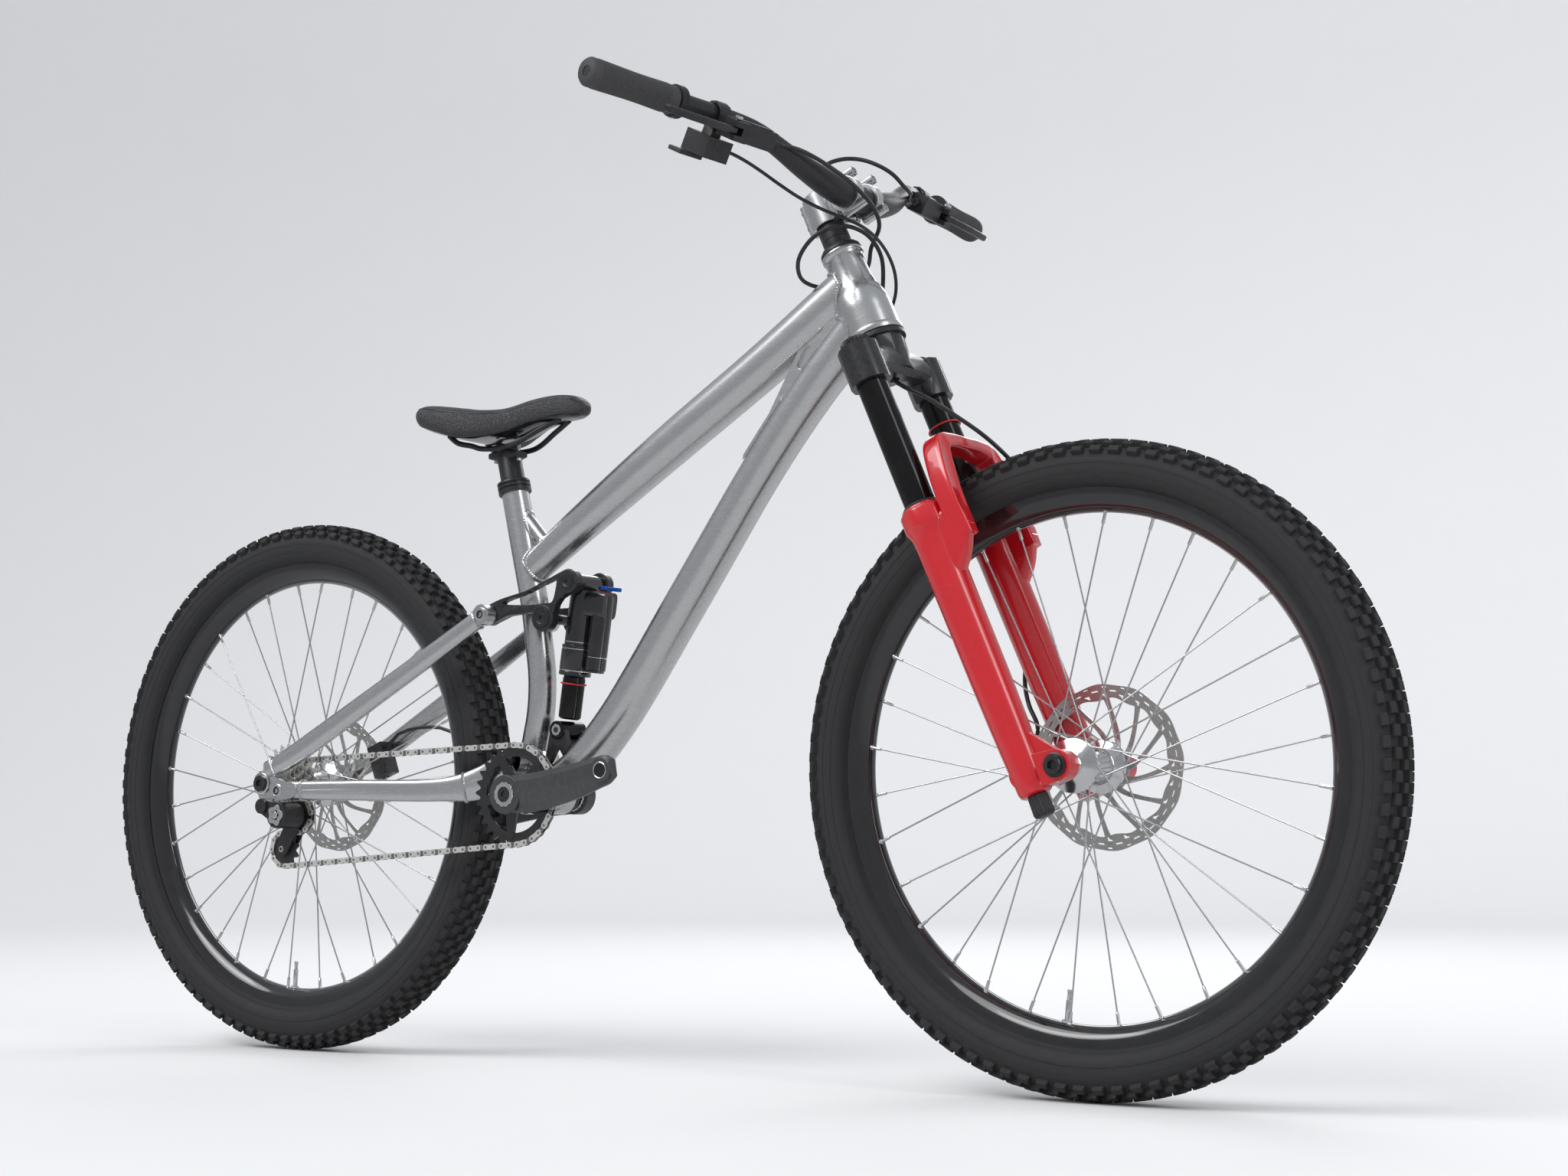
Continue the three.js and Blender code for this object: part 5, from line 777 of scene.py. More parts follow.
def seat_tube_rows():
    """The seat tube is straight for 150 mm, and then bows forward on its way down."""
    top, foot = plane(seat(150)), (401.5, 388.0)
    places = [seat(0), seat(75), seat(150)]
    for along, out in ((0.25, 0.55), (0.5, 1), (0.74, 0.85)):
        places.append(flat(beside(top, foot, along, 0)) + AHEAD * out * SEAT_TUBE_BOW)
    return [(place_at, 2 * SEAT_TUBE_RADIUS, 2 * SEAT_TUBE_RADIUS) for place_at in places + [flat(foot)]]


HEAD_PROFILE = [(23, HEAD_HALF), (23, 24.4), (24.7, 11.6), (29.8, -2.9), (32.5, -17.4), (32.5, -HEAD_HALF)]


def head_surface():
    """How far a place is outside the head tube."""
    up = np.linspace(-HEAD_HALF, HEAD_HALF, 90)
    radius = np.interp(up, [p[1] for p in HEAD_PROFILE[::-1]], [p[0] for p in HEAD_PROFILE[::-1]])
    return outside_of(head(up, 0), radius)


def rod_line(a, b, radius):
    """The surface of a straight rod."""
    share = np.linspace(0, 1, 24)[:, None]
    a, b = np.asarray(a, float), np.asarray(b, float)
    return tube_grid(a * (1 - share) + b * share, 2 * radius, 2 * radius, ACROSS, 32)


def main_grids():
    """The surfaces of the top tube, the down tube and the brace from the seat tube to the top tube."""
    top = tube_grid(*through(top_tube_rows(), 70), sides=56, square=1.12)
    down = tube_grid(*through(down_tube_rows(), 90), sides=56, square=1.15)
    return top, down, rod_line(seat(28) + AHEAD * 7, flat(beside(SEAT_NODE, HEAD_UPPER, 0.075, 0.02)), 8.5)


def make_main_tubes():
    """Top, down and seat tube. A flat web fills the corner under the seat tube's brace."""
    top_grid, down_grid, brace_grid = main_grids()
    seat_grid = tube_grid(*through(seat_tube_rows(), 70), ACROSS, sides=48)
    web = [plane(seat(30)), beside(SEAT_NODE, HEAD_UPPER, 0.06, 0), plane(seat(82))]
    piece("Top tube", closed_grid(top_grid), "frame_metal", "main_frame", "top_tube")
    piece("Down tube", closed_grid(down_grid), "frame_metal", "main_frame", "down_tube")
    shape = closed_grid(seat_grid) + closed_grid(brace_grid) + plate(web, -3, 3)
    piece("Seat tube", shape, "frame_metal", "main_frame", "seat_tube")


def make_head_tube():
    """A turned tube with a lip at each end, which widens downwards."""
    waist = [(23, 50), (23, 26), (24.7, 11.6), (29.8, -2.9), (32.2, -17.4), (32.5, -30), (32.5, -50)]
    top = [(20.5, HEAD_HALF), (22.4, HEAD_HALF), (24.6, 57.4), (25, 56.6), (25, 53), (24.4, 52)]
    foot = [(33.6, -51), (34, -52), (34, -56.6), (33.4, -HEAD_HALF), (20.5, -HEAD_HALF), (20.5, HEAD_HALF)]
    profile = top + [tuple(row) for row in even(curve(waist, 60), 2)] + foot
    piece("Head tube", lathe(profile, head(0, 0), STEER_UP, 72), "frame_metal", "main_frame", "head_tube")


def make_bottom_bracket():
    """The shell, a thick plate from it to the main pivot, and a cup with sixteen notches on each side."""

    def notched(a, r, w):
        return 0.7 * np.sign(np.cos(16 * a)) * (r > 21) * (w > 1) * (w < 8)

    cups = []
    for side in (-1, 1):
        at = flat(BOTTOM_BRACKET, side * (SHELL_HALF + 0.1))
        cups += lathe(hoop(15.2, 22, 0, 9, 0.6), at, ACROSS * side, 56, notched)
    shell = lathe(hoop(17, 24, SHELL_HALF, -SHELL_HALF, 0.8), flat(BOTTOM_BRACKET), ACROSS, 72)
    shell += plate(link_outline(BOTTOM_BRACKET, MAIN_PIVOT, 23.5, 15, 20), -21, 21)
    piece("Bottom bracket", shell, "frame_metal", "main_frame", "bottom_bracket", bevel=1.2)
    piece("Bottom bracket cups", cups, "satin_black", "main_frame")
    piece("Main pivot bolts", bolt_pair(flat(MAIN_PIVOT), 38.2, 8, 3), "forged_black", "chainstay")


def make_frame_welds(bead, pitch):
    """A bead where each tube's surface meets the next one's, and open ones along the head gusset. Those lie
    where the gusset's sides meet a tube whose section is a superellipse: half its height, times 1 less the
    way out over 26 to the power 2.6, to the power 1 / 2.6."""
    top_grid, down_grid, brace_grid = main_grids()
    top_path, top_high, _ = through(top_tube_rows(), 70)
    down_path, down_high, _ = through(down_tube_rows(), 90)
    seat_path, _, _ = through(seat_tube_rows(), 70)
    far_head = head_surface()
    far_seat = outside_of(curve(seat_path, 160), SEAT_TUBE_RADIUS)
    far_shell = outside_of(flat(BOTTOM_BRACKET) + np.linspace(-36, 36, 60)[:, None] * ACROSS, 24)
    far_top = outside_of(curve(top_path, 200), 20)
    beads = []
    for grid, far, end in (
        (top_grid, far_head, True),
        (down_grid, far_head, True),
        (top_grid, far_seat, False),
        (down_grid, far_shell, False),
        (brace_grid, far_seat, False),
        (brace_grid, far_top, True),
    ):
        beads += weld_bead(seam(grid, far, end), bead, pitch)
    out = 15.6
    for side in (-1, 1):
        for line, high, reach, ahead in ((down_path, down_high, 1, 780), (top_path, top_high, -1, 800)):
            near = line[np.argsort(np.abs(line[:, 0] - ahead))[:12]]
            near = near[np.argsort(near[:, 0])]
            normal = -unit(np.cross(ACROSS, np.gradient(near, axis=0)))
            half = high.mean() / 2 * (1 - (out / 26) ** 2.6) ** (1 / 2.6)
            beads += weld_bead(near + normal * reach * half + ACROSS * side * out, bead * 0.85, pitch,
                closed=False)
    piece("Weld beads", beads, "weld_metal", "main_frame")


def make_frame_fittings():
    """Gusset, shock yoke, the seat collar with its grooves, and the headset's upper cover and lower cup."""
    softened("head_gusset", "Head gusset", "frame_metal", "main_frame", 1.6)
    softened("shock_yoke", "Shock yoke", "forged_black", "main_frame", 1.2)
    piece("Yoke bolts", bolt_pair(flat(SHOCK_FOOT), EYE_HALF + 1, 7, 3), "polished", "main_frame")

    collar = [(17.7, -1.5), (20.6, -1.5), (21, -1), (21, 3), (19.6, 3.5), (19.6, 4.9), (21, 5.4), (21, 8.4),
        (19.6, 8.9), (19.6, 10.3), (21, 10.8), (21, 13.4), (20.4, 14.2), (17.7, 14.2), (17.7, -1.5)]
    piece("Seat collar", lathe(collar, seat(0.3), seat(-10) - seat(0), 64), "satin_black", "main_frame",
        "seat_collar")
    covers = [(18.6, 0), (24.4, 0), (25, 0.6), (24.6, 3.6), (21.5, 7.6), (18.6, 8.7), (18.6, 0)]
    piece("Headset cover", lathe(covers, head(58.2, 0), STEER_UP, 64), "satin_black", "steering")
    race = [(20.6, 0), (33, 0), (33.6, 0.6), (33.6, 5), (32.6, 6.6), (20.6, 6.6), (20.6, 0)]
    piece("Lower bearing cup", lathe(race, head(-65.4, 0), STEER_UP, 64), "satin_black", "main_frame")


def make_frame(size):
    """Makes the frame's pieces in turn."""
    make_main_tubes()
    make_head_tube()
    make_bottom_bracket()
    make_frame_welds(size.weld_radius, size.weld_pitch)
    make_frame_fittings()


# Rear end.
# Shares along the stay's line, off it and outward, then of its height and width.
CHAINSTAY_ROWS = [(0.048, -0.004, 1, 0.9, 1), (0.318, -0.032, 0.8, 0.98, 1), (0.737, -0.0735, 0.485, 1.1, 1),
    (0.863, -0.066, 0.21, 1.5, 1), (0.99, 0, 0.01, 1.2, 1)]
SEATSTAY_ROWS = [(0.035, 0.028, 1, 0.9, 0.9), (0.12, 0.014, 0.96, 1, 1), (0.6, 0.002, 0.5, 1, 1),
    (0.94, 0, 0.05, 0.92, 0.92), (0.985, 0, 0, 0.86, 0.86)]


def stay_grid(rows, start, end, near, far, height, width, side, square):
    """The surface of a stay whose distance from the bike's plane goes from near to far."""
    line = [
        (flat(beside(start, end, along, off), side * mix(near, far, out)), high * height, wide * width)
        for along, off, out, high, wide in rows
    ]
    return tube_grid(*through(line, 70), sides=40, square=square)


def make_chainstays(bead, pitch):
    """Both stays with their turned ends at the main pivot, and a bead round each end of a stay."""
    arms, seams = [], []
    for side in (-1, 1):
        grid = stay_grid(CHAINSTAY_ROWS, DROP_PIVOT, MAIN_PIVOT, 29.5, STAY_INSET, 27, 17, side, 1.7)
        arms += closed_grid(grid)
        arms += lathe(hoop(8, 17, 21.5, 37.5, 0.6), flat(MAIN_PIVOT), ACROSS * side, 56)
        seams += weld_bead(grid[44], bead * 0.8, pitch) + weld_bead(grid[4], bead * 0.7, pitch)
    softened("chainstay", "Chainstay forging", "frame_metal", "chainstay", 1.0)
    piece("Chainstay tubes", arms, "frame_metal", "chainstay")
    piece("Chainstay welds", seams, "weld_metal", "chainstay")


def make_seatstays(bead, pitch):
    """Both stays with their beads, the rings and bolts of their two pivots, the rear axle and the caliper."""
    for side, name in SIDES:
        grid = stay_grid(SEATSTAY_ROWS, REAR, STAY_PIVOT, EYE_INSET, 77, 26, 16, side, 1.15)
        softened("seatstay_" + name, "Seatstay forging " + name, "frame_metal", "seatstay", 1.0)
        piece("Seatstay " + name, closed_grid(grid), "frame_metal", "seatstay")
        piece("Seatstay weld " + name, weld_bead(grid[7], bead * 0.8, pitch)
            + weld_bead(grid[63], bead * 0.7, pitch), "weld_metal", "seatstay")
        eye = flat(STAY_PIVOT, side * 70.2)
        ring = [(5, -0.8), (8.6, -0.8), (9, -0.3), (9, 0.7), (8.4, 1.2), (6.4, 1.2), (6, 0.8), (5, 0.8),
            (5, -0.8)]
        piece("Stay pivot ring " + name, lathe(ring, eye, ACROSS * side, 48), "satin_silver", "seatstay")
        piece("Stay pivot bolt " + name, bolt_head(eye + ACROSS * side * 0.8, ACROSS * side, 5.8, 3),
            "forged_black", "seatstay")
        drop = flat(DROP_PIVOT, side * 88.6)
        piece("Rear pivot ring " + name, lathe(ring, drop, ACROSS * side, 48), "polished", "chainstay")
        piece("Rear pivot bolt " + name, bolt_head(drop + ACROSS * side * 0.8, ACROSS * side, 5.8, 3),
            "forged_black", "chainstay")
        end = flat(REAR, side * 80.4)
        lip = [(6.5, 0), (13.4, 0), (14, 0.6), (14, 1.8), (13, 2.4), (12, 2.4), (11.6, 1.9), (6.5, 1.9),
            (6.5, 0)]
        piece("Axle ring " + name, lathe(lip, end, ACROSS * side, 56), "polished", "seatstay")
        piece("Axle end " + name, bolt_head(end + ACROSS * side * 5.8, ACROSS * side, 10.6, 5.6),
            "forged_black", "seatstay")
    piece("Rear axle", cylinder(flat(REAR, -80), flat(REAR, 80), 7.3, steps=32), "satin_black", "seatstay",
        "rear_axle")
    softened("rear_caliper", "Rear caliper", "forged_black", "seatstay", 1.4)
    piece("Rear caliper bolts", bolt_head((96, 68, 393), ACROSS, 4, 3) + bolt_head((72, 68, 369), ACROSS, 4, 3),
        "satin_silver", "seatstay")


def make_rocker():
    """Two plates with a triangular window, whose tails spread outwards by 18 mm on a smooth step of the way
    back: 3 times its square less 2 times its cube. Turned bosses carry the three pivots."""
    edge = np.vstack((
        arc(STAY_PIVOT, 12.5, radians(100), radians(300), 14),
        [(388, 549.5), (402, 552.5), (416, 554.5)],
        arc(ROCKER_PIVOT, 17, radians(150), radians(375), 16),
        [(464, 563), (470, 570), (480, 574.5)],
        arc(SHOCK_TOP, 15.5, radians(-40), radians(115), 12),
    ))
    edge = even(edge, 1.5, closed=True)
    corners = [(394, 565.6), (389.8, 567.2), (393.5, 570), (460, 593.8), (465, 593.6), (465, 589.6), (459, 568),
        (455.5, 565.4), (449, 565.2)]
    window = curve(corners, 90, closed=True)
    middle = np.array((437, 573))
    plates, faces, bolts = [], [], []
    for side in (-1, 1):
        outline, hole = same_bearing(edge, middle, 220), same_bearing(window, middle, 220)
        for points, sides in plate(outline, side * 24.5, side * 35.5, hole, 3):
            t = np.clip((424 - points[:, 0]) / 44, 0, 1)
            points[:, 1] += side * 18 * t * t * (3 - 2 * t)
            plates.append((points, sides))
        for place_at, radius, near, far in ((ROCKER_PIVOT, 16.4, 23, 37.4), (SHOCK_TOP, 15, 23, 37),
                (STAY_PIVOT, 12, 41.5, 54.2)):
            plates += lathe([(4, near), (radius - 0.8, near), (radius, near + 0.8), (radius, far - 1),
                (radius - 1, far), (4, far), (4, near)], flat(place_at), ACROSS * side, 56)
        for place_at, far, radius in ((ROCKER_PIVOT, 39, 12.8), (SHOCK_TOP, 38.4, 10.2)):
            at = flat(place_at, side * far)
            faces += lathe([(radius * 0.5, -3), (radius, -3), (radius, -0.9), (radius - 0.9, 0),
                (radius * 0.62, 0), (radius * 0.5, -0.7), (radius * 0.5, -3)], at, ACROSS * side, 56)
            bolts += bolt_head(at - ACROSS * side * 0.5, ACROSS * side, radius * 0.5, 3)
    plates += cylinder(flat(ROCKER_PIVOT, -24), flat(ROCKER_PIVOT, 24), 6.4, steps=32)
    piece("Rocker link", plates, "forged_black", "rocker", "rocker", bevel=1.4, sharp=30)
    piece("Rocker bolt rings", faces, "dark_alloy", "rocker")
    piece("Rocker bolts", bolts, "forged_black", "rocker")


def make_shock():
    """Shaft, can, reservoir and head, turned or drawn about the line between the shock's two eyes."""
    low = flat(SHOCK_FOOT)
    axis = unit(flat(SHOCK_TOP) - low)
    out = np.cross(ACROSS, axis)
    out = out * np.sign(out[0])

    def on(x, z, y=0.0):
        return low + out * x + axis * z + ACROSS * y

    shaft = [(0, 14), (11, 14), (13.6, 16), (14, 18), (14, 64), (13.2, 66), (13.2, 102.6), (0, 102.6)]
    foot = lathe(hoop(5.6, 11.4, -EYE_HALF, EYE_HALF, 1.4, 0.6), low, ACROSS, 44)
    piece("Shock shaft", lathe(shaft, low, axis, 56) + foot, "stanchion", "shock_shaft", "shock_shaft")
    can = [(14.6, 68), (19.2, 68), (20, 68.8), (20, 73), (19.4, 73.8), (19.4, 75), (20, 75.8), (20, 100),
        (19.2, 101), (19.2, 102.2), (20, 103), (20, 105.4), (19.2, 106), (17.5, 106.4), (17.5, 174),
        (16.6, 175), (14.6, 175), (14.6, 68)]
    tank = [(0, 75), (10.6, 75), (11.4, 75.6), (11.6, 77.4), (13, 78.6), (13, 93), (12.4, 93.6), (12.4, 95),
        (13, 95.6), (13, 168), (12, 171), (0, 171)]
    block = tube(curve([on(-7, 159), on(19, 159), on(42, 159)], 12), 33, 27, axis, 40, 2.4)
    eye = lathe(hoop(5.6, 10.8, -EYE_HALF, EYE_HALF, 1.2, 0.6), flat(SHOCK_TOP), ACROSS, 44)
    piece("Shock can", lathe(can, low, axis, 64) + lathe(tank, on(31, 0), axis, 56) + block + eye,
        "gloss_black", "shock_can", "shock_can")
    lines = []
    for z, r in ((74.4, 19.7), (101.6, 19.5), (110, 17.7)):
        lines += lathe(hoop(r - 0.6, r + 0.12, z - 0.5, z + 0.5), low, axis, 64)
    lines += lathe(hoop(12, 12.75, 93.9, 94.7), on(31, 0), axis, 56)
    piece("Shock lines", lines, "polished", "shock_can")
    ring = bead_profile(15.3, 58, 1.1)
    piece("Shock travel ring", lathe(ring, low, axis, 56), "red_rubber", "shock_can")
    knob = lathe([(0, 0), (7.4, 0), (8, 0.6), (8, 4.6), (7.2, 5.4), (0, 5.4)], on(31, 171), axis, 48,
        lambda a, r, w: 0.4 * np.cos(14 * a) * (r > 7))
    piece("Shock knob", knob, "red_metal", "shock_can")
    softened("shock_lever", "Shock lever", "blue_metal", "shock_lever", 0.8)


def make_rear_end(size):
    """Makes the stays, the rocker link and the shock."""
    make_chainstays(size.weld_radius, size.weld_pitch)
    make_seatstays(size.weld_radius, size.weld_pitch)
    make_rocker()
    make_shock()


# Wheels.
def wheel_point(at, radius, angle, y):
    """A place at a radius and an angle in a wheel's plane, and y out from the bike's."""
    angle = np.asarray(angle, float)
    return np.stack(np.broadcast_arrays(at[0] + radius * np.cos(angle), y, at[1] + radius * np.sin(angle)), -1)


def pole_frames(roots, tips, full=True):
    """For each pole, a matrix that puts a unit rod, standing on z from 0 to 1, from its root to its tip."""
    d = tips - roots
    ahead = unit(d)
    first = unit(np.cross(ahead, ACROSS))
    m = np.zeros((len(d), 4, 4))
    m[:, :3, 0], m[:, :3, 1] = first, np.cross(ahead, first)
    m[:, :3, 2] = d if full else ahead
    m[:, :3, 3] = roots
    m[:, 3, 3] = 1
    return m


def rod_shape(radii, steps=8):
    """A rod on the z axis from rows of (radius, height)."""
    return lathe([(r, z) for r, z in radii], (0, 0, 0), UP, steps)


def crown_at(y):
    """The carcass: a flattened round whose radius from the axle falls with the distance from its middle."""
    return 318 + 26.5 * (1 - (abs(y) / 29.4) ** 2.25) ** (1 / 2.25)


def make_tyre(at, body, node, size):
    """A turned carcass under rows of tapered knobs. Each knob leans by the slope of the crown's radius at
    its place, so that it stands square to the carcass."""
    y = np.sin(np.linspace(-1, 1, 33) * pi / 2) * 28.9
    crown = [(float(crown_at(v)), float(v)) for v in y]
    below = [(309, 28.6), (301, 25.4), (298.6, 21.5), (297, 17.3), (292, 13.2), (290.6, 12.6)]
    profile = [(r, -v) for r, v in below[::-1]] + crown + below + [(290.6, 0), (290.6, -12.6)]
    carcass = lathe(profile, flat(at), ACROSS, 224)
    high, count = size.knob_height, size.knob_repeats
    tread = []
    for y0, wide, long, share, rise in ((0, 7.2, 12.5, 0.25, 1), (8.4, 7.4, 10, 0.75, 1),
            (17, 7.2, 11.5, 0.25, 1), (24.6, 7.2, 12, 0.75, 1.05)):
        for side in (-1, 1) if y0 else (1,):
            base = [(wide * 0.56, long * 0.56, -2.2), (wide * 0.5, long * 0.5, high * rise - 0.7),
                (wide * 0.42, long * 0.42, high * rise)]
            corners = np.array([[(-a, -b, h), (a, -b, h), (a, b, h), (-a, b, h)] for a, b, h in base])
            knob = closed_grid(corners)
            turn = 2 * pi * (np.arange(count) + share + (0.5 if side > 0 and y0 else 0)) / count
            slope = (crown_at(y0 + 0.5) - crown_at(y0 - 0.5)) if y0 else 0.0
            lean = side * -atan2(slope, 1.0)
            radial = np.stack((np.cos(turn), 0 * turn, np.sin(turn)), 1)
            m = np.zeros((count, 4, 4))
            m[:, :3, 0] = ACROSS * cos(lean) - radial * sin(lean)
            m[:, :3, 1] = np.stack((np.sin(turn), 0 * turn, -np.cos(turn)), 1)
            m[:, :3, 2] = radial * cos(lean) + ACROSS * sin(lean)
            m[:, :3, 3] = wheel_point(at, crown_at(y0), turn, side * y0)
            m[:, 3, 3] = 1
            tread += repeated(knob, m)
    lines = []
    for side in (-1, 1):
        for r, v in TYRE_LINES:
            lines += lathe([(r - 0.8, side * (v - 1)), (r - 0.5, side * v), (r + 0.5, side * v),
                (r + 0.8, side * (v - 1)), (r - 0.8, side * (v - 1))], flat(at), ACROSS, 160)
    name = body.replace("_", " ").capitalize()
    piece(name + " tyre", carcass, "tyre", body, node)
    piece(name + " tread", tread, "tyre", body, sharp=30)
    piece(name + " tyre lines", lines, "tyre", body)


def make_rim(name, body, at, node, valve_angle):
    """The rim's hollow section turned about the axle, and the valve that stands on it."""
    half = [(298.4, 16), (298.4, 15), (297.4, 14.2), (293, 13.8), (290.2, 12.2), (289, 9), (286.5, 4)]
    inner = [(297.6, 17), (293, 17), (285, 15.8), (279, 12.5), (273.6, 7.5), (271.2, 3)]
    profile = [(r, -v) for r, v in half] + [(r, v) for r, v in half[::-1]]
    profile += inner + [(r, -v) for r, v in inner[::-1]]
    profile.append(profile[0])
    piece(name + " rim", lathe(profile, flat(at), ACROSS, 224), "gloss_black", body, node)

    def reach(radius):
        return wheel_point(at, radius, valve_angle, 0.0)

    valve = cylinder(reach(273), reach(247), 3, 0.4, 16) + cylinder(reach(247), reach(238), 2.3, 0.4, 12)
    valve += cylinder(reach(240), reach(236.5), 2.6, 0.3, 12)
    nut = lathe([(2.9, 0), (5.4, 0), (5.4, 2.4), (4.8, 3), (2.9, 3), (2.9, 0)], reach(271.6),
        reach(0) - reach(271.6), 24, lambda a, r, w: 0.3 * np.cos(12 * a) * (r > 4))
    piece(name + " valve", valve + nut, "polished", body)


def make_spokes(name, body, at, hub, count):
    """Half of the spokes leave each flange, ahead of or behind their own angle in turn, so that each crosses
    three others. Every spoke has a head at the flange and a nipple at the rim."""
    per = count // 2
    i = np.arange(count)
    ahead = np.where(i % 4 < 2, 1, -1)
    rim_angle = 2 * pi * (i + 0.5) / count
    hub_angle = rim_angle - ahead * (6 * pi / per - pi / per / 2)
    side = np.where(i % 2 == 0, hub["left"], hub["right"])
    roots = wheel_point(at, hub["flange"] - 4, hub_angle, side + ahead * 1.4)
    tips = wheel_point(at, SPOKE_END, rim_angle, side * 0.12)
    spokes = repeated(rod_shape([(0.95, 0), (0.95, 1)], 8), pole_frames(roots, tips))
    heads = repeated(rod_shape([(1.1, -1.2), (1.9, -0.6), (1.9, 0.4), (1.1, 0.9)], 10),
        pole_frames(roots, roots + ACROSS * ahead[:, None] + 1e-3 * AHEAD, False))
    nipples = repeated(rod_shape([(1.5, 0), (1.9, 0.8), (1.9, 12.4), (2.9, 12.8), (2.9, 14.4)], 8),
        pole_frames(tips - unit(tips - roots) * 12.5, tips, False))
    piece(name + " spokes", spokes + heads, "spoke_steel", body, sharp=50)
    piece(name + " nipples", nipples, "polished", body, sharp=50)


def make_hub(name, body, at, hub, node):
    """The shell is turned from a profile with a flange on each side and the rotor's seat on the left. Dark dots
    on the flanges are painted shade that stands for their holes."""
    end = hub["spacing"] / 2 - 0.3
    left, right, flange, shell = (hub[key] for key in ("left", "right", "flange", "shell"))
    waist = [(shell + 3, right + 5), (shell, right + 9), (shell - 1.5, (left + right) / 2), (shell, left - 9),
        (shell + 3, left - 5)]
    body_rows = [(8, -end), (12.5, -end), (13.4, -end + 0.8), (13.4, right - 7), (shell - 1, right - 6),
        (shell + 2, right - 3.4), (flange - 0.7, right - 2.5), (flange, right - 1.9), (flange, right + 1.9),
        (flange - 0.7, right + 2.5), *waist, (flange - 0.7, left - 2.5), (flange, left - 1.9),
        (flange, left + 1.9), (flange - 0.7, left + 2.5), (shell + 2, left + 3.4), (shell - 1, left + 6)]
    plane_at = hub["spacing"] / 2 - ROTOR_INSET
    body_rows += [(shell - 1, plane_at - 3.4), (13.4, plane_at - 3.2), (13.4, end - 0.8), (12.5, end), (8, end),
        (8, -end)]
    hub_shape = lathe(body_rows, flat(at), ACROSS, 88)
    holes = wheel_point(at, flange - 7.8, 2 * pi * (np.arange(8) + 0.25) / 8, 0.0)
    # Painted shade: a dark dot on each face of a flange where a hole in it would show only shade.
    dots = []
    for y in (left, right):
        for hole in holes:
            for way in (-1, 1):
                dots += lathe([(0, 0), (1.5, 0), (1.7, -0.4), (0, -0.4)], hole + ACROSS * (y + way * 3.05),
                    ACROSS * way, 12)
    piece(name + " hub", hub_shape, "polished", body, node)
    piece(name + " flange hole shade", dots, "painted_hole_shade", body)


def make_rotor(name, body, at, y, node):
    """The band is a polar grid sheared against the turn, so that the cells left out are slanted slots. A cosine
    of twelve waves runs round its edges. Its twelve arms are bent strips that widen towards both ends."""
    per = 14
    columns = 24 * per
    rows = np.array([73.5, 75.4, 77.6, 79.2, 81.6, 83.2, 85.8, 87.6, ROTOR_RADIUS])
    turn = 2 * pi * np.arange(columns) / columns
    r = rows[:, None] + 0 * turn[None]
    r[-1] += -0.8 + 0.75 * np.cos(12 * turn)
    r[-2] += -0.3 + 0.4 * np.cos(12 * turn)
    r[0] += 1.6 * np.cos(12 * turn + 0.4)
    angle = turn[None] + (rows[:, None] - 81) * 0.012
    sheet = np.stack((at[0] + r * np.cos(angle), at[1] + r * np.sin(angle)), -1)
    keep = np.ones((len(rows) - 1, columns), bool)
    cell = np.arange(columns) % per
    keep[2][(cell >= 1) & (cell <= 4)] = False
    keep[1][(cell >= 2) & (cell <= 3)] = False
    keep[4][(cell >= 5) & (cell <= 9)] = False
    keep[6][(cell >= 10) & (cell <= 12)] = False
    band = thick(sheet, keep.reshape(-1), 0.95, True, y)
    arms = []
    for k in range(12):
        s = np.linspace(0, 1, 16)
        a = 2 * pi * k / 12 + s * 0.62 - 0.1 + 0.1 * np.sin(pi * s)
        rad = 21 + s * 54
        line = np.stack((at[0] + rad * np.cos(a), at[1] + rad * np.sin(a)), 1)
        run = unit(np.gradient(line, axis=0))
        off = np.stack((-run[:, 1], run[:, 0]), 1) * (2.0 + 1.2 * (1 - s) ** 2 + 1.4 * s**6)[:, None]
        arms += thick(np.stack((line - off, line + off)), None, 0.9, False, y)
    carrier = hoop(14, 27, -1.6, 1.6, 4.5, 0.6)
    bolts = []
    for k in range(6):
        a = 2 * pi * k / 6 + 0.3
        bolts += bolt_head(wheel_point(at, 21.6, a, y + 3.4), ACROSS, 3.4, 2.4)
    piece(name + " rotor", band + arms, "rotor_steel", body, node)
    piece(name + " rotor carrier", lathe(carrier, flat(at, y), ACROSS, 48,
        lambda a, r, w: 1.1 * np.cos(6 * (a - 0.3)) * (r > 24)), "rotor_steel", body)
    piece(name + " rotor bolts", bolts, "satin_black", body)


def make_wheel(body, at, hub, valve_angle, size):
    """Makes one wheel with its tyre and rotor."""
    node = body.split("_")[0]
    name = node.capitalize()
    make_tyre(at, body, node + "_tyre", size)
    make_rim(name, body, at, node + "_rim", valve_angle)
    make_spokes(name, body, at, hub, size.spokes)
    make_hub(name, body, at, hub, node + "_hub")
    make_rotor(name, body, at, hub["spacing"] / 2 - ROTOR_INSET, node + "_rotor")


# Cockpit.
BAR_SHARES = [(0, 0, 0), (0.05, 0, 0), (0.09, 0, 0), (0.23, 0.13, 0.27), (0.385, 0.388, 0.76),
    (0.487, 0.57, 0.904), (0.7, 0.749, 0.944), (1, 1, 1)]
BAR_HALF, BAR_SWEEP, BAR_RISE = 400.0, 75.0, 58.0
GRIP_LENGTH = 132.0
PORT_BEND = 22.0
BAR_HEIGHT = STEM_FOOT + STEM_HEIGHT / 2 - 8
LEVER_MIDDLE, LEVER_HALF = 82.0, 33.0  # from the grip's inner end
SHIFTER_MIDDLE, SHIFTER_HALF = 55.0, 18.0
JOIN = 0.3  # the gap between a cord and what holds it


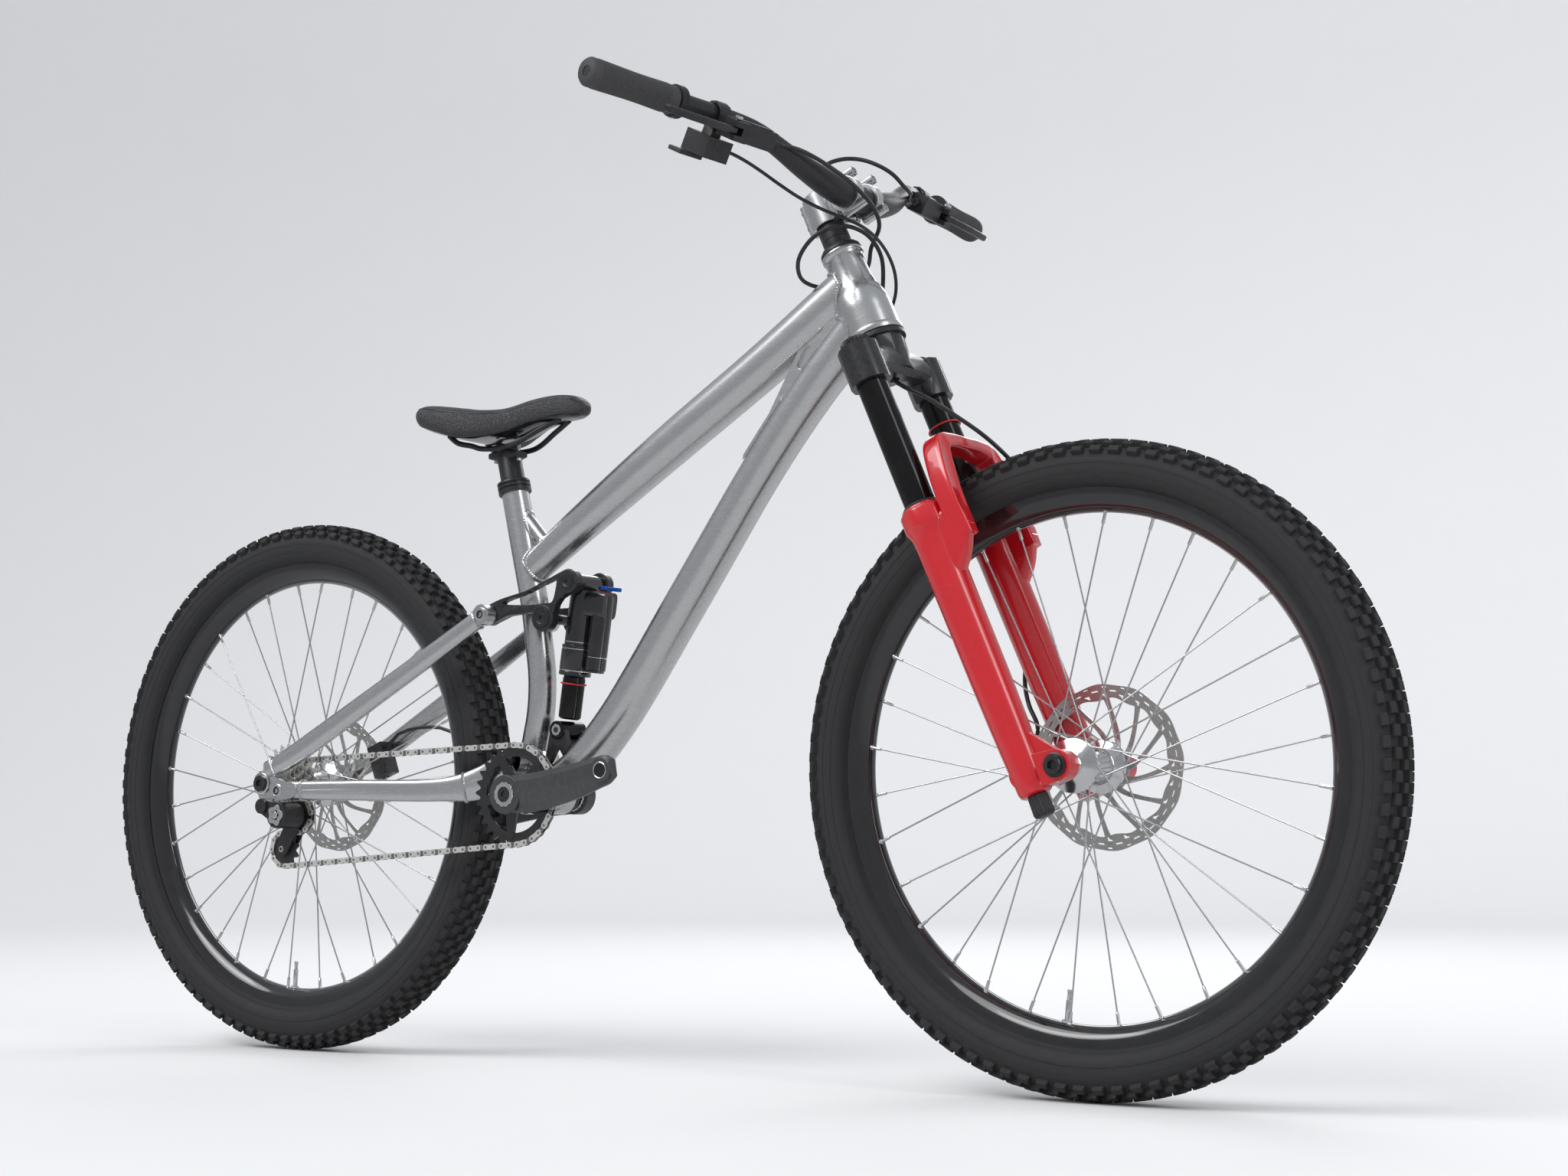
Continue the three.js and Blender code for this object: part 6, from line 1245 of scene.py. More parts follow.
def bar_point(side, share):
    """A place on the bar at a share of its half width."""
    out, back, rise = np.array(BAR_SHARES).T
    back, rise = (np.interp(share, out, column) for column in (back, rise))
    return head(BAR_HEIGHT, BAR_AHEAD) + np.array((-BAR_SWEEP * back, side * share * BAR_HALF, BAR_RISE * rise))


def control_frame(side):
    """Origin and directions of the controls: x ahead and 28 degrees down, y along the bar, z up."""
    inner, out = bar_point(side, 1 - GRIP_LENGTH / BAR_HALF), bar_point(side, 1)
    along = unit((out - inner) * side)
    level = np.array((cos(radians(28)), 0, -sin(radians(28))))
    ahead = unit(level - along * level.dot(along))
    return basis(inner, ahead, along, np.cross(ahead, along))


def in_controls(side, x, y, z):
    """A place in the directions of one side's controls."""
    return (control_frame(side) @ (x, y, z, 1))[:3]


def lever_exit(side, gap=JOIN):
    """Where a hose leaves its lever, or a gap further on."""
    return in_controls(side, 29, -side * (LEVER_MIDDLE + LEVER_HALF + gap), -6)


def port_place(share):
    """A place in the gusset's oval port, at a share of its length."""
    a = np.array(beside(BOTTOM_BRACKET, HEAD_LOWER, 0.72, 0.03))
    b = np.array(beside(SEAT_NODE, HEAD_UPPER, 0.85, -0.035))
    edge = atan2(b[1] - a[1], b[0] - a[0])
    along = (share - 0.5) * 19
    return (mix(a[0], b[0], 0.9) + 11.55 * sin(edge) + along * cos(edge),
        mix(a[1], b[1], 0.9) - 11.55 * cos(edge) + along * sin(edge))


def port_entry(share, start):
    """Into the gusset's slot: a quarter turn from the side that the cord comes from, square to its floor."""
    at, floor = port_place(share), 13.3
    reach = hypot(start[0] - at[0], start[1] - at[1])
    turn = (1 - np.arange(4) / 3) * pi / 2
    bend = [flat(beside(at, start, PORT_BEND * (1 - cos(t)) / reach, 0), floor + 3 + PORT_BEND * sin(t))
        for t in turn]
    return bend + [flat(at, floor)]


def front_hose_points():
    """From the left lever over the stem, down through the steerer and down the left leg to the caliper."""
    axle = (FORK_OFFSET, -FORK_LENGTH)
    angle = radians(152)
    middle = polar(axle, 92, angle)
    y = FRONT_HUB["spacing"] / 2 - ROTOR_INSET + 9

    def beyond(gap):
        far = 22 + gap
        return head(middle[1] - far * cos(angle), middle[0] + far * sin(angle), y)

    start = [lever_exit(1), lever_exit(1, 20), (886, 120, 1046), (888, 99, 1052), (887, 79, 1060)]
    start += [(880, 60, 1067), (868, 42, 1072), (853, 26, 1072), (838, 12, 1065), (828, 3, 1051)]
    run = [(148, 0, 0), (132, 0, 0), (60, 0, 0), (-50, 0, 0), (-108, 0, 0), (-124, 8, 0), (-148, 27, 3),
        (-186, 51, 8)]
    run += [(-228, 73, 18), (-262, 80, 42), (-286, 74, 72), (-304, 56, 92), (-326, 32, 97), (-375, 8, 97),
        (-431, -14, 94)]
    end = [(1051, 86, 469), (1059, 70, 444), (1072, 55, 420)]
    return start + [head(*p) for p in run] + end + [beyond(18), beyond(JOIN)]


def rear_hose_points():
    """From the right lever round the head tube and into the gusset's port."""
    start = [lever_exit(-1), lever_exit(-1, 20), (887, -121, 1042), (896, -102, 1036), (904, -83, 1028)]
    start += [(915, -64, 1016), (922, -44, 1003), (925, -23, 989), (918, -2, 975)]
    run = [(52, 30, 16), (44, 6, 36), (42, -24, 38), (46, -48, 18), (54, -54, -12), (64, -34, -40),
        (73, 2, -47)]
    run += [(71, 30, -32), (58, 42, -8), (38, 38, 16), (16, 20, 33), (-2, 4, 38), (-14, -12, 38)]
    return start + [head(*p) for p in run] + port_entry(0.8, plane(head(-14, -12)))


def shift_cable_points():
    """From the shift lever round the head tube and into the gusset's port."""
    start = [in_controls(-1, 4, SHIFTER_MIDDLE + SHIFTER_HALF + gap, -34)
        for gap in (JOIN, 20)] + [(836, -150, 1030)]
    start += [(838, -121, 1024), (843, -94, 1015), (853, -70, 1004), (869, -51, 993), (888, -37, 983)]
    run = [(61, 48, -24), (44, 53, -9), (25, 51, 7), (7, 42, 22), (-9, 25, 35), (-20, 2, 42), (-24, -26, 40)]
    return start + [head(*p) for p in run] + port_entry(0.15, plane(head(-24, -26)))


def make_hose(name, points, radius, node, start, end):
    """A round hose along a smooth line that takes the node's place and rides on no body."""
    path = even(curve(points, 40 * len(points)), 1.6)
    made = piece(name, tube(path, 2 * radius, sides=20), "hose", None, node, sharp=60)
    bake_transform(made)


def make_cords(size):
    """Makes both brake hoses and the shift cable."""
    rear, front, cable = rear_hose_points(), front_hose_points(), shift_cable_points()
    make_hose("Rear brake hose", rear, size.hose_radius, "brake_hose_rear",
        rear[-6], rear[3])
    make_hose("Shift cable", cable, size.cable_radius, "shift_cable", cable[-6],
        cable[3])
    make_hose("Front brake hose", front, size.hose_radius, "brake_hose_front",
        head(-120, 6), head(-236, 75, 24))


def make_stem():
    """Spacers, the stem with an arm to each bar clamp, the clamps with their lugs, and the bolts."""
    spacers = []
    z = 58 + 9.2
    for high in (9.2, 9.2, 9.4):
        spacers += lathe(hoop(14.8, 17, z, z + high - 0.2, 0.4), head(0, 0), STEER_UP, 56)
        z += high
    piece("Headset spacers", spacers, "satin_black", "steering", "headset_spacers")
    stem = lathe(hoop(14.8, 21, 0, STEM_HEIGHT, 0.8), head(STEM_FOOT, 0), STEER_UP, 72)
    spine = [head(STEM_FOOT + up, -19.5) for up in (2, 14, 28, 40)]
    stem += tube(spine, 13, 16.5, STEER_AHEAD, 40, 2.4)
    for side, name in SIDES:
        arm = [head(BAR_HEIGHT + up, ahead, side * y)
            for up, ahead, y in ((3, 12, 9), (2, 20, 14), (1, 27, 20), (0, 31, 21))]
        stem += tube(curve(arm, 20), ease([34, 33, 34, 36], 20), ease([14, 12, 11, 12], 20), STEER_UP, 44, 1.8)
        band = lathe(hoop(16.1, 20.8, -6, 6, 0.6), head(BAR_HEIGHT, BAR_AHEAD, side * CLAMP_INSET), ACROSS, 72)
        for way in (-1, 1):
            lug = [head(BAR_HEIGHT + way * CLAMP_BOLT, ahead, side * CLAMP_INSET)
                for ahead in (33, 46, 58, 64.8)]
            band += tube(lug, 9.6, 11.4, STEER_UP, 32, 2.0)
        piece("Bar clamp " + name, band, "satin_silver", "steering", "bar_clamp_" + name, bevel=0.6)
    piece("Stem", stem, "satin_silver", "steering", "stem", bevel=0.6)
    bolts = []
    for side in (-1, 1):
        for way in (-1, 1):
            bolts += bolt_head(head(BAR_HEIGHT + way * CLAMP_BOLT, BAR_AHEAD + 21, side * CLAMP_INSET),
                STEER_AHEAD, 3.9, 3.4)
    for up in (106, 127):
        bolts += bolt_pair(head(up, -22), 7.6, 3.9, 3.2)
    piece("Stem bolts", bolts, "satin_black", "steering")
    cap = lathe([(6.5, 0), (17, 0), (17.6, 0.6), (17, 2), (15, 2.6), (6.5, 2.6), (6.5, 0)],
        head(STEM_FOOT + STEM_HEIGHT, 0), STEER_UP, 56)
    piece("Steerer ring", cap, "polished", "steering")


def make_bar():
    """A tube along the bar's line. Its radius falls from 15.9 to 11.1 mm by a smooth step of the way out."""
    shares = np.concatenate((-np.array(BAR_SHARES)[::-1, 0], np.array(BAR_SHARES)[1:, 0]))
    line = [bar_point(np.sign(s) or 1, abs(s)) for s in shares]
    path = even(curve(line, 400), 3)
    out = np.abs(path[:, 1]) / BAR_HALF
    t = np.clip((0.36 - out) / 0.26, 0, 1)
    radius = mix(11.1, 15.9, t * t * (3 - 2 * t))
    piece("Handlebar", tube(path, 2 * radius, sides=40), "satin_black", "steering", "handlebar")


def make_grip(side, name):
    """A turned grip whose ribs are a sine wave of 0.45 mm, and its lock ring."""
    inner, end = bar_point(side, 1 - GRIP_LENGTH / BAR_HALF), bar_point(side, 1)
    axis = unit(end - inner)
    far = np.linalg.norm(end - inner)
    z = np.linspace(12, far - 3, 420)
    ribs = np.where((z > 24) & (z < far - 10), 0.45 * np.sin(2 * pi * z / 2.7), 0)
    swell = 15.4 + 0.5 * np.cos(2 * pi * z / far)
    rows = [(11.4, 11.4), (15.6, 11.6)] + list(zip(swell + ribs, z)) + [(15.4, far - 2), (13.6, far + 0.4),
        (6, far + 0.8), (5.4, far - 1.5), (0, far - 1.5)]
    rows = [(0, 11.4)] + rows
    piece("Grip " + name, lathe(rows, inner, axis, 48), "grip", "steering", "grip_" + name, sharp=60)
    lock = [(11.4, 0), (17.2, 0), (18, 0.8), (18, 3.4), (17.3, 4), (17.3, 5.2), (18, 5.8), (18, 10.2),
        (17.2, 11), (11.4, 11), (11.4, 0)]
    piece("Lock ring " + name, lathe(lock, inner, axis, 56), "dark_alloy", "steering")
    up = control_frame(side)[:3, 2]
    piece("Lock ring bolt " + name, bolt_head(inner + axis * 5.5 - up * 18.6, -up, 2.6, 2.2), "satin_silver",
        "steering")


def make_lever(side, name):
    """The lever's body, cap, bolts, blade and the nut that its hose leaves by."""
    up = control_frame(side)[:3, 2]
    softened("lever_body_" + name, "Lever body " + name, "satin_black", "steering", 2.6)
    softened("brake_lever_" + name, "Brake lever " + name, "satin_black", "brake_lever_" + name, 2.2)
    y = -side * LEVER_MIDDLE
    details = bolt_head(in_controls(side, 40, -side * 53, 5.2 + 4), up, 4.6, 3)
    for way in (-1, 1):
        details += bolt_head(in_controls(side, 35, y + way * 26, 5.4), up, 2.2, 1.4)
    cap_path = curve([in_controls(side, 29, y + t, 5.2) for t in (-27, 0, 27)], 10)
    piece("Lever bolts " + name, details, "satin_silver", "steering")
    piece("Lever cap " + name, tube(cap_path, 2.4, 19, up, 32, 3), "plastic", "steering")
    nut = lathe([(2.8, 0), (4.4, 0), (4.8, 0.6), (4.8, 6), (3.6, 9), (2.8, 9), (2.8, 0)], lever_exit(side),
        lever_exit(side, 8) - lever_exit(side), 24, lambda a, r, w: 0.4 * np.cos(6 * a) * (r > 4.5))
    piece("Hose nut " + name, nut, "satin_black", "steering")


def make_cockpit():
    """Makes the stem, the bar, the grips and the levers."""
    make_stem()
    make_bar()
    for side, name in SIDES:
        make_grip(side, name)
        make_lever(side, name)
    softened("shifter_paddle", "Shifter paddle", "plastic", "shifter_paddle", 1.2)


# Fork.
def make_lowers():
    """Two turned legs with their axle lugs, joined by an arch. The arch is a squared tube along a line in front
    of the legs, with a pocket sunk into its front and a relief into its back, and a web runs to it from each
    leg."""
    legs, seals = [], []
    for side in (-1, 1):
        rows = [(0, FORK_FOOT), (14.5, FORK_FOOT), (17.4, FORK_FOOT + 1.6), (18.9, FORK_FOOT + 6),
            (19.4, FORK_FOOT + 18), (19.95, -597.7), (21.2, -548), (22.05, -495.5), (22.5, -380), (22.6, -336),
            (23, -324), (24.6, -317.5), (25.8, -315), (26, -313), (26, -297), (25.4, -294.6), (24, -293.4),
            (24, -291.6), (22.8, -290.6), (18.6, -290.4), (18.2, -291.4), (18.2, -299), (0, -299)]

        def hexed(a, r, w):
            return 0.75 * np.cos(6 * a) * ((w > -318) & (w < -294) & (r > 24))

        legs += lathe(rows, head(0, LEG_AHEAD, side * LEG_INSET), STEER_UP, 96, hexed)
        seals += lathe([(17.7, -291), (21.6, -291), (21.6, -289), (19.4, -286.6), (17.7, -286.4), (17.7, -291)],
            head(0, LEG_AHEAD, side * LEG_INSET), STEER_UP, 64)
        root, tip = (LEG_AHEAD, 6.8 - FORK_LENGTH), (FORK_OFFSET, -FORK_LENGTH)
        outline = link_outline(root, tip, 18, 17, 22)
        lug = plate(outline, -11.4, 11.4)
        turn = basis(head(0, 0, side * 67.4), STEER_AHEAD, ACROSS, STEER_UP)
        legs += moved(lug, turn)
        brace = link_outline((LEG_AHEAD + 10, 46 - FORK_LENGTH), (FORK_OFFSET - 4, 8 - FORK_LENGTH), 8, 12, 14)
        rib = plate(brace, -5.4, 5.4)
        legs += moved(rib, turn)
    spine = [(0.86, -0.74, 20), (0.865, -0.5, 23), (0.87, -0.1, 24), (0.805, 0.36, 25), (0.655, 0.8, 23),
        (0.4, 0.885, 17)]
    left = [(out * ARCH_HALF, LOWERS_TOP + up * ARCH_HEIGHT, wide) for out, up, wide in spine]
    right = [(-y, up, wide) for y, up, wide in left[::-1]]
    whole = left + [(0, LOWERS_TOP + 0.895 * ARCH_HEIGHT, 15.5)] + right
    count = 140
    path = curve(np.array([head(up, 44.5, y) for y, up, _ in whole]), count)
    wide = ease([w for _, _, w in whole], count)
    grid = tube_grid(path, 26, wide, STEER_AHEAD, 64, 2.3)
    share = np.abs(np.linspace(-1, 1, count))
    a = np.linspace(0, 2 * pi, 64, endpoint=False)
    flank = np.clip(1.35 - np.abs(np.cos(a)) * 2.2, 0, 1)
    front, back = flank * (np.sin(a) > 0), flank * (np.sin(a) < 0)
    pocket = 3.2 * np.clip((0.8 - share) * 14, 0, 1) * np.clip((share - 0.3) * 14, 0, 1)
    relief = 3 * np.clip((0.9 - share) * 8, 0, 1)
    grid = grid - STEER_AHEAD * (pocket[:, None] * front - relief[:, None] * back)[..., None]
    for side in (-1, 1):
        root = [head(up, ahead, side * y)
            for up, ahead, y in ((-344, 6, 68.5), (-338, 20, 70), (-329, 36, 71), (-321, 51, 71))]
        legs += tube(curve(root, 24), ease([88, 72, 52, 32], 24), ease([26, 23, 22, 18], 24), STEER_UP, 56, 1.9)
    piece("Fork lowers", legs, "fork_red", "fork_lowers", "fork_lowers", bevel=1.6)
    piece("Fork arch", closed_grid(grid), "fork_red", "fork_lowers", sharp=50)
    piece("Fork seals", seals, "satin_black", "fork_lowers")


def make_fork_axle():
    """The axle with a ring and a six-sided cap at each end."""
    ends, rings = [], []
    for side in (-1, 1):
        at = head(-FORK_LENGTH, FORK_OFFSET, side * 79.2)
        rings += lathe([(7.4, 0), (12.4, 0), (13, 0.5), (13, 1.4), (12, 2), (7.4, 2), (7.4, 0)], at,
            ACROSS * side, 48)
        ends += lathe([(0, -1), (9.6, -1), (10.2, -0.4), (10.2, 5), (9.4, 6), (5.6, 6), (5, 5.4), (5, 1),
            (0, 1)], at + ACROSS * side * 2, ACROSS * side, 48,
            lambda a, r, w: 0.35 * np.cos(6 * a) * (r < 6) * (r > 4))
    axle = cylinder(head(-FORK_LENGTH, FORK_OFFSET, -80), head(-FORK_LENGTH, FORK_OFFSET, 80), 7.3, steps=32)
    piece("Front axle", axle + ends, "forged_black", "fork_lowers", "front_axle")
    piece("Axle end rings", rings, "dark_alloy", "fork_lowers")


def make_uppers():
    """Stanchions, travel ring, crown, compression dial, air cap, rebound knob and caliper."""
    for side, name in SIDES:
        tube_rows = [(0, -466), (17, -466), (STANCHION_RADIUS, -465), (STANCHION_RADIUS, -86.6), (17, -86),
            (0, -86)]
        piece("Stanchion " + name, lathe(tube_rows, head(0, LEG_AHEAD, side * LEG_INSET), STEER_UP, 72),
            "stanchion", "steering", "stanchion_" + name)
    ring = bead_profile(STANCHION_RADIUS + 1.3, -168, 1.2)
    piece("Travel ring", lathe(ring, head(0, LEG_AHEAD, LEG_INSET), STEER_UP, 64), "red_rubber", "steering")
    softened("fork_crown", "Fork crown", "forged_black", "steering", 2.0)
    rim = [(8.2, 0), (10.4, 0), (10.8, 0.4), (10.4, 1.2), (8.2, 1.2), (8.2, 0)]
    piece("Steerer foot ring", lathe(rim, head(-108.3, 0), -STEER_UP, 40), "polished", "steering")
    at = head(-85.7, LEG_AHEAD, -LEG_INSET)
    dial = [(0, 0), (16.2, 0), (17, 0.8), (17, 7.4), (15.6, 9), (9, 9.6), (8.4, 10.6), (0, 10.6)]
    piece("Fork dial", lathe(dial, at, STEER_UP, 120,
        lambda a, r, w: 0.7 * np.cos(30 * a) * (r > 15) * (w > 0.5)), "satin_black", "fork_dial", "fork_dial")
    top = head(-85.7, LEG_AHEAD, LEG_INSET)
    cap = [(0, 0), (15.6, 0), (16.2, 0.6), (16.2, 2.4), (11.4, 3.6), (11, 7), (10, 8), (0, 8)]
    piece("Air cap", lathe(cap, top, STEER_UP, 64), "satin_black", "steering")
    at = head(FORK_FOOT, LEG_AHEAD, -LEG_INSET)
    knob = [(0, 0.4), (10.2, 0.4), (11, 1.2), (11, 20), (10, 22.6), (7.6, 24), (0, 24)]
    piece("Rebound knob", lathe(knob, at, -STEER_UP, 96,
        lambda a, r, w: 0.8 * np.cos(16 * a) * (r > 9.9) * (w > 3)), "plastic", "rebound_knob", "rebound_knob")
    softened("front_caliper", "Front caliper", "forged_black", "fork_lowers", 1.4)


def make_fork():
    """Makes the fork's pieces in turn."""
    make_lowers()
    make_fork_axle()
    make_uppers()


# Drive.
def pitch_radius(teeth):
    """Half the pitch over the sine of half a tooth's angle."""
    return PITCH / 2 / sin(pi / teeth)


def toothed(at, teeth, turn=0.0, steps=10, rise=4.2, drop=3.6):
    """An outline whose radius runs between the roller seats and the tooth tips: a cosine to a low power."""
    a = turn + 2 * pi * np.arange(teeth * steps) / (teeth * steps)
    c = np.cos(teeth * (a - turn))
    r = pitch_radius(teeth) + np.where(c > 0, rise * np.abs(c) ** 1.2, -drop * np.abs(c) ** 0.7)
    return np.column_stack((at[0] + r * np.cos(a), at[1] + r * np.sin(a)))


def chain_line():
    """Arcs round four toothed wheels and the straight lines that touch them. A line leaves a wheel at the
    bearing to the next, less the angle whose cosine is the signed radii's difference over their distance."""
    circles = [
        (*BOTTOM_BRACKET, pitch_radius(CHAINRING_TEETH), 1),
        (*REAR, pitch_radius(DRIVEN_TEETH), 1),
        (*GUIDE_PULLEY, pitch_radius(PULLEY_TEETH), -1),
        (*TENSION_PULLEY, pitch_radius(PULLEY_TEETH), 1),
    ]
    count = len(circles)
    leave, reach = [], []
    for i, a in enumerate(circles):
        b = circles[(i + 1) % count]
        dx, dz = b[0] - a[0], b[1] - a[1]
        far, way = hypot(dx, dz), atan2(dz, dx)
        lean = acos(np.clip((a[3] * a[2] - b[3] * b[2]) / far, -1, 1))
        normal = way - lean
        leave.append(normal if a[3] > 0 else normal + pi)
        reach.append(normal if b[3] > 0 else normal + pi)
    line = []
    for i, c in enumerate(circles):
        start = reach[(i + count - 1) % count]
        turn = (c[3] * (leave[i] - start)) % (2 * pi)
        line.append(arc(c, c[2], start, start + c[3] * turn, max(4, int(turn * c[2] / 2))))
    return np.vstack(line)


def make_chain():
    """Links of two plates in turn, outer and inner, laid between the pins, which are spread evenly along the
    chain's line. A plate's half height has a waist: 4.5 less 1.4 times a bell curve of the cosine."""
    line = chain_line()
    far = np.linalg.norm(np.diff(np.vstack((line, line[:1])), axis=0), axis=1)
    keep = far > 1e-6
    line = line[keep]
    total = far[keep].sum()
    links = int(round(total / PITCH / 2)) * 2
    fine = even(line, total / (links * 8), closed=True)
    pins = np.array([fine[int(round(k * len(fine) / links)) % len(fine)] for k in range(links)])
    run = np.roll(pins, -1, 0) - pins
    middle = pins + run / 2
    turn = unit(run)
    m = np.zeros((links, 4, 4))
    m[:, 0, 0], m[:, 2, 0] = turn[:, 0], turn[:, 1]
    m[:, 1, 1] = 1
    m[:, 0, 2], m[:, 2, 2] = -turn[:, 1], turn[:, 0]
    m[:, 0, 3], m[:, 2, 3], m[:, 3, 3] = middle[:, 0], middle[:, 1], 1
    m[:, 1, 3] = -CHAIN_LINE
    a = np.linspace(0, 2 * pi, 20, endpoint=False)
    reach = PITCH / 2 + 3.9
    outline = np.column_stack((reach * np.sign(np.cos(a)) * np.abs(np.cos(a)) ** 0.8,
        (4.5 - 1.4 * np.exp(-((np.cos(a) / 0.42) ** 2))) * np.sign(np.sin(a)) * np.abs(np.sin(a)) ** 0.62))
    outer, inner = [], []
    for kind, (near, out) in ((0, (2.5, 3.3)), (1, (1.6, 2.4))):
        for side in (-1, 1):
            link = plate(outline * (1.0 if kind == 0 else 0.95), side * near, side * out)
            made_links = repeated(link, m[kind::2])
            if kind == 0:
                outer += made_links
            else:
                inner += made_links
    pin_m = np.tile(np.eye(4), (links, 1, 1))
    pin_m[:, 0, 3], pin_m[:, 2, 3], pin_m[:, 1, 3] = pins[:, 0], pins[:, 1], -CHAIN_LINE
    roller = lathe([(3.7, -1.6), (3.8, -1.4), (3.8, 1.4), (3.7, 1.6)], (0, 0, 0), ACROSS, 12)
    rivet = lathe([(1.5, -3.7), (1.8, -3.4), (1.8, 3.4), (1.5, 3.7)], (0, 0, 0), ACROSS, 10)
    for name, shape, finish_name, node in (
        ("Chain", inner + repeated(roller, pin_m), "chain_dark", "chain"),
        ("Chain outer plates", outer, "chain_steel", None),
        ("Chain rivets", repeated(rivet, pin_m), "chain_dark", None),
    ):
        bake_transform(piece(name, shape, finish_name, None, node, sharp=40))


def make_chainring():
    """A toothed plate with a wide hole, bridged by five arms that lean against the turn."""
    teeth = toothed(BOTTOM_BRACKET, CHAINRING_TEETH, CRANK_ANGLE)
    hole = ring_of(BOTTOM_BRACKET, 48.5, len(teeth), CRANK_ANGLE)
    ring = plate(teeth, -CHAIN_LINE - RING_HALF, -CHAIN_LINE + RING_HALF, hole)
    arms = []
    for k in range(5):
        a = CRANK_ANGLE + 2 * pi * (k + 0.5) / 5
        foot, tip = polar(BOTTOM_BRACKET, 14, a - 0.2), polar(BOTTOM_BRACKET, 51, a)
        arms += plate(link_outline(foot, tip, 9.5, 5.2), -53.8, -50.2)
    boss = lathe(hoop(14.8, 20, -49.4, -54.6, 1), flat(BOTTOM_BRACKET), ACROSS, 64)
    rim = lathe(hoop(46.5, 51, -50.4, -53.6, 0.5), flat(BOTTOM_BRACKET), ACROSS, 120)
    piece("Chainring", ring + arms + boss + rim, "gloss_black", "crankset", "chainring", sharp=30)


def make_cranks():
    """Each arm is an eight-sided section carried along seven stations from the spindle to the pedal's eye."""
    for side, name in SIDES:
        eye = polar(BOTTOM_BRACKET, -side * CRANK_LENGTH, CRANK_ANGLE)
        along = unit(flat(eye) - flat(BOTTOM_BRACKET))
        left = np.cross(ACROSS, along) * -1
        rows = [(-0.07, 0, 0.72, 0), (0.02, 0, 1, 0), (0.3, 0.3, 1.06, 0.032), (0.7, 0.8, 0.96, 0.03),
            (0.93, 0.98, 0.84, 0.01), (1.03, 1, 0.78, 0), (1.09, 1, 0.52, 0)]
        stations = np.array([(*beside(BOTTOM_BRACKET, eye, far, -sag), mix(65.5, 84, out), share * 22)
            for far, out, share, sag in rows])
        x, z, y, high = (ease(stations[:, k], 64) for k in range(4))
        path = np.stack((x, side * y, z), 1)
        corners = np.array([(-1, -0.8), (-0.6, -1), (0.2, -1), (1, -0.1), (1, 0.66), (0.45, 1), (-0.6, 1),
            (-1, 0.85)])
        grid = path[:, None] + ACROSS * side * (6.6 * corners[None, :, :1]) + left * (high[:, None]
            * corners[None, :, 1])[..., None]
        arm = closed_grid(grid)
        arm += lathe([(14.8, 57), (23.2, 57), (24, 57.8), (24, 73), (23.2, 74), (14.8, 74), (14.8, 57)],
            flat(BOTTOM_BRACKET), ACROSS * side, 64)
        arm += lathe([(9.4, 77.2), (14.2, 77.2), (15, 78), (15, 90.4), (14.4, 91), (9.4, 91), (9.4, 77.2)],
            flat(eye), ACROSS * side, 56)
        edge = lathe([(8.2, 89), (9.8, 89), (9.8, 91.3), (9.2, 91.6), (8.6, 91.3), (8.2, 89)], flat(eye),
            ACROSS * side, 48)
        piece("Pedal hole ring " + name, edge, "polished", "crankset")
        # Painted shade: a dark disc sunk in the pedal's eye stands for the shade inside its hole.
        piece("Pedal hole " + name, lathe([(0, 84), (8.5, 84), (8.5, 90.9), (0, 90.9)], flat(eye),
            ACROSS * side, 40), "painted_hole_shade", "crankset")
        piece("Crank " + name, arm, "crank_grey", "crankset", "crank_" + name, bevel=0.9, sharp=15)


def make_spindle():
    """The spindle with its notched ring and bolt on the right and its preload ring on the left."""
    end = flat(BOTTOM_BRACKET, -74)
    notched = lathe([(9.4, -1), (14.6, -1), (15.2, -0.4), (15.2, 0.8), (14.6, 1.4), (12.6, 1.4), (12.2, 0.9),
        (9.4, 0.9), (9.4, -1)], end, -ACROSS, 96, lambda a, r, w: -0.8 * (np.cos(12 * a) > 0.5) * (r > 14))
    piece("Spindle ring", notched, "polished", "crankset")
    piece("Spindle bolt", bolt_head(end - ACROSS * 0.2, -ACROSS, 9.3, 3), "forged_black", "crankset")
    piece("Preload ring", lathe(hoop(14.9, 20.4, 51.6, 56.6, 0.8, 0.6), flat(BOTTOM_BRACKET), ACROSS, 64,
        lambda a, r, w: 0.4 * np.cos(24 * a) * (r > 20)), "polished", "crankset")
    spindle = cylinder(flat(BOTTOM_BRACKET, -72), flat(BOTTOM_BRACKET, 72), 14.4, steps=48)
    piece("Spindle", spindle, "dark_alloy", "crankset")


def make_cassette():
    """Seven sprockets 5 mm apart with a spacer each, and the lock ring."""
    sprockets = []
    for k, teeth in enumerate(SPROCKETS):
        y = -CHAIN_LINE - 10 + 5 * k
        sprockets += plate(toothed(REAR, teeth, 0.1 * k, 8), y - 0.75, y + 0.75,
            ring_of(REAR, 16.6, teeth * 8, 0.1 * k))
        sprockets += lathe(hoop(14.6, 17, y - 2.4, y + 2.4), flat(REAR), ACROSS, 40)
    piece("Cassette", sprockets, "chain_steel", "cassette", "cassette", sharp=30)
    lock = lathe([(9, 0), (16, 0), (16.6, 0.6), (16.6, 2.2), (15.6, 2.8), (9, 2.8), (9, 0)], flat(REAR, -64.2),
        -ACROSS, 48)
    piece("Cassette lock ring", lock, "satin_silver", "cassette")


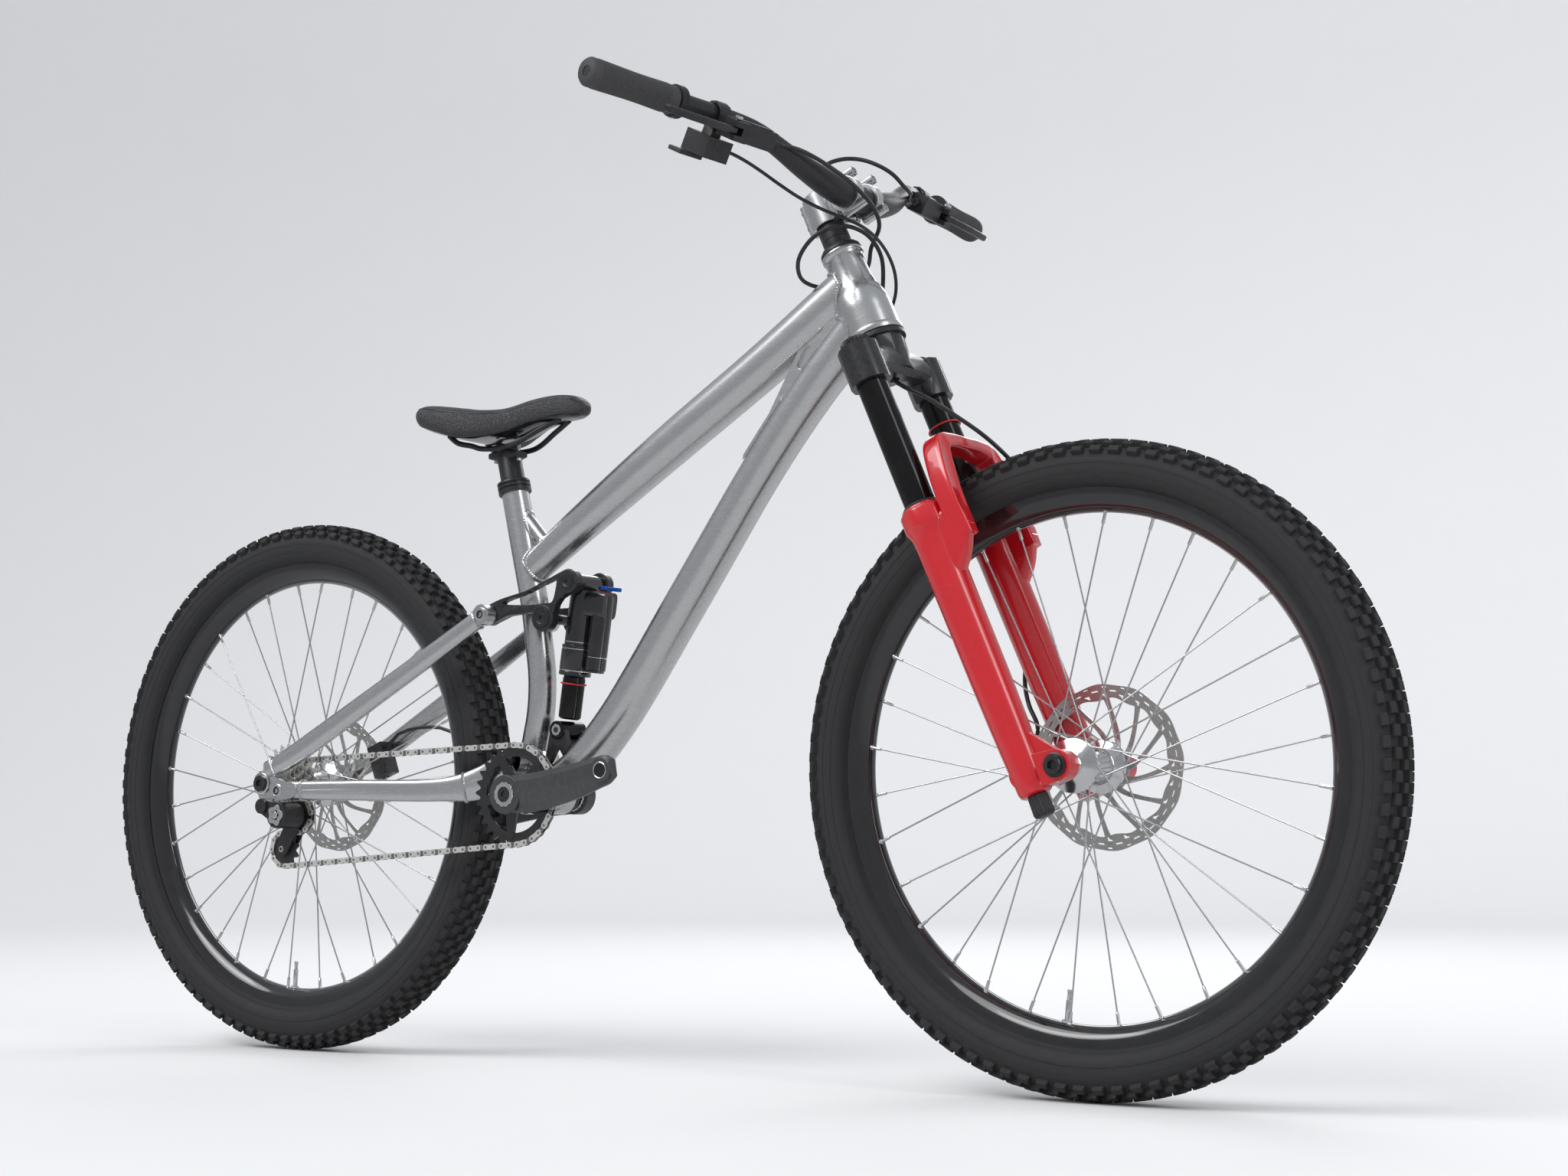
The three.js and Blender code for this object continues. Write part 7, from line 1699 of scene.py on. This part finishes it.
def make_derailleur():
    """Both pulleys, the cage and the body, and the clutch's cap, whose edge is a cosine wave of five."""
    for at, body, label in ((GUIDE_PULLEY, "guide_pulley", "Guide pulley"),
            (TENSION_PULLEY, "tension_pulley", "Tension pulley")):
        teeth = toothed(at, PULLEY_TEETH, 0.2, 12, 3.4, 3.2)
        disc = plate(teeth, -CHAIN_LINE - RING_HALF, -CHAIN_LINE + RING_HALF, ring_of(at, 4.9, len(teeth), 0.2))
        piece(label, disc, "plastic", body, body, sharp=30)
    softened("derailleur_cage", "Derailleur cage", "satin_black", "derailleur_cage", 0.5)
    softened("derailleur_body", "Derailleur body", "satin_black", "seatstay", 1.4)
    face = -94.5  # of the clutch's cover
    star = []
    a = np.linspace(0, 2 * pi, 100, endpoint=False)
    r = 12.6 + 1.5 * np.cos(5 * a)
    rim_out = np.column_stack((GUIDE_PULLEY[0] + r * np.cos(a), GUIDE_PULLEY[1] + r * np.sin(a)))
    star += plate(rim_out, face - 1.6, face - 0.2)
    star += lathe([(0, 0), (4.6, 0), (5, 0.4), (4.4, 2), (0, 2.4)], flat(GUIDE_PULLEY, face - 1.6), -ACROSS, 32)
    piece("Clutch cap", star, "polished", "seatstay", bevel=0.5)
    for at, name in ((GUIDE_PULLEY, "upper"), (TENSION_PULLEY, "lower")):
        piece("Pulley bolt " + name, bolt_head(flat(at, -60.6), -ACROSS, 4.2, 2.4), "satin_silver",
            "derailleur_cage")


def make_drive():
    """Makes the drive's pieces in turn."""
    make_chain()
    make_chainring()
    make_cranks()
    make_spindle()
    make_cassette()
    make_derailleur()


# Seat.
SADDLE_LENGTH, SADDLE_DIP, SADDLE_DEPTH, SADDLE_DROP = 248.0, 14.0, 40.0, 4.0
SADDLE_SHARES = [
    (0.0, 0.5, 0.5, 0.35, 0),
    (0.03, 0.78, 0.85, 0.6, 0),
    (0.09, 0.95, 0.95, 0.78, 0.2),
    (0.18, 1, 0.78, 0.88, 0.5),
    (0.3, 0.96, 0.45, 0.92, 0.9),
    (0.42, 0.8, 0.15, 0.82, 1),
    (0.55, 0.56, 0.2, 0.78, 1),
    (0.7, 0.4, 0.8, 0.76, 0.8),
    (0.84, 0.34, 1.0, 0.7, 0.4),
    (0.94, 0.28, 0.8, 0.58, 0),
    (0.985, 0.18, 0.3, 0.34, 0),
    (1, 0.08, -0.1, 0.1, 0),
]
SADDLE_ROUND = [(0, 0, 1), (0.22, 0, 0.4), (0.5, -0.02, 0), (0.78, -0.1, 0), (0.96, -0.32, 0), (1, -0.6, 0),
    (0.95, -0.86, 0), (0.86, -1, 0), (0.5, -0.94, 0), (0.2, -0.92, 0)]
CLAMP = seat(-57)
SADDLE_HALF = 69.0
SADDLE_REAR = (float(CLAMP[0]) - 117.3, float(CLAMP[2]) + 63.7)


def saddle_rows(count):
    """The cover's measures, eased between the stations: share along, x, top, half width, depth and channel."""
    along = np.linspace(0, 1, count)
    along = (1 - np.cos(pi * along)) / 2
    shares = np.array(SADDLE_SHARES)
    t = np.interp(along, shares[:, 0], np.arange(len(shares)))
    fine = np.linspace(0, len(shares) - 1, 400)
    wide, high, deep, channel = (np.interp(t, fine, ease(shares[:, k], 400)) for k in (1, 2, 3, 4))
    x = SADDLE_REAR[0] + along * SADDLE_LENGTH
    top = SADDLE_REAR[1] - SADDLE_DROP * along - SADDLE_DIP + high * SADDLE_DIP
    return along, x, top, wide * SADDLE_HALF, deep * SADDLE_DEPTH, np.clip(channel, 0, 1)


def make_cover(along, x, top, half, depth, channel):
    """A closed skin: the section SADDLE_ROUND, scaled at each station by its half width and depth, with a
    channel down its middle and skirts that hang 8 mm lower on a bell curve of the way along."""
    right = [(-o, d, n) for o, d, n in SADDLE_ROUND]
    left = [(o, d, n) for o, d, n in SADDLE_ROUND[1:]][::-1]
    loop = np.array(right + [(0, -0.92, 0)] + left)
    fine = curve(loop, 120, closed=True)
    y = fine[None, :, 0] * half[:, None]
    z = top[:, None] + fine[None, :, 1] * depth[:, None] - fine[None, :, 2] * channel[:, None] * 4
    skirt = np.clip(np.abs(fine[:, 0]) * 3 - 2, 0, 1) * np.clip(-fine[:, 1] * 2 - 0.4, 0, 1)
    z = z - 8 * np.exp(-(((along - 0.38) / 0.17) ** 2))[:, None] * skirt[None]
    grid = np.stack((np.broadcast_to(x[:, None], y.shape), y, z), -1)
    cover = piece("Saddle cover", closed_grid(grid), "saddle", "saddle", "saddle_cover", sharp=70)
    seams = []
    place_at = np.argmin(np.abs(fine[:60, 0] + 0.93) + np.abs(fine[:60, 1] + 0.24))
    for column in (place_at, (120 - place_at) % 120):
        seams.append(grid[3:-3, column])
    thread = []
    for line in seams:
        thread += tube(even(curve(line, 200), 2) + UP * 0.1, 1.3, sides=10)
    piece("Saddle seams", thread, "shell", "saddle")


def make_saddle_base(along, x, top, half, depth):
    """The glossy shell under the cover, and two rails from it to the clamp and back."""
    rows = slice(5, -5)
    under = top - depth
    share = np.linspace(-1, 1, 40)
    w = half[rows, None] * 0.9
    lower = np.stack((np.broadcast_to(x[rows, None], (len(w), 40)), share[None] * w,
        under[rows, None] + 0.4 - 5.2 * (1 - np.abs(share[None]) ** 3)), -1)
    upper = np.stack((np.broadcast_to(x[rows, None], (len(w), 40)), share[None, ::-1] * w * 0.98,
        under[rows, None] + 1.0 + 0 * share[None]), -1)
    shell = closed_grid(np.concatenate((lower, upper), 1))
    piece("Saddle shell", shell, "shell", "saddle", "saddle_base", sharp=60)
    rails = []
    rail_top = CLAMP[2] + 1.75

    def under_at(a):
        return float(np.interp(a, along, under)) - 2

    for side in (-1, 1):
        x0 = SADDLE_REAR[0]
        route = [
            (x0 + 0.2 * SADDLE_LENGTH, side * 36, under_at(0.2) - 1),
            (x0 + 0.25 * SADDLE_LENGTH, side * 33, under_at(0.25) - 8),
            (x0 + 0.32 * SADDLE_LENGTH, side * 26, rail_top + 4),
            (CLAMP[0] - 26, side * 22, rail_top),
            (CLAMP[0] + 26, side * 22, rail_top),
            (x0 + 0.74 * SADDLE_LENGTH, side * 15.4, under_at(0.74) - 9),
            (x0 + 0.85 * SADDLE_LENGTH, side * 9, under_at(0.85) - 1),
        ]
        rails += tube(curve(route, 90), 7, sides=24)
    piece("Saddle rails", rails, "dark_alloy", "saddle")


def make_seatpost():
    """The post, its head and cradle, and the two bolts that hold the rails."""
    post = cylinder(seat(118), seat(-50), 15.45, 0.8, 56)
    head_path = [CLAMP + AHEAD * t - UP * 7 for t in (-23, -12, 0, 12, 23)]
    clamp = tube(curve(head_path, 30), ease([8, 13, 15, 13, 8], 30), ease([22, 28, 30, 28, 22], 30), sides=40,
        square=2.2)
    cradle = cylinder(CLAMP + UP * 1.4 - ACROSS * 17.6, CLAMP + UP * 1.4 + ACROSS * 17.6, 6.2, 1.2, 40)
    piece("Seatpost", post + clamp + cradle, "satin_black", "seatpost", "seatpost", sharp=40)
    bolts = []
    for t in (-18, 18):
        low = CLAMP + AHEAD * t
        bolts += cylinder(low - UP * 15, low + UP * 6, 2.5, 0.4, 16)
        bolts += bolt_head(low - UP * 15.4, -UP, 4, 4)
    piece("Seatpost bolts", bolts, "satin_silver", "seatpost")


def make_saddle():
    """Makes the saddle and its post."""
    rows = saddle_rows(96)
    make_cover(*rows)
    make_saddle_base(*rows[:-1])
    make_seatpost()


# Stage.
LENS = 53.63
CAMERA_PLACE = (1.7292, -2.2315, 0.2831)
CAMERA_AXES = ((0.8235, 0.5673, -0.0057), (0.0635, -0.0822, 0.9946), (0.5637, -0.8194, -0.1037))
FLOOR_DROP = 0.0004  # below the tyres, in metres
GLOSSY_SHARE = 0.55  # of the floor's colour that reflections show
SOFT_LIGHT, SEEN_LIGHT, REFLECTED_LIGHT = 0.78, 0.86, 0.42  # strengths of the surroundings


def plain_material(name, colour, rough):
    """A barely mottled matt finish. Glossy rays meet a darker one, so that metal has something to show."""
    made = bpy.data.materials.new(name)
    made.use_nodes = True
    nodes, link = made.node_tree.nodes, made.node_tree.links.new
    shader = nodes["Principled BSDF"]
    noise = nodes.new("ShaderNodeTexNoise")
    noise.inputs["Scale"].default_value = 3
    mixer = nodes.new("ShaderNodeMix")
    mixer.data_type = "RGBA"
    mixer.inputs["A"].default_value = (*colour, 1)
    mixer.inputs["B"].default_value = (*(c * 0.985 for c in colour), 1)
    spot = nodes.new("ShaderNodeTexCoord")
    link(spot.outputs["Object"], noise.inputs["Vector"])
    link(noise.outputs["Fac"], mixer.inputs["Factor"])
    link(mixer.outputs["Result"], shader.inputs["Base Color"])
    shader.inputs["Roughness"].default_value = rough
    dim, ray, both = nodes.new("ShaderNodeBsdfDiffuse"), nodes.new("ShaderNodeLightPath"), nodes.new(
        "ShaderNodeMixShader")
    dim.inputs["Color"].default_value = (*(c * GLOSSY_SHARE for c in colour), 1)
    link(ray.outputs["Is Glossy Ray"], both.inputs[0])
    link(shader.outputs[0], both.inputs[1])
    link(dim.outputs[0], both.inputs[2])
    link(both.outputs[0], nodes["Material Output"].inputs["Surface"])
    return made


def area_light(name, place_at, target, size, power):
    """A rectangular light that faces a target."""
    lamp = bpy.data.lights.new(name, "AREA")
    lamp.shape = "RECTANGLE"
    lamp.size, lamp.size_y = size
    lamp.energy = power
    made = bpy.data.objects.new(name, lamp)
    made.location = place_at
    made.rotation_euler = (Vector(target) - Vector(place_at)).to_track_quat("-Z", "Y").to_euler()
    bpy.context.scene.collection.objects.link(made)


def make_camera(scene):
    """The photograph's view, solved from both wheels: the rows are the camera's right, up and back."""
    lens = bpy.data.cameras.new("Camera")
    lens.lens, lens.sensor_width = LENS, 36
    camera = bpy.data.objects.new("Camera", lens)
    turn = Matrix(CAMERA_AXES).transposed().to_4x4()
    camera.matrix_world = Matrix.Translation(CAMERA_PLACE) @ turn
    scene.collection.objects.link(camera)
    scene.camera = camera


def make_floor(scene, shade):
    """A bowl turned about the bike: flat for 5 m, then a quarter round of 4 m, then a low wall."""
    bend = np.linspace(0, pi / 2, 24)
    flat_far, round_far, wall = 5.0, 4.0, 5.6
    profile = [(r, -FLOOR_DROP) for r in np.linspace(0.02, flat_far, 12)[:-1]]
    profile += [(flat_far + round_far * sin(t), round_far * (1 - cos(t)) - FLOOR_DROP) for t in bend]
    profile.append((flat_far + round_far, wall))
    r, z = np.array(profile).T
    turn = np.linspace(0, 2 * pi, 96, endpoint=False)
    bowl = np.stack((r[:, None] * np.cos(turn), r[:, None] * np.sin(turn), z[:, None] + 0 * turn), -1)
    middle = np.broadcast_to((0, 0, -FLOOR_DROP), bowl[:1].shape)
    bowl = np.concatenate((middle, bowl))
    floor = bpy.data.meshes.new("Floor")
    floor.from_pydata(bowl.reshape(-1, 3).tolist(), [], grid_faces(len(bowl), len(turn))[:, ::-1].tolist())
    work = bmesh.new()
    work.from_mesh(floor)
    bmesh.ops.remove_doubles(work, verts=work.verts, dist=1e-5)
    bmesh.ops.recalc_face_normals(work, faces=work.faces)
    work.to_mesh(floor)
    work.free()
    floor.shade_smooth()
    ground = bpy.data.objects.new("Floor", floor)
    floor.materials.append(plain_material("Pale floor", (shade,) * 3, 0.9))
    scene.collection.objects.link(ground)


def make_lights(scene):
    """A soft sun from above and three large area lights."""
    lamp = bpy.data.lights.new("Sun", "SUN")
    lamp.energy, lamp.angle = 1.1, 0.7
    sun = bpy.data.objects.new("Sun", lamp)
    sun.rotation_euler = (radians(38), radians(-22), 0)
    scene.collection.objects.link(sun)
    area_light("Key", (-1.4, -2.4, 3.0), (0, 0, 0.5), (2.6, 1.0), 26)
    area_light("Side", (3.4, -0.6, 2.2), (0.2, 0, 0.5), (0.8, 2.6), 24)
    area_light("Rim", (-0.8, 3.0, 2.4), (0, 0, 0.6), (2.8, 0.9), 26)


def make_world(scene):
    """A pale surrounding: brightest to the camera, softer as light, and dimmer in reflections."""
    world = scene.world or bpy.data.worlds.new("World")
    scene.world = world
    world.use_nodes = True
    nodes, link = world.node_tree.nodes, world.node_tree.links.new
    nodes.clear()
    out = nodes.new("ShaderNodeOutputWorld")
    soft, white, seen = (nodes.new("ShaderNodeBackground") for _ in range(3))
    tones = ((0.93, 0.95, 1, 1), SOFT_LIGHT), ((1, 1, 1, 1), SEEN_LIGHT), ((0.92, 0.95, 1, 1), REFLECTED_LIGHT)
    for node, (colour, strength) in zip((soft, white, seen), tones):
        node.inputs["Color"].default_value, node.inputs["Strength"].default_value = colour, strength
    ray, both, first = nodes.new("ShaderNodeLightPath"), nodes.new("ShaderNodeMixShader"), nodes.new(
        "ShaderNodeMixShader")
    link(ray.outputs["Is Glossy Ray"], first.inputs[0])
    link(soft.outputs[0], first.inputs[1])
    link(seen.outputs[0], first.inputs[2])
    link(ray.outputs["Is Camera Ray"], both.inputs[0])
    link(first.outputs[0], both.inputs[1])
    link(white.outputs[0], both.inputs[2])
    link(both.outputs[0], out.inputs["Surface"])


def make_stage(size):
    """Makes the camera, the floor, the lights and the surroundings."""
    scene = bpy.context.scene
    make_camera(scene)
    make_floor(scene, size.floor_shade)
    make_lights(scene)
    make_world(scene)
    scene.view_settings.view_transform = "Standard"


# The add-on: settings, one operator for each group of pieces, and a panel.
class BikeLook(PropertyGroup):
    """Colours of the finishes."""
    frame_colour: FloatVectorProperty(name="Frame", description="Bare metal of the frame", subtype="COLOR",
        size=3, min=0, max=1, default=(0.7, 0.705, 0.71))
    fork_colour: FloatVectorProperty(name="Fork", description="Paint of the fork's lower legs", subtype="COLOR",
        size=3, min=0, max=1, default=(0.56, 0.005, 0.012))
    tyre_colour: FloatVectorProperty(name="Tyres", description="Rubber of the tyres", subtype="COLOR", size=3,
        min=0, max=1, default=(0.016, 0.016, 0.017))
    saddle_colour: FloatVectorProperty(name="Saddle", description="Cover of the saddle", subtype="COLOR",
        size=3, min=0, max=1, default=(0.03, 0.03, 0.031))


class BikeSizes(PropertyGroup):
    """Sizes of the fine pieces, in millimetres."""
    knob_height: FloatProperty(name="Knob height", description="Height of the tyres' knobs, mm", default=5.6,
        min=2, max=6)
    knob_repeats: IntProperty(name="Knob repeats", description="Knobs in each row round a tyre", default=96,
        min=40, max=140)
    spokes: IntProperty(name="Spokes", description="Spokes in each wheel", default=32, min=20, max=36, step=4)
    weld_radius: FloatProperty(name="Weld size", description="Radius of the weld beads, mm", default=2.7, min=1,
        max=5)
    weld_pitch: FloatProperty(name="Weld pitch", description="Length of one puddle of a weld, mm", default=3.6,
        min=2, max=8)
    hose_radius: FloatProperty(name="Hose radius", description="Outer radius of the brake hoses, mm",
        default=2.5, min=2, max=3)
    cable_radius: FloatProperty(name="Cable radius", description="Outer radius of the shift cable, mm",
        default=2.0, min=1.5, max=2.5)
    floor_shade: FloatProperty(name="Floor shade", description="Brightness of the floor", subtype="FACTOR",
        default=0.8, min=0, max=1)


class BIKE_OT_stage(Operator):
    """Makes the camera, the floor and the lights"""
    bl_idname = "bike.stage"
    bl_label = "Make Stage"

    def execute(self, context):
        make_stage(context.scene.bike_sizes)
        return {"FINISHED"}


class BIKE_OT_finishes(Operator):
    """Makes the finishes that the pieces use"""
    bl_idname = "bike.finishes"
    bl_label = "Make Finishes"

    def execute(self, context):
        make_finishes(context.scene.bike_look)
        return {"FINISHED"}


class BIKE_OT_cords(Operator):
    """Makes the two brake hoses and the shift cable"""
    bl_idname = "bike.cords"
    bl_label = "Make Hoses and Cable"

    def execute(self, context):
        make_cords(context.scene.bike_sizes)
        return {"FINISHED"}


class BIKE_OT_saddle(Operator):
    """Makes the saddle and its post"""
    bl_idname = "bike.saddle"
    bl_label = "Make Saddle"

    def execute(self, context):
        make_saddle()
        return {"FINISHED"}


class BIKE_OT_frame(Operator):
    """Makes the main frame with its welds"""
    bl_idname = "bike.frame"
    bl_label = "Make Frame"

    def execute(self, context):
        make_frame(context.scene.bike_sizes)
        return {"FINISHED"}


class BIKE_OT_rear_end(Operator):
    """Makes the stays, the rocker link and the shock"""
    bl_idname = "bike.rear_end"
    bl_label = "Make Rear End"

    def execute(self, context):
        make_rear_end(context.scene.bike_sizes)
        return {"FINISHED"}


class BIKE_OT_wheels(Operator):
    """Makes both wheels with their tyres and rotors"""
    bl_idname = "bike.wheels"
    bl_label = "Make Wheels"

    def execute(self, context):
        sizes = context.scene.bike_sizes
        make_wheel("front_wheel", FRONT, FRONT_HUB, -pi / 2 - 0.12, sizes)
        make_wheel("rear_wheel", REAR, REAR_HUB, -pi / 2 - 0.06, sizes)
        return {"FINISHED"}


class BIKE_OT_fork(Operator):
    """Makes the fork with its crown and knobs"""
    bl_idname = "bike.fork"
    bl_label = "Make Fork"

    def execute(self, context):
        make_fork()
        return {"FINISHED"}


class BIKE_OT_cockpit(Operator):
    """Makes the stem, the bar, the grips and the levers"""
    bl_idname = "bike.cockpit"
    bl_label = "Make Cockpit"

    def execute(self, context):
        make_cockpit()
        return {"FINISHED"}


class BIKE_OT_drive(Operator):
    """Makes the cranks, the chain, the sprockets and the derailleur"""
    bl_idname = "bike.drive"
    bl_label = "Make Drive"

    def execute(self, context):
        make_drive()
        return {"FINISHED"}


class BIKE_PT_panel(Panel):
    """Settings and steps of the bike"""
    bl_idname = "BIKE_PT_panel"
    bl_label = "Dirt jump bike"
    bl_space_type = "VIEW_3D"
    bl_region_type = "UI"
    bl_category = "Bike"

    def draw(self, context):
        layout = self.layout
        for settings in (context.scene.bike_look, context.scene.bike_sizes):
            column = layout.column()
            for name in settings.__annotations__:
                column.prop(settings, name)
        column = layout.column()
        for step in STEPS:
            column.operator(step.bl_idname)


STEPS = (BIKE_OT_stage, BIKE_OT_finishes, BIKE_OT_cords, BIKE_OT_saddle, BIKE_OT_frame, BIKE_OT_rear_end,
    BIKE_OT_wheels, BIKE_OT_fork, BIKE_OT_cockpit, BIKE_OT_drive)
CLASSES = (BikeLook, BikeSizes, *STEPS, BIKE_PT_panel)


def register():
    """Adds the settings, the steps and the panel."""
    for made in CLASSES:
        bpy.utils.register_class(made)
    bpy.types.Scene.bike_look = PointerProperty(type=BikeLook)
    bpy.types.Scene.bike_sizes = PointerProperty(type=BikeSizes)


def unregister():
    """Takes away what register adds."""
    del bpy.types.Scene.bike_sizes
    del bpy.types.Scene.bike_look
    for made in reversed(CLASSES):
        bpy.utils.unregister_class(made)


def main():
    """Runs every step."""
    register()
    bpy.ops.bike.stage()
    bpy.ops.bike.finishes()
    bpy.ops.bike.cords()
    bpy.ops.bike.saddle()
    bpy.ops.bike.frame()
    bpy.ops.bike.rear_end()
    bpy.ops.bike.wheels()
    bpy.ops.bike.fork()
    bpy.ops.bike.cockpit()
    bpy.ops.bike.drive()


if __name__ == "__main__":
    main()
